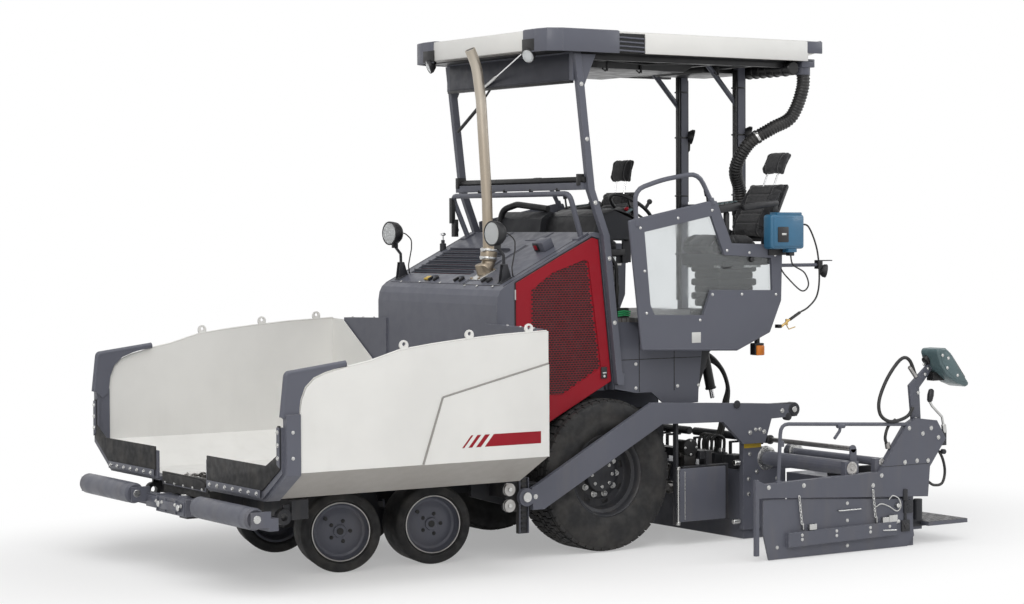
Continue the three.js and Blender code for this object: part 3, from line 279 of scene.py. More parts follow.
def seat_cloth():
    """Black woven seat cover: a fine plain weave with fluff on it."""
    finish = Finish("seat_cloth")
    weave = finish.node("ShaderNodeTexBrick", offset=0.5)
    finish.feed(weave.inputs["Vector"], finish.place)
    for name, value in (
        ("Scale", 260.0), ("Mortar Size", 0.05), ("Brick Width", 0.5), ("Row Height", 0.25)
    ):
        weave.inputs[name].default_value = value
    fluff = finish.between(finish.noise(45, 6), 0.45, 0.75, 0.0, 0.5)
    finish.set(
        Base_Color=finish.mix(fluff, (0.013, 0.013, 0.015), (0.045, 0.045, 0.05)),
        Roughness=finish.between(finish.noise(30, 4), 0.3, 0.7, 0.8, 0.95),
        Sheen_Weight=0.35,
        Sheen_Roughness=0.5,
    )
    finish.bump(weave.outputs["Fac"], 0.35, 0.0006)
    return finish.material


def tread_plate():
    """Dark tread plate: crossed raised bars in rows, rubbed bright on top."""
    finish = Finish("tread_plate")
    pitch = 34.0

    def bars(turn, shift):
        laid = finish.node("ShaderNodeMapping")
        finish.feed(laid.inputs["Vector"], finish.place)
        laid.inputs["Rotation"].default_value = (0, 0, math.radians(turn))
        laid.inputs["Scale"].default_value = (pitch, pitch * 0.5, 1)
        laid.inputs["Location"].default_value = (shift, shift * 0.5, 0)
        spots = finish.node("ShaderNodeTexVoronoi", feature="F1", voronoi_dimensions="2D")
        finish.feed(spots.inputs["Vector"], laid.outputs["Vector"])
        spots.inputs["Scale"].default_value = 1.0
        spots.inputs["Randomness"].default_value = 0.0
        return finish.between(spots.outputs["Distance"], 0.2, 0.3, 1.0, 0.0)

    raised = finish.math("MAXIMUM", bars(45, 0.0), bars(-45, 0.5))
    dirt = finish.between(finish.noise(6, 6), 0.4, 0.75)
    base = finish.mix(dirt, (0.045, 0.045, 0.05), (0.12, 0.11, 0.1))
    finish.set(
        Base_Color=finish.mix(finish.math("MULTIPLY", raised, 0.5), base, (0.25, 0.25, 0.25)),
        Metallic=0.4,
        Roughness=finish.between(finish.noise(20, 4), 0.3, 0.7, 0.4, 0.65),
    )
    finish.bump(raised, 0.6, 0.002)
    return finish.material


def exhaust_steel():
    """Stainless tube, straw and brown from heat at its foot and paler above."""
    finish = Finish("exhaust_steel")
    high = finish.between(finish.part("Z"), 1.9, 3.5)
    warm = finish.mix(high, (0.34, 0.285, 0.22), (0.5, 0.455, 0.39))
    cloud = finish.between(finish.noise(7, 6, (1, 1, 0.3)), 0.35, 0.75, 0.0, 0.35)
    finish.set(
        Base_Color=finish.mix(cloud, warm, (0.3, 0.235, 0.165)),
        Metallic=0.85,
        Roughness=finish.between(finish.noise(30, 4), 0.3, 0.7, 0.32, 0.5),
    )
    finish.bump(finish.noise(180, 2, (1, 1, 0.1)), 0.05, 0.0005)
    return finish.material


def tarred_steel():
    """Steel worn bright by hot mix, with tar left in the corners."""
    finish = Finish("tarred_steel")
    tar = finish.between(finish.noise(6, 8, (1, 1, 1), 0.65), 0.44, 0.56)
    finish.set(
        Base_Color=finish.mix(tar, (0.3, 0.29, 0.28), (0.03, 0.027, 0.024)),
        Metallic=finish.between(tar, 0, 1, 0.8, 0.0),
        Roughness=finish.between(tar, 0, 1, 0.38, 0.75),
    )
    finish.bump(finish.noise(70, 6), 0.4, 0.002)
    return finish.material


def glass(name, colour=(1, 1, 1), roughness=0.02, see_through=0.92):
    """Clear or tinted lamp glass or pane, with a faint haze."""
    finish = Finish(name)
    haze = finish.between(finish.noise(8, 5), 0.35, 0.8, roughness, roughness + 0.08)
    tint = finish.mix(
        finish.between(finish.noise(3, 3), 0.3, 0.7), colour, tuple(c * 0.96 for c in colour)
    )
    finish.set(Base_Color=tint, Roughness=haze, Transmission_Weight=see_through, IOR=1.45)
    return finish.material


def chrome(name="chrome"):
    """Hard chrome on piston rods and rims, with fine dust."""
    finish = Finish(name)
    dusty = finish.between(finish.noise(12, 6), 0.45, 0.8, 0.0, 0.35)
    finish.set(
        Base_Color=finish.mix(dusty, (0.78, 0.78, 0.79), (0.4, 0.38, 0.35)),
        Metallic=1.0,
        Roughness=finish.between(finish.noise(40, 4), 0.3, 0.7, 0.06, 0.22),
    )
    return finish.material


GREY = paint("blue_grey_paint", (0.115, 0.12, 0.148))
DARK = paint("dark_grey_paint", (0.03, 0.031, 0.036), roughness=0.5, wear=0.25, gloss=0.15)
# The off-white paint is painted darker on its downward faces, as shade.
WHITE = paint(
    "off_white_paint", (0.8, 0.795, 0.77), worn=(0.3, 0.29, 0.28), wear=0.3, dust=0.18, underside_shade=0.7
)
RED = paint(
    "red_paint", (0.29, 0.004, 0.014), roughness=0.45, worn=(0.33, 0.04, 0.05), dust=0.08, gloss=0.05
)
BLACK = paint(
    "black_paint", (0.012, 0.012, 0.013), roughness=0.45, worn=(0.2, 0.2, 0.2), wear=0.3, gloss=0.2
)
TYRE = rubber("tyre_rubber", (0.014, 0.014, 0.015), dust=0.35)
SLOT = rubber("slot_shadow", (0.004, 0.004, 0.005), dust=0.0)
RUBBER = rubber("black_rubber", (0.01, 0.01, 0.011), dust=0.35, roughness=0.7)
HOSE = rubber("hose_rubber", (0.011, 0.011, 0.012), dust=0.25, roughness=0.5, grain=900)
STEEL = metal("bare_steel", (0.42, 0.41, 0.4), 0.38)
ZINC = metal("zinc_plate", (0.55, 0.55, 0.54), 0.3, stain=0.15)
CHROME = chrome()
BRASS = metal("brass", (0.62, 0.42, 0.16), 0.3, stain=0.2)
EXHAUST = exhaust_steel()
TARRED = tarred_steel()
CLOTH = seat_cloth()
TREAD_PLATE = tread_plate()
PLASTIC = moulded("black_plastic", (0.014, 0.014, 0.016))
BLUE = moulded("blue_plastic", (0.03, 0.135, 0.245), roughness=0.42, clear=0.2)
TEAL = moulded("teal_grey_plastic", (0.085, 0.135, 0.145), roughness=0.4, clear=0.2)
LABEL = moulded("blank_label", (0.72, 0.72, 0.7), roughness=0.4)
YELLOW = moulded("yellow_label", (0.62, 0.42, 0.04), roughness=0.4)
LAMP_GLASS = glass("lamp_glass", (0.93, 0.95, 0.96), see_through=0.6)
PANE = glass("clear_pane", (0.74, 0.77, 0.78))
SHADOW_GAP = paint("shaded_joint", (0.3, 0.29, 0.275), wear=0.0, gloss=0.0)
GREEN = moulded("green_hose_plastic", (0.03, 0.3, 0.11), roughness=0.4)
HEADER = paint("header_grey_paint", (0.045, 0.047, 0.06), roughness=0.5, wear=0.1)
AMBER = glass("amber_lens", (0.8, 0.24, 0.02), see_through=0.35)


# ---------------------------------------------------------------- shapes


class Shape:
    """One mesh put together from closed solids, in the frame's metres."""

    def __init__(self):
        self.made = bmesh.new()

    def add(self, points, faces):
        verts = [self.made.verts.new(p) for p in points]
        for face in faces:
            self.made.faces.new([verts[i] for i in face])
        return self

    def block(self, low, high, turn=None, about=None):
        """A box from corner to corner, turned by a matrix about a point, if one is given."""
        corners = [
            Vector((x, y, z)) for x in (
                low[0], high[0]
            ) for y in (low[1], high[1]) for z in (low[2], high[2])
        ]
        if turn is not None:
            centre = Vector(about) if about else (Vector(low) + Vector(high)) / 2
            corners = [centre + turn @ (c - centre) for c in corners]
        faces = [(0, 1, 3, 2), (4, 6, 7, 5), (0, 4, 5, 1), (2, 3, 7, 6), (0, 2, 6, 4), (1, 5, 7, 3)]
        return self.add(corners, faces)

    def cube(self, centre, half, turn=None):
        """A box round its centre, given by half its sizes and turned about the centre."""
        return self.block(centre - Vector(half), centre + Vector(half), turn, centre)

    def plate(self, outline, normal, start, stop):
        """An outline drawn across the axis x, y or z, from start to stop along that axis."""
        axis = "xyz".index(normal)

        def point(u, v, w):
            p = [u, v]
            p.insert(axis, w)
            return p

        n = len(outline)
        points = [point(*p, start) for p in outline] + [point(*p, stop) for p in outline]
        faces = [tuple(range(n)), tuple(range(2 * n - 1, n - 1, -1))]
        faces += [(i, (i + 1) % n, n + (i + 1) % n, n + i) for i in range(n)]
        return self.add(points, faces)

    def turned(self, profile, origin, axis, steps=40):
        """A profile of (along the axis, radius) spun about an axis through origin; a closed one is a ring."""
        axis = Vector(axis).normalized()
        side = axis.orthogonal().normalized()
        up = axis.cross(side)
        origin = Vector(origin)
        ring = [2 * math.pi * i / steps for i in range(steps)]
        points, rows = [], []
        for along, radius in profile:
            if radius < 1e-6:
                rows.append([len(points)] * steps)
                points.append(origin + axis * along)
            else:
                rows.append([len(points) + i for i in range(steps)])
                points += [
                    origin + axis * along + (side * math.cos(a) + up * math.sin(a)) * radius for a in ring
                ]
        faces = []
        for one, two in zip(rows, rows[1:]):
            for i in range(steps):
                j = (i + 1) % steps
                face = list(dict.fromkeys((one[i], one[j], two[j], two[i])))
                if len(face) > 2:
                    faces.append(face)
        if profile[0][1] > 1e-6 and profile[0] != profile[-1]:
            faces.append(rows[0])
        if profile[-1][1] > 1e-6 and profile[0] != profile[-1]:
            faces.append(rows[-1])
        self.add(points, faces)
        return self

    def rod(self, start, end, radius, steps=16, chamfer=0.0):
        """A round bar, with its ends chamfered."""
        start, end = Vector(start), Vector(end)
        length = (end - start).length
        profile = [(0, 0), (0, radius - chamfer), (chamfer, radius), (length - chamfer, radius)]
        profile += [(length, radius - chamfer), (length, 0)]
        if not chamfer:
            profile = [(0, 0), (0, radius), (length, radius), (length, 0)]
        return self.turned(profile, start, end - start, steps)

    def tube(self, points, radius, steps=10, bend=0.0):
        """A round tube along points, its corners rounded to the bend radius; radius may be a list."""
        line = eased([Vector(p) for p in points], bend) if bend else [Vector(p) for p in points]
        tangents = []
        for i in range(len(line)):
            tangents.append((line[min(i + 1, len(line) - 1)] - line[max(i - 1, 0)]).normalized())
        side = tangents[0].orthogonal().normalized()
        verts = []
        for i, (p, t) in enumerate(zip(line, tangents)):
            side = (side - t * side.dot(t)).normalized()
            up = t.cross(side)
            r = radius[min(i, len(radius) - 1)] if isinstance(radius, list) else radius
            for k in range(steps):
                a = 2 * math.pi * k / steps
                verts.append(p + (side * math.cos(a) + up * math.sin(a)) * r)
        faces = [tuple(range(steps)), tuple(range(len(verts) - 1, len(verts) - steps - 1, -1))]
        for i in range(len(line) - 1):
            for k in range(steps):
                a, b = i * steps + k, i * steps + (k + 1) % steps
                faces.append((a, b, b + steps, a + steps))
        return self.add(verts, faces)

    def ball(self, centre, radius, steps=16, squash=(1, 1, 1)):
        half = steps // 2
        arc = [math.pi * i / half for i in range(half + 1)]
        profile = [
            (-radius * math.cos(a), radius * math.sin(a) if 0 < i < half else 0) for i,
            a in enumerate(arc)
        ]
        before = len(self.made.verts)
        self.turned(profile, centre, (0, 0, 1), steps)
        self.made.verts.ensure_lookup_table()
        for v in self.made.verts[before:]:
            v.co = Vector(centre) + Vector([(v.co - Vector(centre))[i] * squash[i] for i in range(3)])
        return self

    def taken(self, mesh, at=Matrix.Identity(4)):
        """Adds a ready mesh, placed by a matrix."""
        placed = mesh.copy()
        placed.transform(at)
        self.made.from_mesh(placed)
        bpy.data.meshes.remove(placed)
        return self

    def mesh(self, name):
        bmesh.ops.recalc_face_normals(self.made, faces=self.made.faces)
        made = bpy.data.meshes.new(name)
        self.made.to_mesh(made)
        self.made.free()
        return made


def eased(points, bend):
    """The points of a path whose corners are arcs of about the bend radius."""
    line = [points[0]]
    for before, corner, after in zip(points, points[1:], points[2:]):
        one, two = before - corner, after - corner
        turn = math.pi - one.angle(two)
        if turn < 0.05:
            line.append(corner)
            continue
        reach = min(bend * math.tan(turn / 2), one.length * 0.48, two.length * 0.48)
        start, end = corner + one.normalized() * reach, corner + two.normalized() * reach
        steps = max(2, round(turn / 0.22))
        for i in range(steps + 1):
            t = i / steps
            line.append(start * (1 - t) ** 2 + corner * 2 * t * (1 - t) + end * t * t)
    line.append(points[-1])
    return line


def rounded(mesh, width, segments=2):
    """The mesh with its sharp edges bevelled."""
    holder = bpy.data.objects.new("holder", mesh)
    bpy.context.scene.collection.objects.link(holder)
    bevel = holder.modifiers.new("bevel", "BEVEL")
    bevel.width = width
    bevel.segments = segments
    bevel.limit_method = "ANGLE"
    bevel.angle_limit = math.radians(40)
    bevel.use_clamp_overlap = True
    return baked(holder)


def baked(holder):
    """The holder's mesh with its modifiers applied; the holder is removed."""
    graph = bpy.context.evaluated_depsgraph_get()
    made = bpy.data.meshes.new_from_object(holder.evaluated_get(graph), depsgraph=graph)
    bpy.data.objects.remove(holder)
    return made


def piece(name, shape, finish, body, edge=0.0, smooth=35, replaces=(), crosses=None):
    """A finished piece that rides on a body; given crosses, it rides on no body and keeps its place, and the
    other body and bend points in crosses are not used.
    """
    made = shape.mesh(name) if isinstance(shape, Shape) else shape
    if edge:
        made = rounded(made, edge)
    made.name = name
    made.materials.clear()
    made.materials.append(finish)
    made.polygons.foreach_set("material_index", [0] * len(made.polygons))
    made.polygons.foreach_set("use_smooth", [smooth > 0] * len(made.polygons))
    if smooth:
        made.set_sharp_from_angle(angle=math.radians(smooth))
    thing = bpy.data.objects.new(name, made)
    bpy.context.scene.collection.objects.link(thing)
    if crosses:
        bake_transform(thing)
    else:
        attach(thing, body)
    if replaces:
        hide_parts(*replaces)
    return thing


# ---------------------------------------------------------------- Geometry Nodes for what repeats


class Pattern:
    """A Geometry Nodes tree with named number inputs; it ends in Realize Instances and Set Material."""

    def __init__(self, name, **sizes):
        self.tree = bpy.data.node_groups.new(name, "GeometryNodeTree")
        face = self.tree.interface
        face.new_socket("Geometry", in_out="OUTPUT", socket_type="NodeSocketGeometry")
        self.sockets = {}
        for key, kind in sizes.items():
            socket = face.new_socket(key, in_out="INPUT", socket_type=f"NodeSocket{kind}")
            self.sockets[key] = socket.identifier
        self.given = self.tree.nodes.new("NodeGroupInput").outputs
        self.output = self.tree.nodes.new("NodeGroupOutput")

    def node(self, kind, inputs=None, **settings):
        made = self.tree.nodes.new(kind)
        for key, value in settings.items():
            setattr(made, key, value)
        for key, value in (inputs or {}).items():
            if isinstance(value, bpy.types.NodeSocket):
                self.tree.links.new(value, made.inputs[key])
            else:
                made.inputs[key].default_value = value
        return made

    def math(self, operation, a, b=0.0):
        return self.node("ShaderNodeMath", {0: a, 1: b}, operation=operation).outputs[0]

    def end(self, geometry):
        whole = self.node("GeometryNodeRealizeInstances", {"Geometry": geometry})
        painted = self.node(
            "GeometryNodeSetMaterial", {"Geometry": whole.outputs[0], "Material": self.given["Finish"]}
        )
        self.tree.links.new(painted.outputs[0], self.output.inputs[0])

    def make(self, finish, **values):
        """A plain mesh of the pattern at these sizes."""
        holder = bpy.data.objects.new("holder", bpy.data.meshes.new("holder"))
        bpy.context.scene.collection.objects.link(holder)
        modifier = holder.modifiers.new("pattern", "NODES")
        modifier.node_group = self.tree
        modifier[self.sockets["Finish"]] = finish
        for key, value in values.items():
            modifier[self.sockets[key]] = value
        return baked(holder)


def bolt_circle():
    """Hexagon heads on washers, round a circle about Z and standing on z = 0."""
    p = Pattern(
        "bolt_circle", Count="Int", Radius="Float", Head="Float", Height="Float", Finish="Material"
    )
    ring = p.node("GeometryNodeMeshCircle", {"Vertices": p.given["Count"], "Radius": p.given["Radius"]})
    head = p.node(
        "GeometryNodeMeshCylinder", {"Vertices": 6, "Radius": p.given["Head"], "Depth": p.given["Height"]}
    )
    washer = p.node(
        "GeometryNodeMeshCylinder",
        {
            "Vertices": 16,
            "Radius": p.math("MULTIPLY", p.given["Head"], 1.35),
            "Depth": p.math("MULTIPLY", p.given["Height"], 0.3),
        },
    )
    lift = p.node("ShaderNodeCombineXYZ", {"Z": p.math("MULTIPLY", p.given["Height"], 0.5)})
    raised = p.node(
        "GeometryNodeTransform", {"Geometry": head.outputs[0], "Translation": lift.outputs[0]}
    )
    both = p.node("GeometryNodeJoinGeometry")
    p.tree.links.new(raised.outputs[0], both.inputs[0])
    p.tree.links.new(washer.outputs[0], both.inputs[0])
    laid = p.node(
        "GeometryNodeInstanceOnPoints", {"Points": ring.outputs[0], "Instance": both.outputs[0]}
    )
    p.end(laid.outputs[0])
    return p


def slot_rows():
    """Blocks in rows on the XY plane, each second row set half a pitch across."""
    p = Pattern(
        "slot_rows",
        Columns="Int",
        Rows="Int",
        Pitch="Float",
        Row_pitch="Float",
        Shift="Float",
        Size="Vector",
        Finish="Material",
    )
    grid = p.node(
        "GeometryNodeMeshGrid",
        {
            "Size X": p.math("MULTIPLY", p.given["Pitch"], p.math("SUBTRACT", p.given["Columns"], 1)),
            "Size Y": p.math("MULTIPLY", p.given["Row_pitch"], p.math("SUBTRACT", p.given["Rows"], 1)),
            "Vertices X": p.given["Columns"],
            "Vertices Y": p.given["Rows"],
        },
    )
    number = p.node("GeometryNodeInputIndex").outputs[0]
    odd = p.math("MODULO", number, 2.0)
    across = p.node("ShaderNodeCombineXYZ", {"X": p.math("MULTIPLY", odd, p.given["Shift"])})
    moved = p.node("GeometryNodeSetPosition", {"Geometry": grid.outputs[0], "Offset": across.outputs[0]})
    slot = p.node("GeometryNodeMeshCube", {"Size": p.given["Size"]})
    laid = p.node(
        "GeometryNodeInstanceOnPoints", {"Points": moved.outputs[0], "Instance": slot.outputs[0]}
    )
    p.end(laid.outputs[0])
    return p


def block_ring():
    """Blocks round a circle about Z, each turned to face out, skewed by an angle in degrees."""
    p = Pattern(
        "block_ring", Count="Int", Radius="Float", Size="Vector", Skew="Float", Offset="Float",
        Turn="Float", Finish="Material"
    )
    ring = p.node("GeometryNodeMeshCircle", {"Vertices": p.given["Count"], "Radius": p.given["Radius"]})
    number = p.node("GeometryNodeInputIndex").outputs[0]
    step = p.math("DIVIDE", 2 * math.pi, p.given["Count"])
    angle = p.math("MULTIPLY", number, step)
    turn = p.node("ShaderNodeCombineXYZ", {"X": p.given["Skew"], "Z": angle})
    block = p.node("GeometryNodeMeshCube", {"Size": p.given["Size"]})
    laid = p.node(
        "GeometryNodeInstanceOnPoints",
        {"Points": ring.outputs[0], "Instance": block.outputs[0], "Rotation": turn.outputs[0]},
    )
    lift = p.node("ShaderNodeCombineXYZ", {"Z": p.given["Offset"]})
    spin = p.node("ShaderNodeCombineXYZ", {"Z": p.given["Turn"]})
    raised = p.node(
        "GeometryNodeTransform",
        {"Geometry": laid.outputs[0], "Translation": lift.outputs[0], "Rotation": spin.outputs[0]},
    )
    p.end(raised.outputs[0])
    return p


def link_chain():
    """Welded links along a straight line down from the origin, each turned a quarter from the last."""
    p = Pattern("link_chain", Count="Int", Pitch="Float", Wire="Float", Finish="Material")
    drop = p.node("ShaderNodeCombineXYZ", {"Z": p.math("MULTIPLY", p.given["Pitch"], -1.0)})
    line = p.node("GeometryNodeMeshLine", {"Count": p.given["Count"], "Offset": drop.outputs[0]})
    number = p.node("GeometryNodeInputIndex").outputs[0]
    quarter = p.math("MULTIPLY", p.math("MODULO", number, 2.0), math.pi / 2)
    turn = p.node("ShaderNodeCombineXYZ", {"Y": 0.0, "Z": quarter})
    loop = p.node(
        "GeometryNodeCurvePrimitiveCircle",
        {"Resolution": 12, "Radius": p.math("MULTIPLY", p.given["Pitch"], 0.62)}
    )
    upright = p.node(
        "GeometryNodeTransform", {
            "Geometry": loop.outputs[0], "Rotation": (math.pi / 2, 0, 0), "Scale": (0.55, 1, 1)
        }
    )
    section = p.node("GeometryNodeCurvePrimitiveCircle", {"Resolution": 6, "Radius": p.given["Wire"]})
    link = p.node(
        "GeometryNodeCurveToMesh", {"Curve": upright.outputs[0], "Profile Curve": section.outputs[0]}
    )
    laid = p.node(
        "GeometryNodeInstanceOnPoints",
        {"Points": line.outputs[0], "Instance": link.outputs[0], "Rotation": turn.outputs[0]},
    )
    p.end(laid.outputs[0])
    return p


BOLT_CIRCLE = bolt_circle()
SLOT_ROWS = slot_rows()
BLOCK_RING = block_ring()
LINK_CHAIN = link_chain()


def facing(origin, out, along=(0, 0, 1)):
    """The matrix that puts a pattern's Z along out and its Y near along, at origin."""
    z = Vector(out).normalized()
    x = Vector(along).cross(z)
    if x.length < 1e-6:
        x = Vector((1, 0, 0)).cross(z)
    x.normalize()
    y = z.cross(x)
    turn = Matrix((x, y, z)).transposed().to_4x4()
    return Matrix.Translation(Vector(origin)) @ turn


def bolts(shape, points, out, head=0.011, height=0.008):
    """Hexagon heads on washers, at points on a face that looks along out."""
    way = Vector(out).normalized()
    for p in points:
        foot = Vector(p) - way * 0.001
        shape.rod(foot, foot + way * 0.0025, head * 1.45, 16)
        shape.rod(foot, foot + way * (height + 0.001), head, 6, 0.001)
    return shape


# ---------------------------------------------------------------- wheels


def joint(name):
    return next(j for j in frame["joints"] if j["name"] == name)


def ring_profile(half):
    """A profile given from its outer face to its middle, mirrored to the inner face and closed."""
    whole = half + [(-u, r) for u, r in reversed(half)]
    return whole + [whole[0]]


def rear_tyre(name, side):
    """A radial lorry tyre: ribbed crown, lugs at the shoulders and mould rings on its walls."""
    centre = middle(name)
    out = Vector((0, side, 0))
    low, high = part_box(name)
    radius = (high.z - low.z) / 2
    half = (high.y - low.y) / 2
    profile = [
        (half * 0.8, 0.288), (half * 0.9, 0.3), (half * 0.965, 0.335), (half * 0.99, 0.345),
        (half, 0.385), (half * 0.985, 0.43), (half * 0.995, 0.436), (half * 0.97, 0.47),
        (half * 0.93, 0.497), (half * 0.86, radius - 0.02), (half * 0.8, radius - 0.015),
    ]
    shape = Shape().turned(ring_profile(profile), centre, out, 96)
    rows = ((0.0, 0.036, 60, 0.0), (0.052, 0.044, 60, 0.22), (-0.052, 0.044, 60, -0.22))
    rows += (
        (0.106, 0.046, 54, 0.12), (-0.106, 0.046, 54, -0.12), (0.154, 0.034, 48, 0.0),
        (-0.154, 0.034, 48, 0.0)
    )
    for across, width, count, skew in rows:
        drop = 0.009 if abs(across) > 0.14 else 0.0
        arc = 2 * math.pi * radius / count
        blocks = BLOCK_RING.make(
            TYRE,
            Count=count,
            Radius=radius - 0.0125 - drop,
            Size=(0.022, arc * 0.8, width),
            Skew=skew,
            Offset=across,
            Turn=across * 9,
        )
        shape.taken(blocks, facing(centre, out))
        bpy.data.meshes.remove(blocks)
    return piece(f"{name}_tyre", shape, TYRE, f"{name}_body", smooth=40, replaces=(name,))


def rear_rim(name, side):
    """A deep dished rim: lip, well, disc with hand holes, and the hub with its nuts."""
    centre = middle(name)
    out = Vector((0, side, 0))
    face = (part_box(name)[1].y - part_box(name)[0].y) / 2
    dish = face - 0.15
    rim = [
        (face - 0.03, 0.296), (face - 0.026, 0.286), (face - 0.034, 0.276), (face - 0.075, 0.266),
        (face - 0.085, 0.244), (dish + 0.022, 0.236), (dish + 0.008, 0.224), (dish + 0.004, 0.175),
        (dish + 0.014, 0.16), (dish + 0.014, 0.128), (dish + 0.05, 0.12), (dish + 0.058, 0.108),
        (dish + 0.058, 0.0),
    ]
    shape = Shape().turned(
        [(dish - 0.02, 0.0), (dish - 0.02, 0.22), (face - 0.1, 0.282)] + rim, centre, out, 72
    )
    web = [
        (0.05 - face, 0.0), (0.05 - face, 0.2), (0.03 - face, 0.29), (0.1 - face, 0.29),
        (-0.02, 0.262), (dish - 0.02, 0.262), (dish - 0.02, 0.0),
    ]
    shape.turned(web, centre, out, 60)
    piece(f"{name}_rim", shape, DARK, f"{name}_body", smooth=38)
    nuts = BOLT_CIRCLE.make(ZINC, Count=10, Radius=0.145, Head=0.017, Height=0.022)
    caps = BOLT_CIRCLE.make(ZINC, Count=8, Radius=0.086, Head=0.009, Height=0.008)
    fixings = Shape().taken(nuts, facing(centre + out * (dish + 0.014), out))
    fixings.taken(caps, facing(centre + out * (dish + 0.058), out))
    piece(f"{name}_nuts", fixings, ZINC, f"{name}_body", smooth=30)
    # The hand holes are black blocks on the disc: painted shade standing for the openings.
    holes = BLOCK_RING.make(
        BLACK, Count=8, Radius=0.2, Size=(0.03, 0.052, 0.006), Skew=0.0, Offset=0.0, Turn=0.3
    )
    openings = Shape().taken(holes, facing(centre + out * (dish + 0.0065), out))
    piece(f"{name}_hand_hole_shade", openings, BLACK, f"{name}_body", edge=0.0028, smooth=30)


def small_wheel(name, side):
    """A solid rubber tyre pressed on a dished steel wheel."""
    axis = Vector(joint(f"{name}_spin")["axis"]).normalized()
    out = axis * side
    centre = Vector(joint(f"{name}_spin")["pos_m"])
    radius = (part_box(name)[1].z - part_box(name)[0].z) / 2
    half = 0.15
    tyre = [
        (half * 0.86, 0.197), (half * 0.93, 0.202), (half, 0.212), (half, 0.226), (half * 0.985, 0.232),
        (half * 0.985, 0.25), (half * 0.95, 0.26), (half * 0.9, radius - 0.003), (half * 0.82, radius),
    ]
    shape = Shape().turned(ring_profile(tyre), centre, out, 80)
    piece(f"{name}_tyre", shape, TYRE, f"{name}_body", smooth=40, replaces=(name,))
    face = half * 0.9
    rim = [
        (0.0, 0.0), (0.0, 0.165), (-face, 0.18), (-face, 0.197), (
            face - 0.006, 0.197
        ), (face, 0.194), (face - 0.004, 0.187),
        (face - 0.03, 0.181), (face - 0.052, 0.17), (face - 0.058, 0.155), (face - 0.05, 0.128),
        (face - 0.04, 0.095), (face - 0.04, 0.044), (face - 0.028, 0.04), (face - 0.03, 0.0),
    ]
    piece(f"{name}_rim", Shape().turned(rim, centre, out, 64), GREY, f"{name}_body", smooth=38)
    edge = [(face - 0.001, 0.1965), (face + 0.004, 0.196), (face + 0.005, 0.19), (face - 0.001, 0.1865)]
    worn = Shape().turned(edge + [edge[0]], centre, out, 64)
    piece(f"{name}_rim_edge", worn, STEEL, f"{name}_body", smooth=38)
    fixings = BOLT_CIRCLE.make(BLACK, Count=5, Radius=0.07, Head=0.01, Height=0.009)
    dark = Shape().taken(fixings, facing(centre + out * (face - 0.04), out))
    hub = [(face - 0.029, 0.0), (face - 0.029, 0.023), (face - 0.026, 0.023), (face - 0.026, 0.0)]
    dark.turned(hub, centre, out, 24)
    flat = centre + out * (face - 0.0405)
    tangent = out.cross(Vector((0, 0, 1))).normalized()
    valve = flat + tangent * 0.095 * side + Vector((0, 0, 0.085))
    dark.rod(valve - out * 0.012, valve + out * 0.003, 0.013, 18)
    piece(f"{name}_hub_bolts", dark, BLACK, f"{name}_body", smooth=30)


def wheels():
    for which, side in SIDES.items():
        rear_tyre(f"rear_wheel_{which}", side)
        rear_rim(f"rear_wheel_{which}", side)
        small_wheel(f"front_wheel_{which}", side)
        small_wheel(f"middle_wheel_{which}", side)


# ---------------------------------------------------------------- hood, doors and exhaust

HOOD_NOSE = (0.8, 1.872)
HOOD_HEEL = (0.06, 2.235)


def hood_top(x):
    """The height of the hood's sloping top, x ahead of the rear axle."""
    share = (HOOD_NOSE[0] - x) / (HOOD_NOSE[0] - HOOD_HEEL[0])
    return HOOD_NOSE[1] + (HOOD_HEEL[1] - HOOD_NOSE[1]) * share


HOOD_BACK = Vector((HOOD_HEEL[0] - HOOD_NOSE[0], 0, HOOD_HEEL[1] - HOOD_NOSE[1])).normalized()
HOOD_UP = Vector((HOOD_BACK.z, 0, -HOOD_BACK.x))
HOOD_TURN = Matrix((-HOOD_BACK, Vector((0, 1, 0)), HOOD_UP)).transposed()


def on_hood(x, y, lift=0.0):
    return ahead(x, y, hood_top(x)) + HOOD_UP * lift


def hood_block(shape, x, y, size, lift=0.0):
    """A box that lies on the hood's slope, centred on x and y; size is along, across and up."""
    centre = on_hood(x, y, lift + size[2] / 2)
    half = Vector(size) / 2
    return shape.block(centre - half, centre + half, HOOD_TURN, centre)


GRILLE_FIELD = [
    (
        0.601, 1.835
    ), (0.426, 1.955), (0.15, 2.045), (0.11, 2.03), (0.005, 1.29), (0.33, 1.11), (0.601, 1.11),
]
DOOR_EDGE = [
    (0.717, 1.89), (
        0.333, 2.078
    ), (0.079, 2.196), (0.03, 2.182), (-0.08, 1.19), (0.456, 0.922), (0.717, 0.922),
]


def crossings(outline, z):
    """Where a level line crosses an outline, as pairs of x."""
    cuts = []
    for (x1, z1), (x2, z2) in zip(outline, outline[1:] + outline[:1]):
        if (z1 > z) != (z2 > z):
            cuts.append(x1 + (x2 - x1) * (z - z1) / (z2 - z1))
    cuts.sort()
    return list(zip(cuts[::2], cuts[1::2]))


def blocks_kept(mesh, keep):
    """The mesh of realized cubes with those whose middle fails the test taken away."""
    cut = bmesh.new()
    cut.from_mesh(mesh)
    cut.verts.ensure_lookup_table()
    gone = []
    for start in range(0, len(cut.verts), 8):
        corners = cut.verts[start : start + 8]
        centre = sum((v.co for v in corners), Vector()) / 8
        if not keep(centre):
            gone += corners
    bmesh.ops.delete(cut, geom=gone, context="VERTS")
    cut.to_mesh(mesh)
    cut.free()
    return mesh


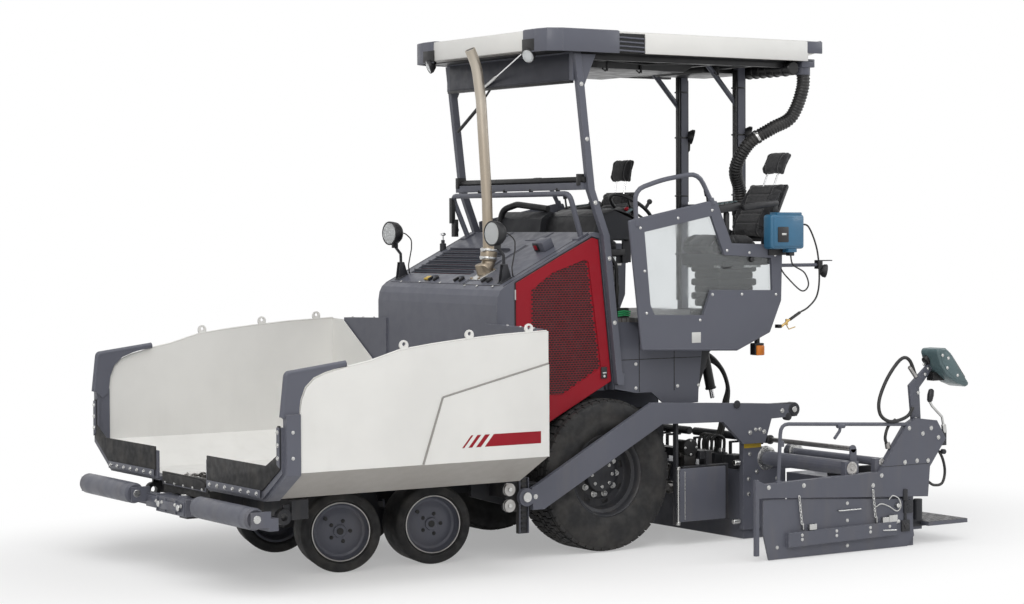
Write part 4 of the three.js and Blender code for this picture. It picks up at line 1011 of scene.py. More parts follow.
def side_door(which, side):
    """Rows of dark slots in the door's sunk field, the black seam round its edge and the catch."""
    face = 0.808 * side
    sunk = face - side * 0.006
    body = f"door_{which}"
    centre = ahead(0.303, sunk, 1.5775)
    slots = SLOT_ROWS.make(
        SLOT, Columns=24, Rows=60, Pitch=0.0262, Row_pitch=0.0158, Shift=0.0131, Size=(
            0.0222, 0.0118, 0.0022
        )
    )
    slots.transform(facing(centre, (0, side, 0)))

    def in_field(point):
        x, z = point.x - REAR_AXLE, point.z
        return any(a + 0.014 < x < b - 0.014 for a, b in crossings(GRILLE_FIELD, z))

    piece(f"door_slots_{which}", blocks_kept(slots, in_field), SLOT, body, smooth=0)
    rim = Shape()
    ring = [ahead(x, sunk + side * 0.0035, z) for x, z in GRILLE_FIELD]
    for a, b in zip(ring, ring[1:] + ring[:1]):
        rim.rod(a, b, 0.0035, 8)
    piece(f"door_field_edge_{which}", rim, RED, body)
    seal = Shape()
    edge = [ahead(x, face - side * 0.01, z) for x, z in DOOR_EDGE]
    for a, b in zip(edge, edge[1:] + edge[:1]):
        seal.rod(a, b, 0.0045, 8)
    piece(f"door_seal_{which}", seal, RUBBER, body)
    catch = Shape().block(ahead(-0.04, face, 1.21), ahead(0.012, face + side * 0.0105, 1.292))
    piece(f"door_catch_{which}", catch, PLASTIC, body, edge=0.004)
    lever = Shape().block(
        ahead(-0.03, face + side * 0.009, 1.245), ahead(0.002, face + side * 0.015, 1.255)
    )
    lever.rod(
        ahead(-0.014, face + side * 0.008, 1.226), ahead(-0.014, face + side * 0.014, 1.226), 0.01, 20,
        0.002
    )
    piece(f"door_key_{which}", lever, ZINC, body, edge=0.0015)
    hinges = Shape()
    for z in (1.03, 1.81):
        hinges.rod(
            ahead(0.7215, 0.803 * side, z - 0.035), ahead(0.7215, 0.803 * side, z + 0.035), 0.0065, 14,
            0.001
        )
    piece(f"door_hinges_{which}", hinges, STEEL, "chassis")


def grip(shape, x, y):
    """A black lift grip: two slanted feet and a bar between them."""
    for dy in (-0.034, 0.034):
        hood_block(shape, x, y + dy, (0.052, 0.016, 0.02), 0.004)
    hood_block(shape, x - 0.016, y, (0.014, 0.06, 0.012), 0.012)


def hood_details():
    """Seams, louvre lips, grips and the small fittings on the hood."""
    seams = Shape()
    for y, x0, x1 in ((0.262, 0.252, 0.8), (0.72, 0.1, 0.8)):
        hood_block(seams, (x0 + x1) / 2, y, ((x1 - x0) * 1.11, 0.005, 0.0016))
    hood_block(seams, 0.8, 0.491, (0.006, 0.463, 0.0018))
    for side in (LEFT, RIGHT):
        hood_block(seams, 0.44, side * 0.786, (0.82, 0.004, 0.0016))
    piece("hood_seams", seams, BLACK, "chassis", smooth=0)
    lips = Shape()
    for i in range(6):
        x = 0.25 + 0.075 + i * 0.062
        centre = on_hood(x - 0.001, -0.25 - 0.01, 0.007)
        half = Vector((0.0016, 0.405, 0.012))
        lips.block(centre - half, centre + half, HOOD_TURN, centre)
    piece("hood_louvre_lips", lips, GREY, "hood_lid_body", edge=0.001)
    lid_grips = Shape()
    grip(lid_grips, 0.752, -0.205)
    grip(lid_grips, 0.752, 0.14)
    piece("lid_grips", lid_grips, PLASTIC, "hood_lid_body", edge=0.004)
    grips = Shape()
    grip(grips, 0.752, 0.5)
    piece("hood_grips", grips, PLASTIC, "chassis", edge=0.004)
    tag = Shape()
    hood_block(tag, 0.745, -0.29, (0.046, 0.06, 0.014), 0.004)
    piece("lid_catch_tag", tag, YELLOW, "hood_lid_body", edge=0.004)
    screws = Shape()
    points = [on_hood(0.79, y, 0.004) for y in (-0.6, -0.34, -0.06)]
    bolts(screws, points, HOOD_UP, 0.007, 0.004)
    piece("lid_screws", screws, ZINC, "hood_lid_body")
    more = bolts(
        Shape(), [on_hood(0.825 - 0.012, y, 0.001) for y in (0.3, 0.46, 0.66)], HOOD_UP, 0.007, 0.004
    )
    sides = [ahead(0.79, 0.8 * s, z) for s in (LEFT, RIGHT) for z in (1.555, 1.595)]
    for p in sides:
        bolts(more, [p], (0, math.copysign(1, p.y), 0), 0.008, 0.005)
    piece("hood_screws", more, ZINC, "chassis")
    alarm = Shape()
    hood_block(alarm, 0.3, 0.545, (0.085, 0.13, 0.07), 0.0)
    piece("beeper_box", alarm, GREY, "chassis", edge=0.004)
    dark = Shape()
    hood_block(dark, 0.3435, 0.52, (0.004, 0.062, 0.054), 0.008)
    piece("beeper_face", dark, PLASTIC, "chassis", edge=0.001)
    red = Shape()
    hood_block(red, 0.3475, 0.52, (0.003, 0.036, 0.034), 0.018)
    piece("beeper_button", red, RED, "chassis", edge=0.001)
    valve = Shape()
    foot = on_hood(0.33, -0.765, 0.0)
    up = Vector((0, 0, 1))
    valve.rod(foot - up * 0.01, foot + up * 0.05, 0.024, 20, 0.004)
    valve.rod(foot + up * 0.05, foot + up * 0.075, 0.014, 16, 0.002)
    piece("cap_neck", valve, DARK, "chassis")
    cap = Shape().rod(foot + up * 0.07, foot + up * 0.108, 0.0065, 12)
    cap.rod(foot + up * 0.106, foot + up * 0.128, 0.022, 24, 0.006)
    piece("cap", cap, CHROME, "chassis")
    plate = Shape()
    hood_block(plate, 0.125, -0.3, (0.13, 0.2, 0.004))
    hood_block(plate, 0.125, 0.22, (0.13, 0.2, 0.004))
    piece("hood_patch_plates", plate, GREY, "chassis", edge=0.0015)


LAMP_GROWTH = 1.14


def hood_lamp(which, side):
    """A round work lamp: can, chrome bowl behind glass, wing bracket, gusseted foot and its lead."""
    body = "chassis" if which == "left" else "hood_lid_body"
    node = f"hood_lamp_{which}"
    centre = ahead(0.8, 0.69 * side, 2.23)
    out = Vector((0.98, 0.1, 0.0)).normalized()
    can = [(-0.052, 0), (-0.052, 0.034), (-0.04, 0.056), (-0.018, 0.07), (0.018, 0.0755), (0.04, 0.0765)]
    can += [(0.044, 0.0745), (0.044, 0.068), (0.036, 0.066), (0.036, 0.0)]
    can = [(u, r * LAMP_GROWTH) for u, r in can]
    shape = Shape().turned(can, centre, out, 48)
    for i in range(4):
        u = -0.034 + i * 0.01
        fin = [
            (u, 0.03), (u, 0.0735 - 0.004 * (3 - i)), (u + 0.003, 0.0735 - 0.004 * (3 - i)),
            (u + 0.003, 0.03), (u, 0.03)
        ]
        shape.turned(fin, centre, out, 40)
    shape.block(centre + Vector((-0.03, -0.012, -0.108)), centre + Vector((0.012, 0.012, -0.066)))
    piece(f"{node}_can", shape, PLASTIC, body, edge=0.002, smooth=40, replaces=(node,))
    bowl = [
        (0.037, 0.0655), (0.03, 0.05), (0.02, 0.03), (0.012, 0.014), (0.012, 0.0), (0.008, 0.0),
        (0.008, 0.016), (0.026, 0.052), (0.034, 0.0655)
    ]
    bowl = [(u, r * LAMP_GROWTH) for u, r in bowl]
    reflector = Shape().turned(bowl + [bowl[0]], centre, out, 48)
    reflector.turned([(0.012, 0.0), (0.012, 0.012), (0.03, 0.01), (0.032, 0.0)], centre, out, 16)
    piece(f"{node}_bowl", reflector, CHROME, body, smooth=40)
    lens = [(0.0375, 0.0), (0.0375, 0.0665), (0.041, 0.0665), (0.045, 0.045), (0.0465, 0.0)]
    lens = [(u, r * LAMP_GROWTH) for u, r in lens]
    piece(f"{node}_glass", Shape().turned(lens, centre, out, 48), LAMP_GLASS, body, smooth=60)
    foot = Shape()
    y = 0.69 * side
    seat = hood_top(0.735)
    top = Vector((0.735, 0, seat + 0.115))
    for dy in (-0.017, 0.02):
        outline = [
            (0.692, hood_top(0.692) + 0.002), (0.775, hood_top(0.775) + 0.002), (0.757, top.z),
            (0.722, top.z)
        ]
        points = [(REAR_AXLE + x, z) for x, z in outline]
        foot.plate(points, "y", y + side * dy - 0.002, y + side * dy + 0.002)
    foot.block(ahead(0.722, y - side * 0.017, top.z - 0.006), ahead(0.757, y + side * 0.02, top.z))
    hood_block(foot, 0.733, y, (0.095, 0.06, 0.005), 0.004 if side < 0 else 0.0)
    foot.tube(
        [
            ahead(0.74, y, top.z - 0.004), ahead(0.742, y, top.z + 0.06),
            centre + Vector((-0.009, 0, -0.095))
        ],
        0.011, 12
    )
    piece(f"{node}_foot", foot, DARK, body, edge=0.0015)
    lead = Shape()
    back = centre - out * 0.05
    reach = [back, back + Vector((-0.04, 0.01, 0.002)), back + Vector((-0.085, 0.035, -0.045))]
    reach += [
        back + Vector((-0.08, 0.04, -0.115)), ahead(0.7, y + 0.04, seat + 0.09),
        ahead(0.69, y + 0.035, seat + 0.04)
    ]
    reach += [on_hood(0.68, y + 0.028, 0.005)]
    lead.tube(reach, 0.0045, 8, 0.06)
    piece(f"{node}_lead", lead, HOSE, body)


EXHAUST_PATH = [
    (0.617, 2.07), (0.616, 2.182), (0.623, 2.463), (0.669, 3.162), (0.705, 3.4), (0.758, 3.508)
]


def exhaust():
    """The stainless stack: a slash-cut curved tip, a seamed tube, a clamped cup and its bolted foot."""
    y = 0.3
    line = eased([ahead(x, y, z) for x, z in EXHAUST_PATH], 0.35)
    pipe = Shape().tube(line, 0.0372, 32)
    lip = Shape().turned(
        [
            (-0.006, 0.0372), (0.0, 0.0385), (0.004, 0.0375), (0.004, 0.033), (-0.006, 0.033),
            (-0.006, 0.0372)
        ],
        line[-1], line[-1] - line[-2], 32
    )
    piece("exhaust_tube", pipe, EXHAUST, "chassis", replaces=("exhaust_pipe",))
    piece("exhaust_lip", lip, EXHAUST, "chassis")
    # A black disc just inside the tip is painted shade, standing for the dark hollow of the open pipe.
    mouth = Shape().turned(
        [(0.0005, 0.0), (0.0005, 0.0335), (0.0012, 0.0335), (0.0012, 0.0)], line[-1], line[-1] - line[-2],
        32
    )
    piece("exhaust_mouth_shade", mouth, BLACK, "chassis")
    low = ahead(0.604, y, hood_top(0.6) + 0.03)
    elbow = Shape().tube(
        [
            low + Vector((0.075, 0.035, -0.035)), low + Vector((0.03, 0.01, -0.005)),
            low + Vector((0.0, 0, 0.045)), ahead(0.616, y, 2.135)
        ],
        0.047, 32, 0.07
    )
    cup = [
        (-0.052, 0.046), (-0.05, 0.058), (0.014, 0.06), (0.022, 0.052), (0.034, 0.052), (0.036, 0.042),
        (-0.052, 0.042), (-0.052, 0.046)
    ]
    axis = Vector((-0.12, 0, 1)).normalized()
    middle_of = ahead(0.61, y, 2.085)
    elbow.turned(cup, middle_of, axis, 40)
    piece("exhaust_elbow", elbow, EXHAUST, "chassis", edge=0.002)
    clamp = Shape()
    for u in (-0.03, 0.026):
        band = [
            (u - 0.008, 0.0595), (u - 0.008, 0.0635), (u + 0.008, 0.0635), (u + 0.008, 0.0595),
            (u - 0.008, 0.0595)
        ]
        clamp.turned(band, middle_of, axis, 40)
        ear = middle_of + axis * u + Vector((0.064, 0.022, 0))
        clamp.block(ear - Vector((0.012, 0.01, 0.009)), ear + Vector((0.014, 0.01, 0.009)))
        clamp.rod(ear + Vector((0.004, -0.024, 0)), ear + Vector((0.004, 0.024, 0)), 0.005, 10)
    hood_block(clamp, 0.668, y + 0.015, (0.165, 0.13, 0.008), 0.0)
    piece("exhaust_clamp", clamp, ZINC, "chassis", edge=0.0015)
    stubs = bolts(
        Shape(),
        [on_hood(0.668 + dx, y + 0.015 + dy, 0.008) for dx in (-0.062, 0.062) for dy in (-0.048, 0.048)],
        HOOD_UP, 0.009, 0.009
    )
    stubs.rod(on_hood(0.655, y, 0.002), on_hood(0.645, y, 0.075), 0.044, 28, 0.004)
    piece("exhaust_foot", stubs, EXHAUST, "chassis")


def hood():
    for which, side in SIDES.items():
        side_door(which, side)
        hood_lamp(which, side)
    hood_details()
    exhaust()


# ---------------------------------------------------------------- hopper and push rollers

WING_OUT = 1.447
STEP_OUT = WING_OUT + 0.012
STRIPE_LOW, STRIPE_HIGH = 0.857, 0.936


def stripe(shape, side, rear_low, rear_high, front_low, front_high):
    """A red band on the wing, drawn by the x of its four corners."""
    outline = from_axle([
        (rear_low, STRIPE_LOW), (front_low, STRIPE_LOW), (front_high, STRIPE_HIGH),
        (rear_high, STRIPE_HIGH)
    ])
    out = STEP_OUT
    return shape.plate(outline, "y", side * (out - 0.004), side * (out + 0.0008))


def wing_details(which, side):
    """The stripes, the step's shadow gap, the rolled edges and the fastenings of one wing."""
    there = beside(side)
    body = f"wing_{which}"
    red = Shape()
    stripe(red, side, 0.957, 0.957, 1.395, 1.325)
    stripe(red, side, 1.425, 1.355, 1.462, 1.392)
    stripe(red, side, 1.492, 1.422, 1.52, 1.45)
    stripe(red, side, 1.552, 1.482, 1.568, 1.498)
    piece(f"wing_stripes_{which}", red, RED, body, smooth=0)
    gap = Shape()
    out = STEP_OUT
    for a, b in (((0.892, 1.3745), (1.704, 1.1875)), ((1.704, 1.1875), (1.852, 0.767))):
        start, end = there(a[0], out - 0.01, a[1]), there(b[0], out - 0.01, b[1])
        gap.rod(start, end, 0.0085, 8)
    piece(f"wing_step_gap_{which}", gap, SHADOW_GAP, body)
    rolled = Shape()
    tops = [
        (0.9, 1.591), (1.266, 1.575), (1.572, 1.552), (1.775, 1.532), (2.02, 1.502), (2.238, 1.44),
        (2.4, 1.41)
    ]
    rolled.tube([there(x, WING_OUT - 0.005, z) for x, z in tops], 0.0065, 10)
    rolled.tube([there(0.892, WING_OUT - 0.004, z) for z in (0.77, 1.2, 1.588)], 0.0065, 10)
    piece(f"wing_rolled_edge_{which}", rolled, WHITE, body)
    edge = Shape()
    cheek = [(2.403, 1.428), (2.817, 1.376), (2.847, 1.112)]
    edge.tube([there(x, WING_OUT - 0.02, z + 0.001) for x, z in cheek], 0.021, 12, 0.02)
    piece(f"wing_cheek_edge_{which}", edge, GREY, body)
    front = ahead(2.85).x
    rubber_sheet = Shape()
    y = [side * v for v in (0.395, 1.168, 1.405, 1.405, 1.378, 1.378, 1.22, 0.395)]
    z = [0.64, 0.64, 0.79, 1.06, 1.06, 0.88, 0.8, 0.8]
    rubber_sheet.plate(list(zip(y, z)), "x", front - 0.003, front + 0.01)
    piece(f"wing_flap_{which}", rubber_sheet, RUBBER, body, edge=0.003)
    clamp = Shape().plate(
        [(side * 0.405, 0.592), (side * 1.15, 0.592), (side * 1.15, 0.642), (side * 0.405, 0.642)], "x",
        front + 0.009, front + 0.016
    )
    clamp.plate(
        [(side * 1.376, 0.82), (side * 1.412, 0.8), (side * 1.412, 1.05), (side * 1.376, 1.05)], "x",
        front + 0.009, front + 0.015
    )
    piece(f"wing_flap_clamp_{which}", clamp, GREY, body, edge=0.0015)
    nuts = Shape()
    spots = [(front + 0.016, side * (0.45 + i * 0.11), 0.617) for i in range(7)]
    spots += [(front + 0.015, side * 1.394, 0.86 + i * 0.08) for i in range(3)]
    bolts(nuts, spots, (1, 0, 0), 0.01, 0.009)
    outer = [there(x, WING_OUT + 0.0125, z) for x, z in ((2.792, 0.86), (2.792, 1.02))]
    bolts(nuts, outer, (0, side, 0), 0.008, 0.006)
    piece(f"wing_flap_bolts_{which}", nuts, ZINC, body)
    ram = Shape().rod(there(1.72, 0.56, 0.545), there(2.16, 0.56, 0.545), 0.026, 20, 0.003)
    ram.rod(there(1.66, 0.56, 0.545), there(1.73, 0.56, 0.545), 0.032, 20, 0.003)
    piece(f"wing_flap_spring_rod_{which}", ram, BLACK, body)


def hopper_back():
    """Bolts on the flanges behind the wings, and the small fittings in front of the hood."""
    heads = Shape()
    for side in (LEFT, RIGHT):
        for y in (0.74, 0.9, 1.06, 1.22):
            z = 1.613 - (y - 0.67) * 0.0241
            bolts(heads, [ahead(0.85, side * y, z)], (0, 0, 1), 0.008, 0.006)
    piece("hopper_back_bolts", heads, ZINC, "chassis")
    post = Shape().rod(ahead(0.905, 0.64, 1.1), ahead(0.905, 0.64, 1.43), 0.014, 14, 0.003)
    piece("hopper_stay_post", post, DARK, "chassis")
    flat = Shape()
    for i in range(15):
        x = 0.99 + i * 0.115
        flat.block(ahead(x, -0.345, 0.572), ahead(x + 0.03, 0.345, 0.59))
    piece("conveyor_bars", flat, TARRED, "chassis", edge=0.003)
    chains = Shape()
    links = LINK_CHAIN.make(TARRED, Count=58, Pitch=0.03, Wire=0.006)
    for y in (-0.365, 0.365):
        chains.taken(
            links, Matrix.Translation(ahead(0.965, y, 0.588)) @ Matrix.Rotation(-math.pi / 2, 4, "Y")
        )
    bpy.data.meshes.remove(links)
    piece("conveyor_chains", chains, TARRED, "chassis")
    front = ahead(2.8335).x
    sheet = Shape().plate(
        [(-0.315, 0.56), (0.315, 0.56), (0.315, 0.604), (0.24, 0.624), (-0.24, 0.624), (-0.315, 0.604)],
        "x", front - 0.006, front + 0.003
    )
    piece("centre_rubber", sheet, RUBBER, "chassis", edge=0.002)
    _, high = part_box("centre_flap")
    bar = Shape().block((high.x - 0.001, -0.325, 0.552), (high.x + 0.006, 0.325, 0.582))
    piece("centre_flap_bar", bar, GREY, "chassis", edge=0.0015)
    nuts = bolts(
        Shape(), [(high.x + 0.006, y, 0.567) for y in (-0.28, -0.14, 0, 0.14, 0.28)], (1, 0, 0), 0.009,
        0.008
    )
    piece("centre_flap_bolts", nuts, ZINC, "chassis")


def push_rollers():
    """Roller tubes with capped ends, and the beam's casting, webs and pins."""
    for which, side in SIDES.items():
        node = f"push_roller_{which}"
        low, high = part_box(node)
        radius = (high.z - low.z) / 2
        centre = middle(node)
        inner, outer = 0.488, 1.283
        length = outer - inner
        profile = [
            (0, 0), (0, radius - 0.012), (0.01, radius - 0.002), (0.014, radius - 0.004), (0.018, radius)
        ]
        profile += [
            (length * 0.5, radius - 0.0008), (length - 0.018, radius), (length - 0.014, radius - 0.004)
        ]
        profile += [
            (length - 0.01, radius - 0.002), (length, radius - 0.012), (length - 0.006, radius - 0.02)
        ]
        profile += [(length - 0.006, 0.034), (length + 0.004, 0.032), (length + 0.004, 0)]
        shape = Shape().turned(profile, (centre.x, inner * side, centre.z), (0, side, 0), 56)
        shape.rod(
            (centre.x, 0.462 * side, centre.z), (centre.x, 1.303 * side, centre.z), 0.0178, 20, 0.002
        )
        piece(f"{node}_tube", shape, GREY, f"{node}_body", smooth=40, replaces=(node,))
        worn = [
            (0.09, radius + 0.0002), (0.09, radius + 0.0006), (length - 0.09, radius + 0.0006),
            (length - 0.09, radius + 0.0002)
        ]
        band = Shape().turned(worn + [worn[0]], (centre.x, inner * side, centre.z), (0, side, 0), 56)
        piece(f"{node}_band", band, GREY, f"{node}_body", smooth=40)
    beam = Shape()
    pivot = 2.8
    beam.rod(ahead(pivot + 0.02, 0, 0.378), ahead(pivot + 0.02, 0, 0.5), 0.052, 28, 0.006)
    for y in (-0.205, -0.08, 0.08, 0.205):
        beam.block(ahead(2.885, y - 0.007, 0.392), ahead(2.94, y + 0.007, 0.484))
    beam.block(ahead(2.92, -0.15, 0.41), ahead(2.948, 0.15, 0.466))
    for side in (LEFT, RIGHT):
        outline = from_axle([(2.815, 0.47), (2.93, 0.49), (2.93, 0.5), (2.815, 0.5)])
        beam.plate(outline, "y", side * 0.215, side * 0.231)
        beam.block(ahead(2.862, side * 0.47, 0.392), ahead(2.894, side * 0.3, 0.47))
    piece("push_beam_casting", beam, GREY, "push_beam_body", edge=0.004)
    pins = Shape()
    for y in (-0.15, 0.15):
        pins.rod(ahead(2.946, y, 0.44), ahead(2.956, y, 0.44), 0.021, 20, 0.003)
    pins.rod(ahead(pivot + 0.02, 0, 0.498), ahead(pivot + 0.02, 0, 0.51), 0.032, 24, 0.003)
    for side in (LEFT, RIGHT):
        for y in (0.4605, 1.3055):
            pins.rod(
                ahead(2.963, side * (y - 0.004), 0.48), ahead(2.963, side * (y + 0.004), 0.48), 0.026, 20,
                0.002
            )
        bolts(pins, [ahead(2.9475, side * y, 0.425 + 0.03) for y in (0.1, 0.19)], (1, 0, 0), 0.009, 0.008)
    piece("push_beam_pins", pins, ZINC, "push_beam_body")


def tow_guide_details(which, side):
    """The ladder slots, edge lips, pulleys and hubs of one tow-point guide."""
    there = beside(side)
    y = side * 0.928
    # The ladder slots are black blocks on the rail: painted shade standing for the openings.
    rail = Shape()
    for z in [0.215 + i * 0.036 for i in range(10)]:
        rail.block(ahead(0.724, y, z), ahead(0.762, y + side * 0.0045, z + 0.018))
    piece(f"guide_slot_shade_{which}", rail, BLACK, "chassis", smooth=0)
    lips = Shape()
    for x in (0.706, 0.776):
        lips.block(ahead(x, y - side * 0.002, 0.192), ahead(x + 0.006, y + side * 0.012, 0.57))
    piece(f"guide_lips_{which}", lips, GREY, "chassis", edge=0.0015)
    wheels_of = Shape()
    for z in (0.387, 0.496):
        groove = [
            (0.0, 0), (0.0, 0.043), (0.006, 0.0445), (0.013, 0.036), (0.02, 0.0445), (0.026, 0.043),
            (0.026, 0)
        ]
        wheels_of.turned(groove, there(0.86, 0.914, z), (0, side, 0), 36)
    piece(f"guide_pulleys_{which}", wheels_of, STEEL, "chassis", smooth=35)
    hubs = Shape()
    for z in (0.387, 0.496):
        hubs.rod(there(0.86, 0.935, z), there(0.86, 0.948, z), 0.015, 18, 0.002)
    hubs.rod(there(0.74, 0.972, 0.44), there(0.74, 0.978, 0.44), 0.034, 28, 0.002)
    piece(f"guide_hubs_{which}", hubs, ZINC, "chassis")


def front_end():
    for which, side in SIDES.items():
        wing_details(which, side)
        tow_guide_details(which, side)
    hopper_back()
    push_rollers()


# ---------------------------------------------------------------- canopy

ROOF_LOW, ROOF_HIGH = 3.49, 3.63
ROOF_SIDE = 0.9
NOSE_END, LOUVRE_END, BAND_END = -0.08, -0.316, -1.79


def roof_outline(front, rear, out):
    """Half of the roof's plan, from its front middle round the cut corner to the rear, on the left."""
    points = [(front, 0.0), (front, out - 0.15), (front - 0.02, out - 0.05), (front - 0.11, out)]
    return [p for p in points if p[0] > rear] + [(rear, out)]


def skin(shape, line, z_low, z_high, thickness, side, lip=0.0):
    """A sheet that stands on a plan line between two heights, with its top edge turned in by lip."""
    for (x1, y1), (x2, y2) in zip(line, line[1:]):
        a, b = ahead(x1, side * y1), ahead(x2, side * y2)
        run = (b - a).normalized()
        out = Vector((run.y, -run.x, 0)) * (-side)
        out = out if out.y * side > 0 or out.x > 0.5 else -out
        over = run * (thickness * 0.5)
        corners = [a - over, b + over, b + over + out * thickness, a - over + out * thickness]
        shape.plate([(p.x, p.y) for p in corners], "z", z_low, z_high)
        if lip:
            inner = [a - over, b + over, b + over - out * lip, a - over - out * lip]
            shape.plate([(p.x, p.y) for p in inner], "z", z_high - 0.002, z_high + 0.004)
    return shape


def canopy():
    """The roof's grey corner mouldings, louvres, white bands and tail, and the dark frame beneath it."""
    corners, bands, tail, slats, pit = Shape(), Shape(), Shape(), Shape(), Shape()
    for side in (LEFT, RIGHT):
        line = [(0.5, ROOF_SIDE - 0.3)] + roof_outline(0.5, NOSE_END, ROOF_SIDE)[1:]
        skin(corners, line, ROOF_LOW - 0.012, ROOF_HIGH + 0.004, 0.012, side, lip=0.1)
        skin(
            bands, [(LOUVRE_END, ROOF_SIDE), (BAND_END, ROOF_SIDE)], ROOF_LOW - 0.01, ROOF_HIGH - 0.006,
            0.012, side, lip=0.03
        )
        skin(
            tail, [(BAND_END - 0.004, ROOF_SIDE), (-1.925, ROOF_SIDE)], ROOF_LOW + 0.05,
            ROOF_HIGH - 0.004, 0.013, side, lip=0.05
        )
        # A thin black sheet set back behind the louvre slats is painted shade, standing for the hollow behind
        # them.
        skin(
            pit, [(NOSE_END, ROOF_SIDE), (LOUVRE_END, ROOF_SIDE)], ROOF_LOW - 0.002, ROOF_HIGH - 0.012,
            0.002, side
        )
        for i in range(4):
            z = ROOF_LOW + 0.01 + i * 0.03
            slats.tube(
                [
                    ahead(NOSE_END - 0.004, side * (ROOF_SIDE + 0.006), z),
                    ahead(LOUVRE_END + 0.01, side * (ROOF_SIDE + 0.006), z - 0.006)
                ],
                0.006, 8
            )
    piece("roof_corners", corners, GREY, "chassis", edge=0.006)
    piece("roof_bands", bands, WHITE, "chassis", edge=0.004)
    back = Shape().block(ahead(-1.935, -0.9, 3.56), ahead(-1.915, 0.9, 3.634))
    piece("roof_tail", tail, GREY, "chassis", edge=0.004)
    piece("roof_tail_back", back, GREY, "chassis", edge=0.004)
    piece("roof_louvre_shade_sheet", pit, BLACK, "chassis", smooth=0)
    piece("roof_louvres", slats, GREY, "chassis")
    nose = Shape().plate(
        [(-0.6, 3.492), (0.6, 3.492), (0.6, 3.626), (-0.6, 3.626)], "x", ahead(0.497).x, ahead(0.506).x
    )
    piece("roof_nose", nose, WHITE, "chassis", edge=0.003)
    top = Shape()
    for y in (-0.6, -0.3, 0.0, 0.3, 0.6):
        top.block(ahead(-1.7, y - 0.035, ROOF_HIGH - 0.002), ahead(0.36, y + 0.035, ROOF_HIGH + 0.006))
    piece("roof_ribs", top, WHITE, "chassis", edge=0.004)
    under = Shape().block(ahead(-1.88, -0.87, ROOF_LOW - 0.008), ahead(0.4, 0.87, ROOF_LOW + 0.001))
    for y in (-0.78, 0.78):
        under.block(ahead(-1.8, y - 0.025, ROOF_LOW - 0.055), ahead(0.16, y + 0.025, ROOF_LOW - 0.004))
    for x in (-0.15, -0.62, -1.1, -1.45):
        under.block(ahead(x - 0.025, -0.78, ROOF_LOW - 0.048), ahead(x + 0.025, 0.78, ROOF_LOW - 0.004))
    under.plate(
        from_axle([
            (0.05, ROOF_LOW - 0.01), (-0.02, ROOF_LOW - 0.085), (-0.95, ROOF_LOW - 0.095),
            (-1.1, ROOF_LOW - 0.01)
        ]),
        "y", -0.52, 0.52
    )
    under.block(ahead(-1.3, -0.3, ROOF_LOW - 0.075), ahead(-1.78, 0.3, ROOF_LOW - 0.006))
    piece("roof_underframe", under, BLACK, "chassis", edge=0.004)
    bits = Shape()
    for x, y in ((-0.55, 0.53), (-1.2, 0.6), (-0.2, 0.6)):
        bits.rod(ahead(x, y, 3.47), ahead(x, y, 3.375), 0.009, 10, 0.002)
        bits.tube(
            [ahead(x, y, 3.383), ahead(x + 0.03, y + 0.02, 3.375), ahead(x + 0.06, y + 0.03, 3.39)],
            0.006, 8
        )
    bits.tube(
        [
            ahead(-0.05, 0.66, 3.455), ahead(-0.45, 0.7, 3.425), ahead(-0.95, 0.66, 3.45),
            ahead(-1.4, 0.66, 3.44)
        ],
        0.007, 8
    )
    piece("roof_latches_and_loom", bits, BLACK, "chassis")
    housing = Shape().rod(ahead(-1.7, 0.3, 3.43), ahead(-1.7, 0.86, 3.43), 0.052, 28, 0.008)
    for y in (0.34, 0.42, 0.5, 0.58, 0.66, 0.76):
        housing.rod(ahead(-1.7, y, 3.43), ahead(-1.7, y + 0.014, 3.43), 0.058, 28, 0.003)
    piece("extractor_fan", housing, BLACK, "chassis")
    adapter = Shape().block(ahead(-1.895, 0.735, 3.44), ahead(-1.775, 0.868, 3.5))
    adapter.rod(ahead(-1.835, 0.8, 3.385), ahead(-1.835, 0.8, 3.47), 0.0565, 32, 0.004)
    piece("duct_adapter", adapter, GREY, "chassis", edge=0.004)
    roof_lamps()


def oval_lamp(name, centre, out, radius, body, dark=PLASTIC):
    """A small work lamp with a ribbed glass."""
    can = [
        (-0.04, 0), (-0.04, radius * 0.5), (-0.01, radius * 0.95), (0.01, radius), (0.014, radius * 0.94),
        (0.006, radius * 0.9), (0.006, 0)
    ]
    piece(f"{name}_can", Shape().turned(can, centre, out, 36), dark, body, smooth=40)
    bowl = [(0.0065, 0), (0.0065, radius * 0.88), (0.0075, radius * 0.88), (0.0075, 0)]
    piece(f"{name}_bowl", Shape().turned(bowl, centre, out, 36), CHROME, body, smooth=40)
    lens = [
        (0.009, 0.0), (0.009, radius * 0.9), (0.013, radius * 0.86), (0.017, radius * 0.4), (0.018, 0.0)
    ]
    piece(f"{name}_glass", Shape().turned(lens, centre, out, 36), LAMP_GLASS, body, smooth=60)


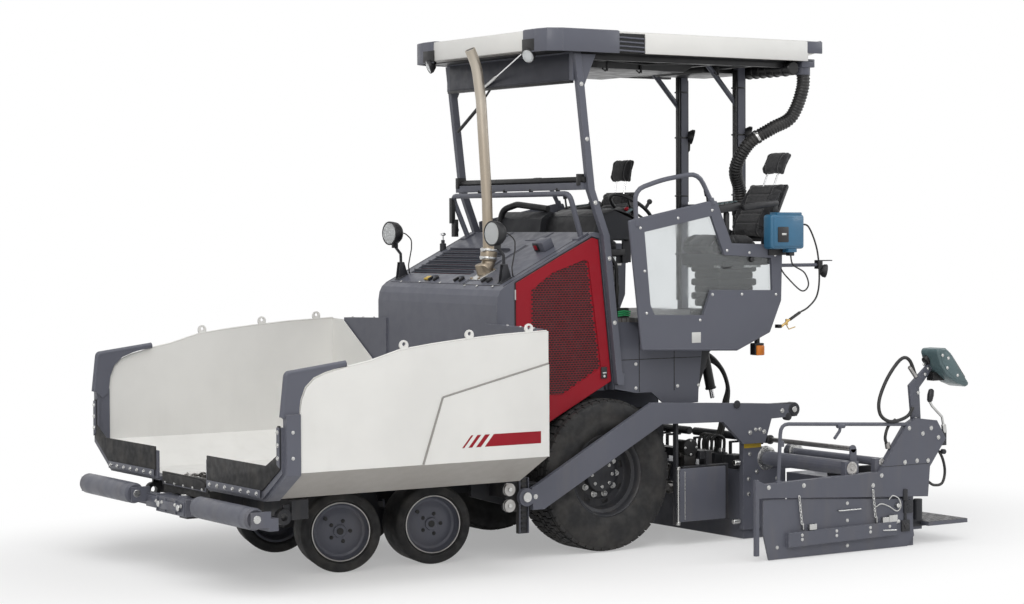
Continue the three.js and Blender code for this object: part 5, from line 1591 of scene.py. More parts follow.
def roof_lamps():
    for which, side in SIDES.items():
        pocket = Shape().plate(
            [(side * 0.585, 3.486), (side * 0.735, 3.486), (side * 0.735, 3.57), (side * 0.585, 3.57)],
            "x", ahead(0.5).x, ahead(0.514).x
        )
        piece(f"roof_lamp_pocket_{which}", pocket, BLACK, "chassis", edge=0.002)
        oval_lamp(
            f"roof_lamp_{which}", ahead(0.505, side * 0.655, 3.455), (0.86, side * 0.3, -0.38), 0.052,
            "chassis"
        )
        hook = Shape().block(ahead(0.455, side * 0.64, 3.47), ahead(0.5, side * 0.67, 3.5))
        piece(f"roof_lamp_hook_{which}", hook, BLACK, "chassis", edge=0.003)
        oval_lamp(
            f"post_lamp_{which}", ahead(-1.675, side * 0.35 + 0.02, 2.965), (-0.8, 0.5, -0.25), 0.058,
            "chassis"
        )
        arm = Shape().tube(
            [
                ahead(-1.625, side * 0.35, 2.83), ahead(-1.665, side * 0.352, 2.86),
                ahead(-1.664, side * 0.355 + 0.01, 2.93)
            ],
            0.009, 10
        )
        arm.block(ahead(-1.642, side * 0.35 - 0.02, 2.8), ahead(-1.628, side * 0.35 + 0.02, 2.86))
        piece(f"post_lamp_arm_{which}", arm, BLACK, "chassis")
        if which == "right":
            rod = Shape().rod(ahead(0.262, -0.267, 3.3), ahead(0.46, 0.503, 3.479), 0.006, 12)
            piece("roof_stay_rod", rod, CHROME, "chassis")
            barrel = Shape().rod(ahead(0.262, -0.267, 3.3), ahead(0.321, -0.036, 3.354), 0.012, 14, 0.002)
            barrel.ball(ahead(0.262, -0.267, 3.3), 0.014, 12)
            piece("roof_stay", barrel, ZINC, "chassis")
            prop = Shape().rod(ahead(0.2, -0.75, 2.985), ahead(0.225, -0.43, 3.15), 0.013, 14, 0.002)
            prop.rod(ahead(0.225, -0.43, 3.15), ahead(0.24, -0.216, 3.295), 0.008, 12)
            piece("roof_prop", prop, BLACK, "chassis")


def post_details():
    """The header panel and its lip, the posts' bolts, the black trunking on the rear posts, the cross bar
    with its knobs and a rail clip.
    """
    header = Shape().plate(
        [(-0.78, 3.29), (0.78, 3.29), (0.78, 3.47), (-0.78, 3.47)], "x", ahead(0.2515).x, ahead(0.2545).x
    )
    piece("header_panel", header, HEADER, "chassis", edge=0.001)
    lip = Shape().block(ahead(0.226, -0.8, 3.268), ahead(0.262, 0.8, 3.286))
    piece("header_lip", lip, BLACK, "chassis", edge=0.003)
    heads = Shape()
    for side in (LEFT, RIGHT):
        for x, z in ((-0.083, 1.6), (-0.04, 2.05), (0.08, 2.44), (0.15, 2.88), (0.196, 3.26)):
            bolts(heads, [ahead(x, side * 0.8485, z)], (0, side, 0), 0.011, 0.007)
    piece("post_bolts", heads, ZINC, "chassis")
    trunk = Shape()
    for side in (LEFT, RIGHT):
        x, y = -1.6, side * 0.35
        trunk.block(ahead(x + 0.034, y - 0.022, 1.7), ahead(x + 0.05, y + 0.022, 3.44))
        trunk.block(ahead(x - 0.034, y - 0.02, 2.46), ahead(x - 0.046, y + 0.02, 3.4))
        trunk.tube(
            [
                ahead(x + 0.058, y + 0.026, 1.75), ahead(x + 0.056, y + 0.03, 2.5),
                ahead(x + 0.056, y + 0.024, 3.42)
            ],
            0.008, 8
        )
        for z in (2.05, 2.5, 2.95, 3.3):
            trunk.block(ahead(x - 0.036, y - 0.032, z), ahead(x + 0.054, y + 0.032, z + 0.012))
    piece("rear_post_trunking", trunk, BLACK, "chassis", edge=0.003)
    cross = Shape().tube([ahead(0.156, -0.83, 2.6), ahead(0.156, 0.83, 2.6)], 0.021, 18)
    for y in (-0.5, -0.16, 0.18, 0.52):
        cross.rod(ahead(0.165, y, 2.585), ahead(0.17, y, 2.545), 0.006, 10)
        cross.ball(ahead(0.171, y, 2.532), 0.017, 14)
    for y in (-0.79, 0.79):
        cross.block(ahead(0.12, y - 0.02, 2.56), ahead(0.19, y + 0.02, 2.64))
    piece("cross_bar_and_knobs", cross, BLACK, "chassis", edge=0.003)
    clip = Shape().block(ahead(0.232, -0.785, 2.3), ahead(0.262, -0.745, 2.49))
    clip.block(ahead(0.208, -0.79, 2.2), ahead(0.24, -0.74, 2.33))
    clip.rod(ahead(0.215, -0.75, 2.25), ahead(0.215, -0.8, 2.25), 0.02, 16, 0.003)
    piece("rail_clip", clip, BLACK, "chassis", edge=0.004)


def catmull(points, steps):
    """A smooth line through points."""
    line = []
    padded = [points[0] * 2 - points[1]] + points + [points[-1] * 2 - points[-2]]
    for a, b, c, d in zip(padded, padded[1:], padded[2:], padded[3:]):
        for i in range(steps):
            t = i / steps
            line.append(
                0.5 * (
                    2 * b + (c - a) * t + (
                        2 * a - 5 * b + 4 * c - d
                    ) * t * t + (3 * b - a - 3 * c + d) * t**3
                )
            )
    return line + [points[-1]]


def evenly(line, step):
    """The line's points set a step apart."""
    out, carried = [line[0]], 0.0
    for a, b in zip(line, line[1:]):
        length = (b - a).length
        while carried + length >= step:
            share = (step - carried) / length
            a = a.lerp(b, share)
            out.append(a)
            length = (b - a).length
            carried = 0.0
        carried += length
    return out


DUCT_WAY = [
    (-1.835, 0.8, 3.478), (-1.835, 0.8, 3.29), (-1.77, 0.75, 3.08), (-1.62, 0.7, 2.99),
    (-1.48, 0.61, 2.88), (-1.445, 0.5, 2.7), (-1.53, 0.445, 2.52), (-1.56, 0.45, 2.2),
    (-1.51, 0.46, 1.76), (-1.51, 0.46, 1.69), (-1.51, 0.46, 1.632),
]


def air_duct():
    """The corrugated air hose with its wire ribs, and the bands that hold it."""
    line = evenly(catmull([ahead(*p) for p in DUCT_WAY], 40), 0.0055)
    radii = [(0.0445, 0.05, 0.0505, 0.0455)[i % 4] for i in range(len(line))]
    hose = Shape().tube(line, radii, 28)
    piece("air_hose", hose, HOSE, "chassis", smooth=60, replaces=("air_duct",))
    bands = Shape()
    for i in (10, round(len(line) * 0.34), round(len(line) * 0.7), len(line) - 14):
        along = line[min(i + 2, len(line) - 1)] - line[i - 2]
        band = [(-0.009, 0.0505), (-0.009, 0.053), (0.009, 0.053), (0.009, 0.0505), (-0.009, 0.0505)]
        bands.turned(band, line[i], along, 32)
        across = along.orthogonal().normalized() * 0.055
        bands.rod(
            line[i] + across - Vector((0, 0.02, 0)), line[i] + across + Vector((0, 0.02, 0)), 0.006, 10
        )
    piece("air_hose_bands", bands, ZINC, "chassis")


def roof():
    canopy()
    post_details()
    air_duct()


# ---------------------------------------------------------------- seats

SEAT_HALF = 0.215
SEAT_HINGE_Z = 2.215
SEATS = {
    "left": {"x": -1.4, "y": 0.715, "lean": 27, "back": 0.59},
    "right": {"x": -1.18, "y": -0.7, "lean": 12, "back": 0.51},
}
INFLATE_FRAMES = 20


def inflated(mesh, voxel, cap):
    """A closed form remeshed and blown up as cloth by no more than cap at a point; finished_pad later
    subdivides it once.
    """
    holder = bpy.data.objects.new("holder", mesh)
    bpy.context.scene.collection.objects.link(holder)
    remesh = holder.modifiers.new("remesh", "REMESH")
    remesh.mode = "VOXEL"
    remesh.voxel_size = voxel
    fine = baked(holder)
    rest = [v.co.copy() for v in fine.vertices]
    pad = bpy.data.objects.new("pad", fine)
    bpy.context.scene.collection.objects.link(pad)
    cloth = pad.modifiers.new("cloth", "CLOTH")
    settings = cloth.settings
    settings.quality = 4
    settings.use_pressure = True
    settings.uniform_pressure_force = 4.0
    settings.tension_stiffness = 18
    settings.compression_stiffness = 12
    settings.shear_stiffness = 6
    settings.bending_stiffness = 0.6
    settings.effector_weights.gravity = 0.0
    cloth.point_cache.frame_end = INFLATE_FRAMES
    scene = bpy.context.scene
    for number in range(1, INFLATE_FRAMES + 1):
        scene.frame_set(number)
    graph = bpy.context.evaluated_depsgraph_get()
    blown = bpy.data.meshes.new_from_object(pad.evaluated_get(graph), depsgraph=graph)
    bpy.data.objects.remove(pad)
    scene.frame_set(1)
    for vertex, start in zip(blown.vertices, rest):
        moved = vertex.co - start
        if moved.length > cap:
            vertex.co = start + moved * (cap / moved.length)
    return blown


def creased(mesh, lines, depth, width):
    """Pulls in the skin along sewn lines; each line is a function of a point that is 0 on the seam."""
    normals = [v.normal.copy() for v in mesh.vertices]
    for vertex, normal in zip(mesh.vertices, normals):
        for line in lines:
            off = line(vertex.co)
            if off is None:
                continue
            vertex.co -= normal * depth * math.exp(-((off / width) ** 2))
    return mesh


def finished_pad(name, mesh, nodes):
    made = piece(name, mesh, CLOTH, "chassis", smooth=180, replaces=nodes)
    fine = made.modifiers.new("finer", "SUBSURF")
    fine.levels = 1
    fine.render_levels = 1
    return made


def seat_cushion(which, x, y):
    """The sprung base: a crowned pad with bolsters, a sewn middle panel and cross channels."""
    outline = [
        (x + 0.085, 2.085), (x + 0.47, 2.085), (x + 0.487, 2.11), (x + 0.478, 2.165),
        (x + 0.44, 2.19), (x + 0.24, 2.166), (x + 0.1, 2.166), (x + 0.085, 2.15),
    ]
    shape = Shape().plate(from_axle(outline), "y", y - 0.198, y + 0.198)
    for s in (-1, 1):
        roll = [(x + 0.11, 2.12), (x + 0.455, 2.12), (x + 0.45, 2.196), (x + 0.12, 2.186)]
        shape.plate(from_axle(roll), "y", y + s * 0.14, y + s * 0.196)
    blown = inflated(rounded(shape.mesh("cushion"), 0.016, 3), 0.0068, 0.022)

    def cross(at):
        return lambda p: (p.x - at) if p.z > 2.15 and abs(p.y - y) < 0.135 else None

    def along(at):
        return lambda p: (p.y - y - at) if p.z > 2.13 else None

    lines = [cross(ahead(x + d).x) for d in (0.17, 0.26, 0.35)] + [along(-0.135), along(0.135)]
    lines.append(lambda p: p.z - 2.128)
    creased(blown, lines, 0.008, 0.006)
    return finished_pad(f"seat_cushion_pad_{which}", blown, (f"seat_cushion_{which}",))


def seat_back(which, x, y, lean, back):
    """The back pad with its wings, the headrest on two posts, and the moulded shell behind."""
    a = math.radians(lean)

    def at(along, out):
        point = ahead(x - along * math.sin(a) + out * math.cos(a))
        return point.x, SEAT_HINGE_Z + along * math.cos(a) + out * math.sin(a)

    outline = [
        at(-0.045, -0.018), at(-0.045, 0.028), at(0.045, 0.046), at(0.2, 0.03), at(back - 0.2, 0.034)
    ]
    outline += [at(back - 0.176, 0.012), at(back - 0.18, -0.022), at(0.02, -0.03)]
    shape = Shape().plate(outline, "y", y - 0.188, y + 0.188)
    for s in (-1, 1):
        wing = [
            at(0.01, 0.0), at(0.02, 0.055), at(0.16, 0.056), at(back - 0.23, 0.036), at(back - 0.23, 0.0)
        ]
        shape.plate(wing, "y", y + s * 0.138, y + s * 0.192)
    blown = inflated(rounded(shape.mesh("back"), 0.014, 3), 0.0068, 0.022)
    up = Vector((-math.sin(a), 0, math.cos(a)))
    out = Vector((math.cos(a), 0, math.sin(a)))
    hinge = ahead(x, 0, SEAT_HINGE_Z)

    def height(p):
        return (Vector((p.x, 0, p.z)) - hinge).dot(up)

    def reach(p):
        return (Vector((p.x, 0, p.z)) - hinge).dot(out)

    def cross(at_height):
        return lambda p: (height(p) - at_height) if reach(p) > 0.01 and abs(p.y - y) < 0.13 else None

    def along(off):
        return lambda p: (p.y - y - off) if reach(p) > 0.0 else None

    lines = [cross(h) for h in (0.06, 0.14, 0.22, 0.3)] + [
        along(-0.13), along(0.13), lambda p: reach(p) + 0.004
    ]
    creased(blown, lines, 0.008, 0.006)
    finished_pad(f"seat_back_pad_{which}", blown, (f"seat_back_{which}",))
    head_outline = [
        at(back - 0.098, -0.022), at(back - 0.1, 0.012), at(back - 0.07, 0.042), at(back + 0.05, 0.038)
    ]
    head_outline += [at(back + 0.082, 0.004), at(back + 0.074, -0.026)]
    head = Shape().plate(head_outline, "y", y - 0.108, y + 0.108)
    puffed = inflated(rounded(head.mesh("head"), 0.03, 5), 0.0055, 0.024)
    creased(puffed, [lambda p: reach(p) + 0.0, lambda p: abs(p.y - y) - 0.07], 0.006, 0.005)
    finished_pad(f"headrest_{which}", puffed, ())
    posts = Shape()
    for dy in (-0.06, 0.06):
        low, high = at(back - 0.215, -0.004), at(back - 0.05, 0.004)
        posts.rod((low[0], y + dy, low[1]), (high[0], y + dy, high[1]), 0.007, 14, 0.001)
    piece(f"headrest_posts_{which}", posts, CHROME, "chassis")
    shell = Shape()
    skin_line = [at(-0.05, -0.03), at(0.02, -0.044), at(back - 0.19, -0.036), at(back - 0.176, -0.02)]
    skin_line += [at(back - 0.18, -0.012), at(0.02, -0.026), at(-0.045, -0.018)]
    shell.plate(skin_line, "y", y - 0.196, y + 0.196)
    piece(f"seat_shell_{which}", shell, PLASTIC, "chassis", edge=0.008)


def seat_fittings(which, x, y):
    """The bellows under the pan, slides, recliner covers, armrests and the height handle."""
    bellows = Shape()
    for i in range(6):
        z = 1.69 + i * 0.05
        grow = 0.018 if i % 2 else 0.0
        bellows.block(
            ahead(x + 0.085 - grow, y - 0.15 - grow, z), ahead(x + 0.4 + grow, y + 0.15 + grow, z + 0.052)
        )
    piece(f"seat_bellows_{which}", bellows, RUBBER, "chassis", edge=0.014, smooth=60)
    slides = Shape()
    for s in (-1, 1):
        slides.block(
            ahead(x + 0.045, y + s * 0.165 - 0.018, 1.972), ahead(x + 0.45, y + s * 0.165 + 0.018, 1.996)
        )
        slides.block(
            ahead(x + 0.07, y + s * 0.12 - 0.012, 1.632), ahead(x + 0.44, y + s * 0.12 + 0.012, 1.656)
        )
    piece(f"seat_slides_{which}", slides, ZINC, "chassis", edge=0.002)
    covers = Shape()
    for s in (-1, 1):
        side_y = y + s * (SEAT_HALF + 0.004)
        covers.rod(
            ahead(x + 0.02, side_y - s * 0.004, 2.205), ahead(x + 0.02, side_y + s * 0.018, 2.205), 0.046,
            28, 0.006
        )
        covers.block(ahead(x + 0.04, side_y - 0.004, 2.05), ahead(x + 0.4, side_y + 0.006, 2.098))
        covers.block(
            ahead(x - 0.075, side_y - s * 0.002, 2.35), ahead(x - 0.025, side_y + s * 0.02, 2.42)
        )
    piece(f"seat_covers_{which}", covers, PLASTIC, "chassis", edge=0.006)
    rests = Shape()
    for s in (-1, 1):
        side_y = y + s * (SEAT_HALF + 0.034)
        rests.block(
            ahead(x - 0.06, side_y - 0.028, 2.398), ahead(x + 0.27, side_y + 0.028, 2.446),
            Matrix.Rotation(math.radians(6), 3, "Y")
        )
    piece(f"armrests_{which}", rests, PLASTIC, "chassis", edge=0.018)
    knob = Shape().rod(
        ahead(x + 0.18, y + 0.226, 2.03), ahead(x + 0.18, y + 0.262, 2.03), 0.02, 20, 0.005
    )
    knob.tube(
        [
            ahead(x + 0.34, y + 0.222, 1.985), ahead(x + 0.37, y + 0.235, 1.975),
            ahead(x + 0.43, y + 0.238, 1.972)
        ],
        0.006, 10
    )
    piece(f"seat_knob_{which}", knob, PLASTIC, "chassis")


def seats():
    for which, seat in SEATS.items():
        seat_cushion(which, seat["x"], seat["y"])
        seat_back(which, **seat)
        seat_fittings(which, seat["x"], seat["y"])


# ---------------------------------------------------------------- operator's place

WINDOW = [
    (-0.301, 1.723), (-0.25, 2.234), (-0.843, 2.345), (-0.961, 2.066), (-1.394, 2.04),
    (-1.403, 1.807), (-0.842, 1.818), (-0.77, 1.641), (-0.335, 1.652),
]
WINDOW_BOLTS = [
    (-0.268, 1.665), (-0.252, 1.96), (-0.215, 2.262), (-0.545, 2.33), (-0.85, 2.385), (-0.985, 2.098),
    (-1.19, 2.08), (-1.428, 2.06), (-1.436, 1.775), (-1.12, 1.782), (-0.852, 1.785), (-0.74, 1.605),
]
PANEL_OUT = 0.975


def side_panel(which, side):
    """The side panel's clear pane, buttons and flanged edge, its blank plate and the rail's sockets."""
    there = beside(side)
    inner = PANEL_OUT - 0.024
    pane = Shape()
    centre_x = sum(x for x, _ in WINDOW) / len(WINDOW)
    centre_z = sum(z for _, z in WINDOW) / len(WINDOW)
    outline = [
        (ahead(centre_x + (x - centre_x) * 1.03).x, centre_z + (z - centre_z) * 1.05) for x, z in WINDOW
    ]
    pane.plate(outline, "y", side * (inner - 0.0045), side * (inner - 0.0005))
    piece(f"panel_pane_{which}", pane, PANE, "chassis", smooth=0)
    studs = Shape()
    for x, z in WINDOW_BOLTS:
        p = there(x, PANEL_OUT - 0.001, z)
        studs.turned(
            [(0.0, 0.0), (0.0, 0.0115), (0.003, 0.0105), (0.0055, 0.0065), (0.0062, 0.0)], p,
            (0, side, 0), 18
        )
    piece(f"panel_studs_{which}", studs, ZINC, "chassis", smooth=60)
    edge = Shape()
    outer = [
        (-0.129, 2.304), (-0.239, 1.416), (-1.078, 1.389), (-1.375, 1.51), (-1.478, 1.733),
        (-1.488, 2.097), (-1.45, 2.126), (-1.025, 2.137), (-0.889, 2.44), (-0.817, 2.437),
    ]
    ring = [there(x, PANEL_OUT - 0.012, z) for x, z in outer]
    for a, b in zip(ring, ring[1:] + ring[:1]):
        edge.rod(a, b, 0.0128, 12)
    for p in ring:
        edge.ball(p, 0.0128, 12)
    piece(f"panel_rolled_edge_{which}", edge, GREY, "chassis")
    plate = Shape().block(
        there(-0.745, PANEL_OUT - 0.002, 1.445), there(-0.665, PANEL_OUT + 0.0008, 1.52)
    )
    piece(f"panel_blank_plate_{which}", plate, LABEL, "chassis", edge=0.0003)
    sockets = Shape()
    y = side * (PANEL_OUT - 0.012)
    sockets.rod(ahead(-0.19, y, 2.27), ahead(-0.187, y, 2.33), 0.022, 20, 0.003)
    sockets.rod(ahead(-0.862, y, 2.425), ahead(-0.845, y, 2.47), 0.022, 20, 0.003)
    piece(f"rail_sockets_{which}", sockets, GREY, "chassis")
    lamp = Shape().block(there(-1.334, 0.905, 1.335), there(-1.262, 0.972, 1.408))
    piece(f"indicator_glass_{which}", lamp, AMBER, "chassis", edge=0.008)
    base = Shape().block(there(-1.336, 0.9, 1.404), there(-1.258, 0.96, 1.424))
    base.block(there(-1.262, 0.905, 1.338), there(-1.25, 0.965, 1.42))
    base.block(there(-1.31, 0.915, 1.42), there(-1.28, 0.945, 1.475))
    piece(f"indicator_base_{which}", base, BLACK, "chassis", edge=0.003)


def control_box():
    """The blue box on the left panel: rounded shell, lid lip, dark socket plate and its leads."""
    low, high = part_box("control_box")
    shell = Shape().block((low.x, low.y + 0.012, low.z + 0.055), (high.x, high.y - 0.004, high.z - 0.006))
    piece(
        "control_box_shell", rounded(shell.mesh("shell"), 0.022, 4), BLUE, "chassis",
        replaces=("control_box",)
    )
    lid = Shape().block(
        (low.x + 0.02, low.y + 0.02, high.z - 0.02), (high.x - 0.06, high.y - 0.012, high.z + 0.01)
    )
    lid.block(
        (low.x + 0.02, high.y - 0.008, low.z + 0.075), (high.x - 0.02, high.y + 0.001, high.z - 0.026)
    )
    lid.block((low.x - 0.006, low.y + 0.03, low.z + 0.09), (low.x + 0.01, high.y - 0.03, high.z - 0.05))
    lid.block((low.x + 0.06, low.y + 0.03, low.z + 0.03), (low.x + 0.14, high.y - 0.02, low.z + 0.062))
    piece("control_box_lid", lid, BLUE, "chassis", edge=0.006)
    dark = Shape().block(
        (high.x - 0.15, high.y - 0.001, low.z + 0.105), (high.x - 0.052, high.y + 0.008, low.z + 0.215)
    )
    dark.block(
        (low.x + 0.075, low.y + 0.045, low.z + 0.005), (low.x + 0.12, high.y - 0.03, low.z + 0.035)
    )
    dark.block((low.x + 0.02, low.y - 0.001, low.z + 0.01), (high.x - 0.06, low.y + 0.014, low.z + 0.2))
    piece("control_box_plate", dark, PLASTIC, "chassis", edge=0.004)
    label = Shape().block(
        (high.x - 0.128, high.y + 0.0078, low.z + 0.155), (high.x - 0.086, high.y + 0.0088, low.z + 0.17)
    )
    piece("control_box_blank_strip", label, LABEL, "chassis", edge=0.0004)
    out = high.y - 0.045
    bar = Shape().rod(ahead(-1.48, 0.955, 1.985), ahead(-1.83, 0.99, 1.985), 0.013, 18, 0.003)
    piece("lamp_bar", bar, GREY, "chassis")
    hold = Shape().block(ahead(-1.852, 0.965, 1.955), ahead(-1.806, 1.01, 2.02))
    hold.block(ahead(-1.95, 0.97, 2.012), ahead(-1.806, 1.005, 2.02))
    piece("lamp_bar_clamp", hold, BLACK, "chassis", edge=0.004)
    oval_lamp("rear_side_lamp", ahead(-1.885, 0.99, 1.94), (-0.8, 0.45, -0.15), 0.05, "chassis")
    hose = Shape()
    lance_foot = ahead(-1.64, 1.0, 1.64)
    hose.tube(
        catmull(
            [
                Vector((low.x, out, high.z - 0.075)), Vector((low.x - 0.065, out + 0.01, high.z - 0.1)),
                Vector((
                    low.x - 0.15, out, high.z - 0.26
                )), ahead(-1.8, 1.03, 1.9), ahead(-1.785, 1.02, 1.76),
                ahead(-1.715, 1.01, 1.68), lance_foot,
            ],
            10,
        ),
        0.0065,
        12,
    )
    loop = [
        Vector((low.x + 0.1, out, low.z + 0.01)), Vector((low.x + 0.085, out + 0.01, low.z - 0.06)),
        Vector((
            low.x - 0.015, out + 0.02, low.z - 0.12
        )), Vector((low.x - 0.06, out + 0.01, low.z - 0.21)),
        Vector((
            low.x - 0.01, out - 0.01, low.z - 0.25
        )), ahead(-1.52, 0.99, 1.905), ahead(-1.482, 0.97, 1.965),
    ]
    hose.tube(catmull(loop, 10), 0.0055, 12)
    piece("control_box_hoses", hose, HOSE, "chassis", smooth=60)
    grip_rod = Shape().rod(lance_foot, ahead(-1.545, 0.996, 1.588), 0.011, 16, 0.002)
    piece("lance_grip", grip_rod, HOSE, "chassis")
    brass = Shape().rod(ahead(-1.548, 0.996, 1.59), ahead(-1.47, 0.992, 1.54), 0.0085, 14, 0.001)
    brass.rod(ahead(-1.52, 0.994, 1.55), ahead(-1.52, 0.994, 1.595), 0.01, 14, 0.002)
    brass.tube(
        [ahead(-1.52, 0.994, 1.548), ahead(-1.54, 0.994, 1.52), ahead(-1.6, 0.994, 1.535)], 0.004, 10
    )
    piece("lance_valve", brass, BRASS, "chassis")
    clip = Shape().block(ahead(-1.47, 0.955, 1.53), ahead(-1.44, 1.0, 1.556))
    piece("lance_clip", clip, BLACK, "chassis", edge=0.003)


def torus(shape, centre, axis, ring, radius, steps=64, sides=16):
    """A closed round ring."""
    loop = []
    for i in range(sides + 1):
        a = 2 * math.pi * (i % sides) / sides
        loop.append((radius * math.sin(a), ring + radius * math.cos(a)))
    return shape.turned(loop, centre, axis, steps)


def steering():
    centre = middle("steering_wheel")
    tilt = math.radians(38)
    axis = Vector((-math.sin(tilt), 0, math.cos(tilt)))
    rim = torus(Shape(), centre, axis, 0.175, 0.0135)
    piece("steering_rim", rim, PLASTIC, "chassis", smooth=60, replaces=("steering_wheel",))
    hub = Shape().turned(
        [(-0.018, 0), (-0.018, 0.04), (0.002, 0.044), (0.01, 0.036), (0.013, 0.0)], centre, axis, 32
    )
    across = axis.orthogonal().normalized()
    for i in range(3):
        way = Matrix.Rotation(2 * math.pi * i / 3, 3, axis) @ across
        hub.tube(
            [centre + way * 0.03 - axis * 0.004, centre + way * 0.1 - axis * 0.004, centre + way * 0.172],
            0.0085, 12
        )
    way = Matrix.Rotation(0.9, 3, axis) @ across
    hub.rod(centre + way * 0.176, centre + way * 0.176 + axis * 0.06, 0.012, 16, 0.003)
    hub.ball(centre + way * 0.176 + axis * 0.066, 0.02, 18)
    piece("steering_hub", hub, PLASTIC, "chassis", smooth=50)


def dashboard():
    """The curved cowl over the console, its screen, switches, levers and trim."""
    y = 0.2
    cowl = Shape()
    line = [(-0.15, 2.18), (-0.165, 2.3), (-0.215, 2.365), (-0.33, 2.402), (-0.45, 2.372), (-0.57, 2.308)]
    outer = eased([ahead(a, 0, b) for a, b in line], 0.1)
    inner = [p - Vector((0, 0, 0.01)) - Vector((0.006, 0, 0)) for p in outer]
    cowl.plate(
        [(p.x, p.z) for p in outer] + [(p.x, p.z) for p in reversed(inner)], "y", y - 0.336, y + 0.306
    )
    piece("dash_cowl", cowl, PLASTIC, "chassis", edge=0.006)
    arch = Shape()
    hoop = [
        ahead(-0.12, -0.7, 2.2), ahead(-0.12, -0.64, 2.4), ahead(-0.16, -0.5, 2.44),
        ahead(-0.2, -0.15, 2.405)
    ]
    arch.tube(hoop, 0.024, 16, 0.1)
    piece("dash_arch", arch, PLASTIC, "chassis")
    panel = Shape()
    tilt = Matrix.Rotation(math.radians(25), 3, "Y")
    centre = ahead(-0.47, y, 2.362)
    panel.cube(centre, (0.085, 0.235, 0.008), tilt)
    piece("dash_panel", panel, TEAL, "chassis", edge=0.004)
    keys = Shape()
    for i in range(9):
        for j in range(3):
            spot = centre + tilt @ Vector((-0.055 + j * 0.036, -0.2 + i * 0.03, 0.01))
            keys.cube(spot, (0.011, 0.01, 0.004), tilt)
    piece("dash_keys", keys, PLASTIC, "chassis", edge=0.002)
    screen = Shape()
    spot = centre + tilt @ Vector((0.0, 0.145, 0.018))
    screen.cube(spot, (0.06, 0.07, 0.012), tilt)
    piece("dash_screen", screen, PLASTIC, "chassis", edge=0.006)
    levers = Shape()
    for dy in (-0.09, 0.02):
        foot = centre + tilt @ Vector((0.03, dy, 0.008))
        levers.turned(
            [
                (0, 0.018), (0.014, 0.01), (0.022, 0.006), (0.07, 0.005), (0.074, 0.013), (0.1, 0.015),
                (0.108, 0.009), (0.11, 0.0), (0, 0), (0, 0.018)
            ],
            foot, tilt @ Vector((0, 0, 1)), 20
        )
    piece("dash_levers", levers, PLASTIC, "chassis", smooth=50)
    red = Shape()
    foot = centre + tilt @ Vector((-0.045, 0.215, 0.008))
    red.turned(
        [
            (0, 0.012), (0.01, 0.012), (0.011, 0.02), (0.02, 0.019), (0.024, 0.01), (0.024, 0), (0, 0),
            (0, 0.012)
        ],
        foot, tilt @ Vector((0, 0, 1)), 24
    )
    piece("dash_stop_button", red, RED, "chassis")
    side_unit = Shape()
    for side in (LEFT, RIGHT):
        unit = ahead(-0.985, side * 0.89, 2.395)
        turn = Matrix.Rotation(math.radians(8), 3, "Y")
        side_unit.block(
            unit - Vector((0.16, 0.048, 0.028)), unit + Vector((0.17, 0.048, 0.028)), turn, unit
        )
        side_unit.tube(
            [
                unit - Vector((0.06, 0, 0.02)), unit - Vector((0.06, 0, 0.2)),
                ahead(-1.0, side * 0.86, 2.0)
            ],
            0.022, 14
        )
        side_unit.block(ahead(-1.18, side * 0.8, 1.97), ahead(-0.98, side * 0.93, 2.02))
    piece("arm_consoles", side_unit, PLASTIC, "chassis", edge=0.012)
    sticks = Shape()
    for side in (LEFT, RIGHT):
        foot = ahead(-0.88, side * 0.89, 2.405)
        sticks.turned(
            [
                (0, 0.024), (0.012, 0.018), (0.02, 0.008), (0.08, 0.007), (0.085, 0.016), (0.125, 0.019),
                (0.14, 0.012), (0.143, 0), (0, 0), (0, 0.024)
            ],
            foot, (0.15, 0, 1), 24
        )
    piece("arm_console_sticks", sticks, PLASTIC, "chassis", smooth=50)
    strip = Shape()
    for side in (LEFT, RIGHT):
        for i in range(5):
            p = ahead(-0.95 - i * 0.042, side * 0.89, 2.428 + i * 0.0055)
            strip.cube(p, (0.012, 0.022, 0.004))
    piece("arm_console_keys", strip, TEAL, "chassis", edge=0.002)


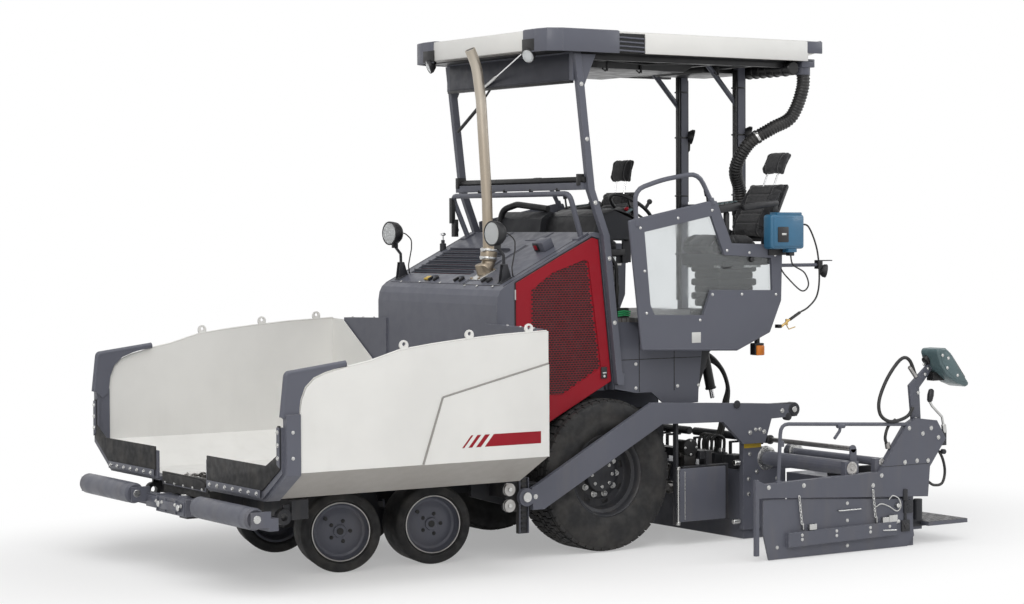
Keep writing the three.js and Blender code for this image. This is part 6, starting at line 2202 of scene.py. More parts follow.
def body_details():
    """Joints, hinges and fastenings on the body under the platform, and the services bay with its hoses."""
    seams = Shape()
    for side in (LEFT, RIGHT):
        y = side * 0.8002
        for x in (-0.33, -0.64):
            seams.block(
                ahead(x - 0.003, y - side * 0.001, 1.1), ahead(x + 0.003, y + side * 0.0012, 1.585)
            )
        seams.block(ahead(-0.88, y - side * 0.001, 1.33), ahead(-0.11, y + side * 0.0012, 1.335))
    piece("body_seams", seams, BLACK, "chassis", smooth=0)
    heads = Shape()
    for side in (LEFT, RIGHT):
        for x, z in (
            (-0.3, 1.13), (-0.3, 1.3), (-0.36, 1.55), (-0.61, 1.55), (-0.67, 1.13), (-0.86, 1.13),
            (-0.86, 1.55)
        ):
            bolts(heads, [ahead(x, side * 0.8, z)], (0, side, 0), 0.009, 0.006)
    piece("body_bolts", heads, ZINC, "chassis")
    bay = Shape()
    for side in (LEFT, RIGHT):
        bay.block(ahead(-0.24, side * 0.76, 1.632), ahead(-0.145, side * 0.8, 1.7))
        bay.tube(
            [
                ahead(-0.12, side * 0.7, 2.1), ahead(-0.175, side * 0.74, 2.0),
                ahead(-0.18, side * 0.74, 1.8), ahead(-0.2, side * 0.7, 1.68)
            ],
            0.014, 12, 0.06
        )
        bay.tube(
            [
                ahead(-0.11, side * 0.66, 2.05), ahead(-0.15, side * 0.71, 1.92),
                ahead(-0.22, side * 0.7, 1.86), ahead(-0.23, side * 0.66, 1.66)
            ],
            0.011, 12, 0.06
        )
    piece("service_hoses", bay, HOSE, "chassis", smooth=50)
    plates = Shape()
    for side in (LEFT, RIGHT):
        outline = [
            (-0.205, 1.7), (-0.165, 1.7), (-0.16, 1.86), (-0.14, 1.88), (-0.145, 2.06), (-0.19, 2.06),
            (-0.185, 1.9), (-0.21, 1.86)
        ]
        plates.plate(from_axle(outline), "y", side * 0.715, side * 0.719)
    piece("service_brackets", plates, ZINC, "chassis", edge=0.001)
    green = Shape()
    for side in (LEFT, RIGHT):
        for i in range(3):
            z = 1.645 + i * 0.014
            green.tube(
                [
                    ahead(-0.245, side * (0.806 + 0.004 * i), z), ahead(-0.19, side * 0.812, z + 0.006),
                    ahead(-0.138, side * 0.806, z)
                ],
                0.0055, 10
            )
    piece("green_hoses", green, GREEN, "chassis")


def lift_rams():
    """The screed's lift rams at the tail, left open at their rod eyes, with hoses and the rear horn."""
    for which, side in SIDES.items():
        y = side * 0.56
        top, low, foot = ahead(-1.095, y, 1.35), ahead(-1.158, y, 1.085), ahead(-1.176, y, 1.01)
        barrel = Shape().rod(top, low, 0.036, 28, 0.004)
        barrel.rod(top + Vector((0.0, 0, -0.01)), top + Vector((0.012, 0, 0.06)), 0.026, 20, 0.004)
        barrel.rod(low + (top - low) * 0.02, low - (top - low) * 0.03, 0.041, 28, 0.003)
        barrel.rod(
            top + (low - top) * 0.12 + Vector((0.03, 0, 0)),
            top + (low - top) * 0.12 + Vector((0.062, 0, 0.006)), 0.012, 12, 0.002
        )
        piece(f"lift_ram_{which}", barrel, BLACK, "chassis")
        rod = Shape().rod(low, foot, 0.017, 20)
        piece(f"lift_ram_rod_{which}", rod, CHROME, "chassis")
        hoses = Shape()
        for i in range(3):
            dy = side * (-0.1 - 0.028 * i)
            way = [
                ahead(-1.02, y + dy, 1.33 - 0.015 * i), ahead(-1.2 - 0.01 * i, y + dy, 1.33 - 0.02 * i),
                ahead(-1.33 - 0.012 * i, y + dy * 0.9, 1.22), ahead(
                    -1.385 - 0.014 * i, y + dy * 0.8, 1.08
                ),
                ahead(-1.38, y + dy * 0.8, 0.955), ahead(-1.345, y + dy * 0.8, 0.79),
                ahead(-1.312, y + dy * 0.8, 0.69), ahead(-1.305, y + dy * 0.8, 0.596),
            ]
            hoses.tube(catmull(way, 10), 0.0135, 14)
        middle_line = y - side * 0.1
        bend = ("screed", ahead(-1.33, middle_line, 1.23), ahead(-1.32, middle_line, 0.72))
        piece(f"screed_hoses_{which}", hoses, HOSE, "chassis", smooth=60, crosses=bend)
        horn = Shape().turned(
            [
                (0, 0), (0, 0.03), (0.02, 0.04), (0.05, 0.045), (0.06, 0.052), (0.066, 0.05),
                (0.06, 0.04), (0.03, 0.0)
            ],
            ahead(-0.985, side * 0.62, 1.29), (-0.3, side * 0.9, -0.1), 32
        )
        horn.block(ahead(-1.0, side * 0.585, 1.27), ahead(-0.96, side * 0.625, 1.36))
        piece(f"horn_{which}", horn, BLACK, "chassis", smooth=40)
        frame_of = Shape().block(ahead(-1.13, side * 0.52, 1.355), ahead(-0.9, side * 0.6, 1.4))
        frame_of.plate(
            from_axle([(-0.9, 1.1), (-0.9, 1.4), (-1.05, 1.4), (-0.93, 1.1)]), "y", side * 0.7,
            side * 0.712
        )
        piece(f"ram_bracket_{which}", frame_of, DARK, "chassis", edge=0.004)


def operator_place():
    for which, side in SIDES.items():
        side_panel(which, side)
    control_box()
    steering()
    dashboard()
    seats()
    body_details()
    lift_rams()


# ---------------------------------------------------------------- screed

FLAP_OUT = 1.899
CONSOLE_LEAN = 51
END_OUT = 1.881
END_MID = 1.868


def flanged_tubes(which, side):
    """The tubes the extension runs on: bright turned ends, their bolted flanges and end caps."""
    there = beside(side)
    slide = f"extension_{which}"
    rows = {
        "left": ((-1.385, 0.583, 0.052), (-1.66, 0.612, 0.03)),
        "right": ((-1.5, 0.583, 0.052), (-1.74, 0.612, 0.03))
    }
    for index, (x, z, r) in enumerate(rows[which]):
        collar = Shape().turned(
            [
                (-0.012, 0), (-0.012, r + 0.036), (0.003, r + 0.036), (0.005, r + 0.033),
                (0.005, r + 0.002), (0.005, 0)
            ],
            there(x, 0.931, z),
            (0, side, 0),
            48,
        )
        piece(f"tube_flange_{which}_{index}", collar, ZINC, "screed", smooth=40)
        ring = BOLT_CIRCLE.make(ZINC, Count=8, Radius=r + 0.022, Head=0.0062, Height=0.0035)
        piece(
            f"tube_flange_bolts_{which}_{index}",
            Shape().taken(ring, facing(there(x, 0.9358, z), (0, side, 0), (1, 0, 0))), ZINC, "screed"
        )
        cap = Shape().turned(
            [
                (0, 0), (0, r - 0.006), (0.003, r - 0.004), (0.006, r * 0.62), (0.003, r * 0.58),
                (0.003, r * 0.3), (0.01, r * 0.24), (0.01, 0)
            ],
            there(x, 1.8575, z),
            (0, side, 0),
            40,
        )
        piece(f"tube_cap_{which}_{index}", cap, STEEL, slide, smooth=35)
        caps = BOLT_CIRCLE.make(ZINC, Count=6, Radius=r * 0.74, Head=0.0048, Height=0.004)
        piece(
            f"tube_cap_bolts_{which}_{index}",
            Shape().taken(caps, facing(there(x, 1.8595, z), (0, side, 0), (1, 0, 0))), ZINC, slide
        )


def width_ram(which, side):
    """The ram that runs the extension out: its barrel lies along the screed and its rod slides into it."""
    there = beside(side)
    x, z = -1.42, 0.715
    barrel = Shape().rod(there(x, 0.03, z), there(x, 0.925, z), 0.03, 24, 0.004)
    barrel.rod(there(x, 0.917, z), there(x, 0.936, z), 0.034, 24, 0.003)
    piece(f"width_ram_barrel_{which}", barrel, DARK, "screed")
    rod = Shape().rod(there(x, 0.912, z), there(x, 1.82, z), 0.018, 24, 0.002)
    lug = Shape().block(there(x - 0.03, 1.818, 0.535), there(x + 0.026, 1.834, z))
    lug.rod(there(x, 1.818, z), there(x, 1.834, z), 0.028, 28, 0.002)
    piece(f"width_ram_lug_{which}", lug, GREY, f"extension_{which}", edge=0.003)
    piece(f"width_ram_rod_{which}", rod, STEEL, f"extension_{which}", edge=0.003)


def end_frame_details(which, side):
    """Bolts, the folded top edge, the seam and the gate's fittings on the outer end of an extension."""
    there = beside(side)
    slide = f"extension_{which}"
    y = side * END_OUT
    heads = Shape()
    frame_bolts = [
        (-0.62, 0.5), (-0.93, 0.495), (-1.56, 0.455), (-1.64, 0.52), (-1.86, 0.6), (-1.975, 0.605)
    ]
    frame_bolts += [(-2.08, 0.6), (-2.03, 0.795), (-2.11, 0.83), (-1.9, 0.84), (-2.18, 0.76)]
    bolts(heads, [ahead(x, y, z) for x, z in frame_bolts], (0, side, 0), 0.011, 0.008)
    board_bolts = [
        (-0.9, 0.128), (-0.9, 0.158), (-1.21, 0.132), (-1.21, 0.164), (-1.52, 0.134), (-1.52, 0.164),
        (-1.7, 0.16)
    ]
    bolts(heads, [there(x, FLAP_OUT, z) for x, z in board_bolts], (0, side, 0), 0.008, 0.005)
    gate_y = side * 1.872
    bolts(
        heads,
        [ahead(x, gate_y, z) for x, z in [(-1.33, 0.345), (-1.33, 0.225), (-0.7, 0.085), (-1.33, 0.05)]],
        (0, side, 0), 0.009, 0.007
    )
    piece(f"end_frame_bolts_{which}", heads, ZINC, slide)
    edge = Shape()
    top = [(-0.602, 0.5215), (-1.624, 0.5455), (-1.878, 0.8635), (-1.973, 0.9085)]
    for (ax, az), (bx, bz) in zip(top, top[1:]):
        a, b = ahead(ax, y - side * 0.03, az), ahead(bx, y - side * 0.03, bz)
        run = (b - a).length
        turn = Matrix.Rotation(-math.atan2(b.z - a.z, b.x - a.x), 3, "Y")
        centre = (a + b) / 2
        edge.block(
            centre - Vector((run / 2, 0.018, 0.002)), centre + Vector((run / 2, 0.03, 0.003)), turn,
            centre
        )
    piece(f"end_frame_lip_{which}", edge, GREY, slide, edge=0.001)
    seam = Shape().block(ahead(-2.09, y - side * 0.001, 0.5785), ahead(-1.64, y + side * 0.0012, 0.5815))
    piece(f"end_frame_seam_{which}", seam, BLACK, slide, smooth=0)
    chain = LINK_CHAIN.make(ZINC, Count=9, Pitch=0.022, Wire=0.0034)
    hung = Shape()
    for x in (-0.885, -1.555):
        start = there(x, 1.8865, 0.415)
        hung.taken(chain, Matrix.Translation(start) @ Matrix.Rotation(math.radians(7), 4, "Y"))
    piece(f"gate_chains_{which}", hung, ZINC, slide)
    hooks = Shape()
    for x in (-0.885, -1.555):
        hooks.tube([there(x, 1.876, 0.428), there(x, 1.892, 0.424), there(x, 1.892, 0.41)], 0.004, 10)
        hooks.block(there(x - 0.035, 1.873, 0.192), there(x - 0.028, 1.894, 0.236))
        hooks.block(there(x - 0.15, 1.873, 0.186), there(x - 0.085, 1.896, 0.226))
    hooks.tube(
        [
            there(-1.24, 1.873, 0.3), there(-1.24, 1.892, 0.3), there(-1.44, 1.892, 0.3),
            there(-1.44, 1.873, 0.3)
        ],
        0.0045, 10, 0.008
    )
    piece(f"gate_hooks_{which}", hooks, ZINC, slide, edge=0.002)
    lead = Shape()
    way = [
        there(-1.59, 1.874, 0.3), there(-1.63, 1.888, 0.322), there(-1.7, 1.89, 0.3),
        there(-1.775, 1.888, 0.262)
    ]
    way += [
        there(-1.815, 1.886, 0.29), there(-1.8, 1.884, 0.345), there(-1.745, 1.882, 0.372),
        there(-1.715, 1.874, 0.345)
    ]
    lead.tube(catmull(way, 8), 0.004, 10)
    piece(f"gate_heater_lead_{which}", lead, LABEL, slide, smooth=60)
    latch = Shape().tube(
        [
            there(-1.64, 1.894, 0.136), there(-1.64, 1.902, 0.136), there(-1.762, 1.902, 0.13),
            there(-1.762, 1.894, 0.13)
        ],
        0.005, 10, 0.006
    )
    latch.block(there(-1.775, 1.872, 0.175), there(-1.7, 1.898, 0.236))
    latch.rod(there(-1.785, 1.872, 0.3), there(-1.785, 1.9, 0.3), 0.016, 20, 0.003)
    latch.rod(there(-1.785, 1.872, 0.19), there(-1.785, 1.902, 0.19), 0.013, 20, 0.003)
    piece(f"gate_latch_{which}", latch, ZINC, slide, edge=0.002)
    valve = Shape().block(there(-1.93, 1.858, 0.24), there(-1.85, 1.888, 0.33))
    valve.block(there(-1.905, 1.86, 0.11), there(-1.83, 1.884, 0.19))
    valve.rod(there(-1.89, 1.88, 0.285), there(-1.89, 1.896, 0.285), 0.02, 20, 0.003)
    valve.rod(there(-1.868, 1.88, 0.15), there(-1.868, 1.896, 0.15), 0.022, 20, 0.003)
    valve.rod(there(-1.868, 1.872, 0.19), there(-1.868, 1.872, 0.25), 0.013, 16, 0.002)
    valve.rod(there(-1.86, 1.88, 0.33), there(-1.86, 1.88, 0.41), 0.02, 18, 0.003)
    valve.rod(there(-2.01, 1.85, 0.18), there(-2.01, 1.85, 0.33), 0.032, 22, 0.004)
    piece(f"gate_height_gear_{which}", valve, DARK, slide, edge=0.004)
    rail_lugs = Shape()
    for x, z in ((-0.712, 0.52), (-0.735, 0.79)):
        rail_lugs.block(there(x - 0.022, 1.858, z - 0.02), there(x + 0.016, 1.88, z + 0.02))
    rail_lugs.tube(
        [there(-1.27, END_MID, 0.884), there(-1.262, END_MID, 0.85), there(-1.215, END_MID, 0.8)], 0.011,
        12
    )
    rail_lugs.rod(there(-1.305, END_MID, 0.886), there(-1.24, END_MID, 0.889), 0.018, 18, 0.003)
    piece(f"rail_lugs_{which}", rail_lugs, GREY, slide, edge=0.003)


def remote_console(which, side):
    """The rounded console on its cranked arm, with keys, cable loops and the height crank."""
    there = beside(side)
    slide = f"extension_{which}"
    outline = [
        (-2.092, 1.398), (-2.165, 1.402), (-2.215, 1.365), (-2.29, 1.265), (-2.385, 1.15), (-2.385, 1.128)
    ]
    outline += [(-2.355, 1.12), (-2.27, 1.15), (-2.17, 1.215), (-2.11, 1.29), (-2.08, 1.37)]
    shell = Shape().plate(from_axle(outline), "y", side * 1.796, side * 1.976)
    arm = Shape()
    spine = [(-1.96, 0.83), (-1.925, 1.14), (-2.115, 1.29), (-2.16, 1.262), (-2.02, 1.12), (-2.04, 0.83)]
    arm.plate(from_axle(spine), "y", side * 1.832, side * 1.838)
    arm.plate(from_axle(spine), "y", side * 1.848, side * 1.854)
    arm.plate([(ahead(x * 0.999 - 0.002).x, z) for x, z in spine], "y", side * 1.837, side * 1.849)
    piece(f"console_arm_{which}", arm, GREY, slide, edge=0.002)
    piece(
        f"console_shell_{which}", rounded(shell.mesh("shell"), 0.02, 4), TEAL, slide,
        replaces=(f"screed_console_{which}",)
    )
    face = there(-2.298, 1.886, 1.266)
    lean = Matrix.Rotation(math.radians(-CONSOLE_LEAN), 3, "Y")
    panel = Shape().block(
        face - Vector((0.105, 0.07, 0.002)), face + Vector((0.105, 0.07, 0.007)), lean, face
    )
    piece(f"console_face_{which}", panel, PLASTIC, slide, edge=0.003)
    keys = Shape()
    for i in range(6):
        for j in range(4):
            spot = face + lean @ Vector((-0.085 + i * 0.034, -0.048 + j * 0.032, 0.008))
            keys.cube(spot, (0.01, 0.01, 0.003), lean)
    piece(f"console_keys_{which}", keys, TEAL, slide, edge=0.002)
    band = Shape()
    for y in (1.7935, 1.9755):
        inset = [
            (-2.106, 1.372), (-2.16, 1.378), (-2.2, 1.345), (-2.35, 1.152), (-2.262, 1.172),
            (-2.178, 1.235), (-2.126, 1.3)
        ]
        band.plate(from_axle(inset), "y", side * y, side * (y + 0.004))
    piece(f"console_cheeks_{which}", band, TEAL, slide, edge=0.004)
    studs = bolts(
        Shape(),
        [there(x, 1.98, z) for x, z in [(-2.125, 1.352), (-2.18, 1.33), (-2.17, 1.262), (-2.27, 1.205)]],
        (0, side, 0), 0.008, 0.004
    )
    bolts(
        studs,
        [
            there(x, 1.855, z) for x,
            z in [(-2.075, 1.215), (-2.01, 1.085), (-1.985, 0.9), (-2.065, 1.285), (-2.105, 1.255)]
        ],
        (0, side, 0), 0.009, 0.006
    )
    piece(f"console_screws_{which}", studs, ZINC, slide)
    grips = Shape().block(there(-2.24, 1.81, 1.165), there(-2.13, 1.88, 1.225))
    grips.rod(there(-2.085, 1.843, 1.3), there(-2.12, 1.843, 1.33), 0.034, 24, 0.006)
    piece(f"console_bracket_{which}", grips, BLACK, slide, edge=0.004)
    cable = Shape()
    way = [
        there(-1.995, 1.845, 1.2), there(-1.905, 1.876, 1.32), there(-1.82, 1.88, 1.33),
        there(-1.7, 1.88, 1.21)
    ]
    way += [
        there(-1.62, 1.88, 1.06), there(-1.625, 1.88, 0.955), there(-1.7, 1.88, 0.9),
        there(-1.8, 1.88, 0.9)
    ]
    way += [there(-1.89, 1.88, 0.93), there(-1.935, 1.88, 0.985)]
    cable.tube(catmull(way, 10), 0.0125, 14)
    low = [
        there(-1.79, 1.858, 0.905), there(-1.73, 1.85, 0.86), there(-1.705, 1.845, 0.78),
        there(-1.735, 1.835, 0.72)
    ]
    cable.tube(catmull(low, 8), 0.011, 14)
    back = [
        there(-2.12, 1.845, 0.72), there(-2.24, 1.835, 0.64), there(-2.29, 1.83, 0.52),
        there(-2.265, 1.83, 0.425), there(-2.18, 1.835, 0.415), there(-2.11, 1.84, 0.45)
    ]
    cable.tube(catmull(back, 8), 0.01, 14)
    piece(f"console_cables_{which}", cable, HOSE, slide, smooth=60)
    glands = Shape().rod(there(-1.995, 1.845, 1.2), there(-1.928, 1.853, 1.272), 0.017, 18, 0.003)
    glands.rod(there(-1.74, 1.838, 0.7), there(-1.732, 1.836, 0.745), 0.02, 18, 0.003)
    piece(f"console_glands_{which}", glands, STEEL, slide)
    crank = Shape().tube(
        [
            there(-2.24, END_MID, 0.84), there(-2.225, END_MID, 0.905), there(-2.13, END_MID, 0.985),
            there(-2.105, END_MID, 1.02)
        ],
        0.0095, 14
    )
    crank.rod(there(-2.25, END_MID, 0.79), there(-2.24, END_MID, 0.85), 0.018, 20, 0.003)
    piece(f"height_crank_{which}", crank, ZINC, slide)
    knob = Shape().turned(
        [(0, 0), (0, 0.012), (0.012, 0.02), (0.05, 0.024), (0.085, 0.02), (0.095, 0.01), (0.096, 0)],
        there(-2.104, END_MID, 1.015), (-0.22, 0, 1), 26
    )
    piece(f"height_crank_knob_{which}", knob, PLASTIC, slide, smooth=50)
    gear = Shape().block(there(-2.26, 1.82, 0.7), there(-2.19, 1.88, 0.8))
    gear.rod(there(-2.235, 1.855, 0.655), there(-2.235, 1.889, 0.655), 0.018, 18, 0.003)
    piece(f"height_gear_{which}", gear, DARK, slide, edge=0.006)


def steps(which, side):
    """The step at the tail of each extension: studded tread with its holes, and its hangers."""
    there = beside(side)
    slide = f"extension_{which}"
    tread = Shape().block(there(-2.486, 0.94, 0.1555), there(-2.114, 1.85, 0.158))
    piece(f"step_tread_{which}", tread, TREAD_PLATE, slide)
    # The tread's holes are black squares: painted shade standing for the openings.
    grid = SLOT_ROWS.make(
        BLACK, Columns=22, Rows=7, Pitch=0.04, Row_pitch=0.048, Shift=0.02, Size=(0.013, 0.013, 0.001)
    )
    holes = Shape().taken(grid, facing(there(-2.3, 1.395, 0.1582), (0, 0, 1), (1, 0, 0)))
    piece(f"step_hole_shade_{which}", holes, BLACK, slide, smooth=0)
    hangers = Shape()
    for y in (1.02, 1.77):
        outline = [
            (-1.965, 0.12), (-1.965, 0.33), (-2.01, 0.33), (-2.08, 0.2), (-2.15, 0.15), (-2.15, 0.12)
        ]
        hangers.plate(from_axle(outline), "y", side * (y - 0.006), side * (y + 0.006))
        hangers.rod(there(-2.02, y - 0.02, 0.28), there(-2.02, y + 0.02, 0.28), 0.014, 18, 0.003)
    piece(f"step_hangers_{which}", hangers, DARK, slide, edge=0.001)


def screed_top(which, side):
    """Fittings on top of the screed and the extension: manifolds, hose runs, brackets, tie bars and a
    vibrator motor.
    """
    there = beside(side)
    manifold = Shape().block(there(-1.322, 0.36, 0.498), there(-1.2, 0.56, 0.6))
    manifold.block(there(-1.322, 0.64, 0.498), there(-1.2, 0.78, 0.6))
    for y in (0.17, 0.3, 0.6, 0.82):
        manifold.block(there(-1.322, y - 0.012, 0.498), there(-1.3, y + 0.012, 0.686))
        manifold.block(there(-1.44, y - 0.012, 0.672), there(-1.3, y + 0.012, 0.688))
    piece(f"screed_manifold_{which}", manifold, DARK, "screed", edge=0.008)
    hoses = Shape()
    for i in range(4):
        y = 0.38 + 0.05 * i
        way = [
            there(-1.305, y, 0.595), there(-1.308, y, 0.665 + 0.008 * i), there(-1.285, y - 0.01, 0.715)
        ]
        way += [
            there(-1.24, y - 0.02, 0.722), there(-1.208, y - 0.02, 0.68), there(-1.208, y - 0.02, 0.59)
        ]
        hoses.tube(catmull(way, 8), 0.0115, 12)
    piece(f"screed_top_hoses_{which}", hoses, HOSE, "screed", smooth=60)
    ends = Shape()
    for i in range(4):
        y = 0.38 + 0.05 * i
        ends.rod(there(-1.305, y, 0.596), there(-1.305, y, 0.628), 0.0155, 6)
        ends.rod(there(-1.208, y - 0.02, 0.59), there(-1.208, y - 0.02, 0.62), 0.0155, 6)
    piece(f"screed_hose_ends_{which}", ends, ZINC, "screed")
    slide = f"extension_{which}"
    frame_of = Shape().block(there(-1.86, 1.3, 0.47), there(-1.64, 1.33, 0.56))
    frame_of.block(there(-1.86, 1.56, 0.47), there(-1.64, 1.59, 0.56))
    piece(f"extension_brackets_{which}", frame_of, DARK, slide, edge=0.004)
    bars = Shape()
    for x in (-1.84, -1.88, -1.92):
        bars.rod(there(x, 0.945, 0.487), there(x, 1.85, 0.487), 0.0165, 16, 0.002)
    piece(f"extension_heater_bars_{which}", bars, DARK, slide)
    motor = Shape().rod(there(-1.75, 1.38, 0.515), there(-1.75, 1.52, 0.515), 0.042, 24, 0.006)
    motor.block(there(-1.8, 1.345, 0.47), there(-1.7, 1.385, 0.565))
    piece(f"vibrator_motor_{which}", motor, BLACK, slide, edge=0.005)


def screed_sides(which, side):
    """The bolts, stops, lift arm and label of a side plate at the end of the main screed."""
    there = beside(side)
    y = side * 0.932
    heads = bolts(
        Shape(),
        [
            ahead(x, y, z) for x,
            z in [
                (-1.215, 0.44), (-1.215, 0.33), (-1.29, 0.49), (-1.48, 0.43), (-1.48, 0.33),
                (-1.225, 0.62)
            ]
        ],
        (0, side, 0), 0.011, 0.008
    )
    piece(f"side_plate_bolts_{which}", heads, ZINC, "screed")
    label = Shape().block(there(-1.33, 0.9315, 0.665), there(-1.172, 0.9335, 0.755))
    piece(f"side_plate_yellow_{which}", label, YELLOW, "screed", edge=0.0003)
    stops = Shape().rod(there(-1.15, 0.905, 0.56), there(-1.1, 0.905, 0.56), 0.02, 20, 0.004)
    stops.rod(there(-1.15, 0.905, 0.135), there(-1.09, 0.905, 0.135), 0.018, 20, 0.004)
    piece(f"side_plate_stops_{which}", stops, ZINC, "screed")
    arm = Shape().block(there(-1.62, 0.915, 0.966), there(-1.33, 0.966, 0.98))
    arm.rod(there(-1.612, 0.905, 0.93), there(-1.612, 0.974, 0.93), 0.052, 32, 0.005)
    arm.rod(there(-1.56, 0.925, 0.88), there(-1.56, 0.972, 0.88), 0.03, 24, 0.004)
    arm.rod(there(-1.075, 0.968, 0.99), there(-1.075, 0.978, 0.99), 0.03, 24, 0.003)
    piece(f"arm_end_bosses_{which}", arm, DARK, "screed", edge=0.003)
    pins = Shape().rod(there(-1.612, 0.973, 0.93), there(-1.612, 0.977, 0.93), 0.022, 24, 0.002)
    bolts(
        pins, [there(x, 0.968, z) for x, z in [(-1.5, 0.925), (-1.2, 0.78), (-1.33, 0.78), (0.67, 0.44)]],
        (0, side, 0), 0.012, 0.008
    )
    bolts(pins, [there(x, 0.969, 0.8) for x in (-1.25, -1.29)], (0, side, 0), 0.01, 0.007)
    piece(f"arm_bolts_{which}", pins, ZINC, "screed")


def tail_box(which, side):
    """The box hung behind the rear wheel, its bright hinge rod, the bracket and the auger motor."""
    there = beside(side)
    shell = Shape().block(there(-1.01, 0.9, 0.168), there(-0.592, 0.924, 0.548))
    piece(f"tail_box_{which}", shell, GREY, "chassis", edge=0.006)
    rod = Shape().rod(there(-0.583, 0.921, 0.148), there(-0.583, 0.921, 0.562), 0.0085, 16, 0.002)
    for z in (0.16, 0.552):
        rod.rod(there(-0.583, 0.921, z - 0.012), there(-0.583, 0.921, z + 0.012), 0.016, 18, 0.003)
    rod.rod(there(-0.64, 0.9245, 0.185), there(-0.64, 0.9245, 0.53), 0.0035, 10)
    piece(f"tail_box_hinge_{which}", rod, ZINC, "chassis")
    rail = Shape().block(there(-0.592, 0.87, 0.15), there(-0.572, 0.912, 0.96))
    rail.plate(
        from_axle([(-0.54, 0.93), (-0.65, 0.93), (-0.65, 0.985), (-0.51, 0.985)]), "y", side * 0.86,
        side * 0.872
    )
    piece(f"tail_box_rail_{which}", rail, DARK, "chassis", edge=0.003)
    motor_at = there(-0.735, 0.72, 0.69)
    motor = Shape().rod(motor_at, motor_at + Vector((0, side * 0.14, 0)), 0.05, 28, 0.008)
    motor.rod(
        motor_at + Vector((0, side * 0.13, 0)), motor_at + Vector((0, side * 0.152, 0)), 0.064, 28, 0.004
    )
    motor.block(there(-0.785, 0.76, 0.55), there(-0.685, 0.86, 0.64))
    motor.rod(there(-0.8, 0.82, 0.64), there(-0.66, 0.82, 0.64), 0.02, 20, 0.004)
    piece(f"tail_motor_{which}", motor, BLACK, "chassis", edge=0.005)
    ring = BOLT_CIRCLE.make(ZINC, Count=4, Radius=0.05, Head=0.007, Height=0.006)
    heads = Shape().taken(ring, facing(motor_at + Vector((0, side * 0.152, 0)), (0, side, 0), (1, 0, 0)))
    piece(f"tail_motor_bolts_{which}", heads, ZINC, "chassis")
    wipers = Shape().plate(
        from_axle([(-0.61, 0.2), (-0.69, 0.33), (-0.712, 0.33), (-0.712, 0.215), (-0.65, 0.18)]), "y",
        side * 0.835, side * 0.848
    )
    wipers.rod(there(-0.655, 0.825, 0.245), there(-0.655, 0.865, 0.245), 0.014, 18, 0.003)
    piece(f"wheel_wiper_{which}", wipers, ZINC, "chassis", edge=0.002)


def screed():
    for which, side in SIDES.items():
        flanged_tubes(which, side)
        width_ram(which, side)
        end_frame_details(which, side)
        remote_console(which, side)
        steps(which, side)
        screed_top(which, side)
        screed_sides(which, side)
        tail_box(which, side)


PIECES = [wheels, hood, front_end, roof, operator_place, screed]


# ---------------------------------------------------------------- the CAD nodes' finishes

CAD_FINISHES = {
    "main_frame": DARK, "conveyor_floor": TARRED, "centre_flap": RUBBER, "push_beam": GREY,
    "hood_shell": GREY, "hood_lid": GREY, "engine_block": DARK, "exhaust_pipe": EXHAUST, "rear_body": GREY,
    "platform_floor": TREAD_PLATE, "front_hand_rail": GREY, "canopy_front_frame": GREY,
    "canopy_rear_frame": GREY, "canopy_roof": WHITE, "operator_console": DARK, "steering_wheel": PLASTIC,
    "air_duct": RUBBER, "control_box": BLUE, "auger_mount": DARK, "screed_main": GREY,
}
SIDE_FINISHES = {
    "frame_side": DARK, "front_knuckle": DARK, "front_wheel": TYRE, "middle_knuckle": DARK,
    "middle_wheel": TYRE, "rear_wheel": TYRE, "hopper_wing": WHITE, "wing_front": GREY,
    "push_roller": GREY, "side_door": RED, "hood_lamp": DARK, "side_panel": GREY, "seat_base": DARK,
    "seat_cushion": CLOTH, "seat_back": CLOTH, "auger": TARRED, "tow_arm": GREY,
    "screed_extension": GREY, "end_gate": GREY, "screed_console": PLASTIC,
}


def finish_cad_nodes():
    """Gives every CAD node its finish."""
    for name, thing in frame["nodes"].items():
        stem = name.rsplit("_", 1)[0]
        finish = CAD_FINISHES.get(name) or SIDE_FINISHES[stem]
        thing.data.materials.clear()
        thing.data.materials.append(finish)


# ---------------------------------------------------------------- camera, light and floor

CAMERA_AT = Vector((9.4161, 14.3774, 2.2884))
CAMERA_YAW = math.radians(-123.3674)
CAMERA_PITCH = math.radians(-1.8553)
CAMERA_ROLL = math.radians(-0.2449)
LENS_MM = 83.8
SENSOR_MM = 36

WORLD_ON_THE_MACHINE = 0.42
# Each lamp: its place, where it looks, its width and height, its watts and its colour.
LAMPS = {
    "sky_panel": ((2, 3, 11), (0, 0, 1), (11, 9), 610, (1, 1, 1)),
    "key_panel": ((8, 9, 7), (0, 0, 1.5), (5, 4), 400, (1.0, 0.985, 0.96)),
    "rear_panel": ((-9, 5, 6), (0, 0, 1.5), (4, 4), 150, (0.95, 0.97, 1.0)),
}

FLOOR_HALF = 40
FLOOR_COLOUR = (0.86, 0.86, 0.86)
FLOOR_OVAL = (0.25, 0.42, 1)
FLOOR_FADE = (0.75, 1.45)
FLOOR_WHITE_NEAR = 0.35


def place_camera():
    data = bpy.data.cameras.new("camera")
    data.lens = LENS_MM
    data.sensor_width = SENSOR_MM
    data.clip_end = 200
    camera = bpy.data.objects.new("camera", data)
    bpy.context.scene.collection.objects.link(camera)
    yaw, pitch = CAMERA_YAW, CAMERA_PITCH
    ahead_of = Vector((math.cos(yaw) * math.cos(pitch), math.sin(yaw) * math.cos(pitch), math.sin(pitch)))
    right = ahead_of.cross(Vector((0, 0, 1))).normalized()
    up = right.cross(ahead_of)
    across = right * math.cos(CAMERA_ROLL) + up * math.sin(CAMERA_ROLL)
    upward = up * math.cos(CAMERA_ROLL) - right * math.sin(CAMERA_ROLL)
    turn = Matrix((across, upward, -ahead_of)).transposed().to_4x4()
    camera.matrix_world = Matrix.Translation(CAMERA_AT) @ turn
    bpy.context.scene.camera = camera


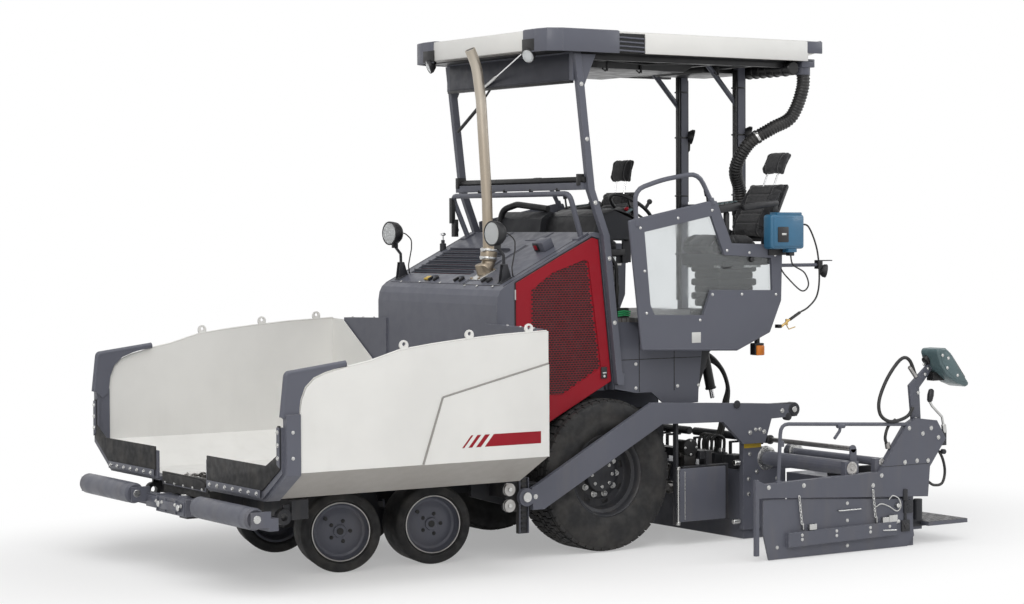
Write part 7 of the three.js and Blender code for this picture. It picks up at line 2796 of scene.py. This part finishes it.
def area_light(name, at, towards, size, power, colour):
    data = bpy.data.lights.new(name, "AREA")
    data.shape = "RECTANGLE"
    data.size, data.size_y = size
    data.energy = power
    data.color = colour
    light = bpy.data.objects.new(name, data)
    bpy.context.scene.collection.objects.link(light)
    light.location = at
    light.rotation_euler = (Vector(towards) - Vector(at)).to_track_quat("-Z", "Y").to_euler()


def seen_directly(tree):
    """1 for rays from the camera, from gloss and through glass."""
    path = tree.nodes.new("ShaderNodeLightPath")
    total = None
    for name in ("Is Camera Ray", "Is Glossy Ray", "Is Transmission Ray"):
        if total is None:
            total = path.outputs[name]
            continue
        both = tree.nodes.new("ShaderNodeMath")
        both.operation = "MAXIMUM"
        tree.links.new(total, both.inputs[0])
        tree.links.new(path.outputs[name], both.inputs[1])
        total = both.outputs[0]
    return total


def light_studio():
    world = bpy.data.worlds.new("studio")
    bpy.context.scene.world = world
    world.use_nodes = True
    tree = world.node_tree
    strength = tree.nodes.new("ShaderNodeMapRange")
    strength.inputs["To Min"].default_value = WORLD_ON_THE_MACHINE
    strength.inputs["To Max"].default_value = 1.0
    tree.links.new(seen_directly(tree), strength.inputs["Value"])
    tree.nodes["Background"].inputs["Color"].default_value = (1, 1, 1, 1)
    tree.links.new(strength.outputs["Result"], tree.nodes["Background"].inputs["Strength"])
    for name, lamp in LAMPS.items():
        area_light(name, *lamp)


def lay_floor():
    """A pale floor that takes the machine's shadow and is lost in the white behind it."""
    corners = [(-FLOOR_HALF, -FLOOR_HALF, 0), (FLOOR_HALF, -FLOOR_HALF, 0)]
    corners += [(FLOOR_HALF, FLOOR_HALF, 0), (-FLOOR_HALF, FLOOR_HALF, 0)]
    sheet = Shape().add(corners, [(0, 1, 2, 3)])
    floor = bpy.data.objects.new("floor", sheet.mesh("floor"))
    bpy.context.scene.collection.objects.link(floor)
    pale = Finish("pale_floor")
    pale.set(Base_Color=(*FLOOR_COLOUR, 1), Roughness=0.9)
    white = pale.node("ShaderNodeEmission")
    white.inputs["Color"].default_value = (1, 1, 1, 1)
    oval = pale.node("ShaderNodeMapping")
    pale.feed(oval.inputs["Vector"], pale.place)
    oval.inputs["Scale"].default_value = FLOOR_OVAL
    length = pale.node("ShaderNodeVectorMath", operation="LENGTH")
    pale.feed(length.inputs[0], oval.outputs["Vector"])
    far = pale.between(length.outputs["Value"], *FLOOR_FADE, FLOOR_WHITE_NEAR)
    mix = pale.node("ShaderNodeMixShader")
    pale.feed(mix.inputs[0], pale.math("MULTIPLY", far, seen_directly(pale.tree)))
    pale.feed(mix.inputs[1], pale.shader.outputs[0])
    pale.feed(mix.inputs[2], white.outputs[0])
    pale.feed(pale.tree.nodes["Material Output"].inputs["Surface"], mix.outputs[0])
    floor.data.materials.append(pale.material)


# ---------------------------------------------------------------- the whole machine


def build():
    place_camera()
    finish_cad_nodes()
    for make in PIECES:
        make()
    light_studio()
    lay_floor()
    bpy.context.scene.view_settings.view_transform = "Standard"


build()
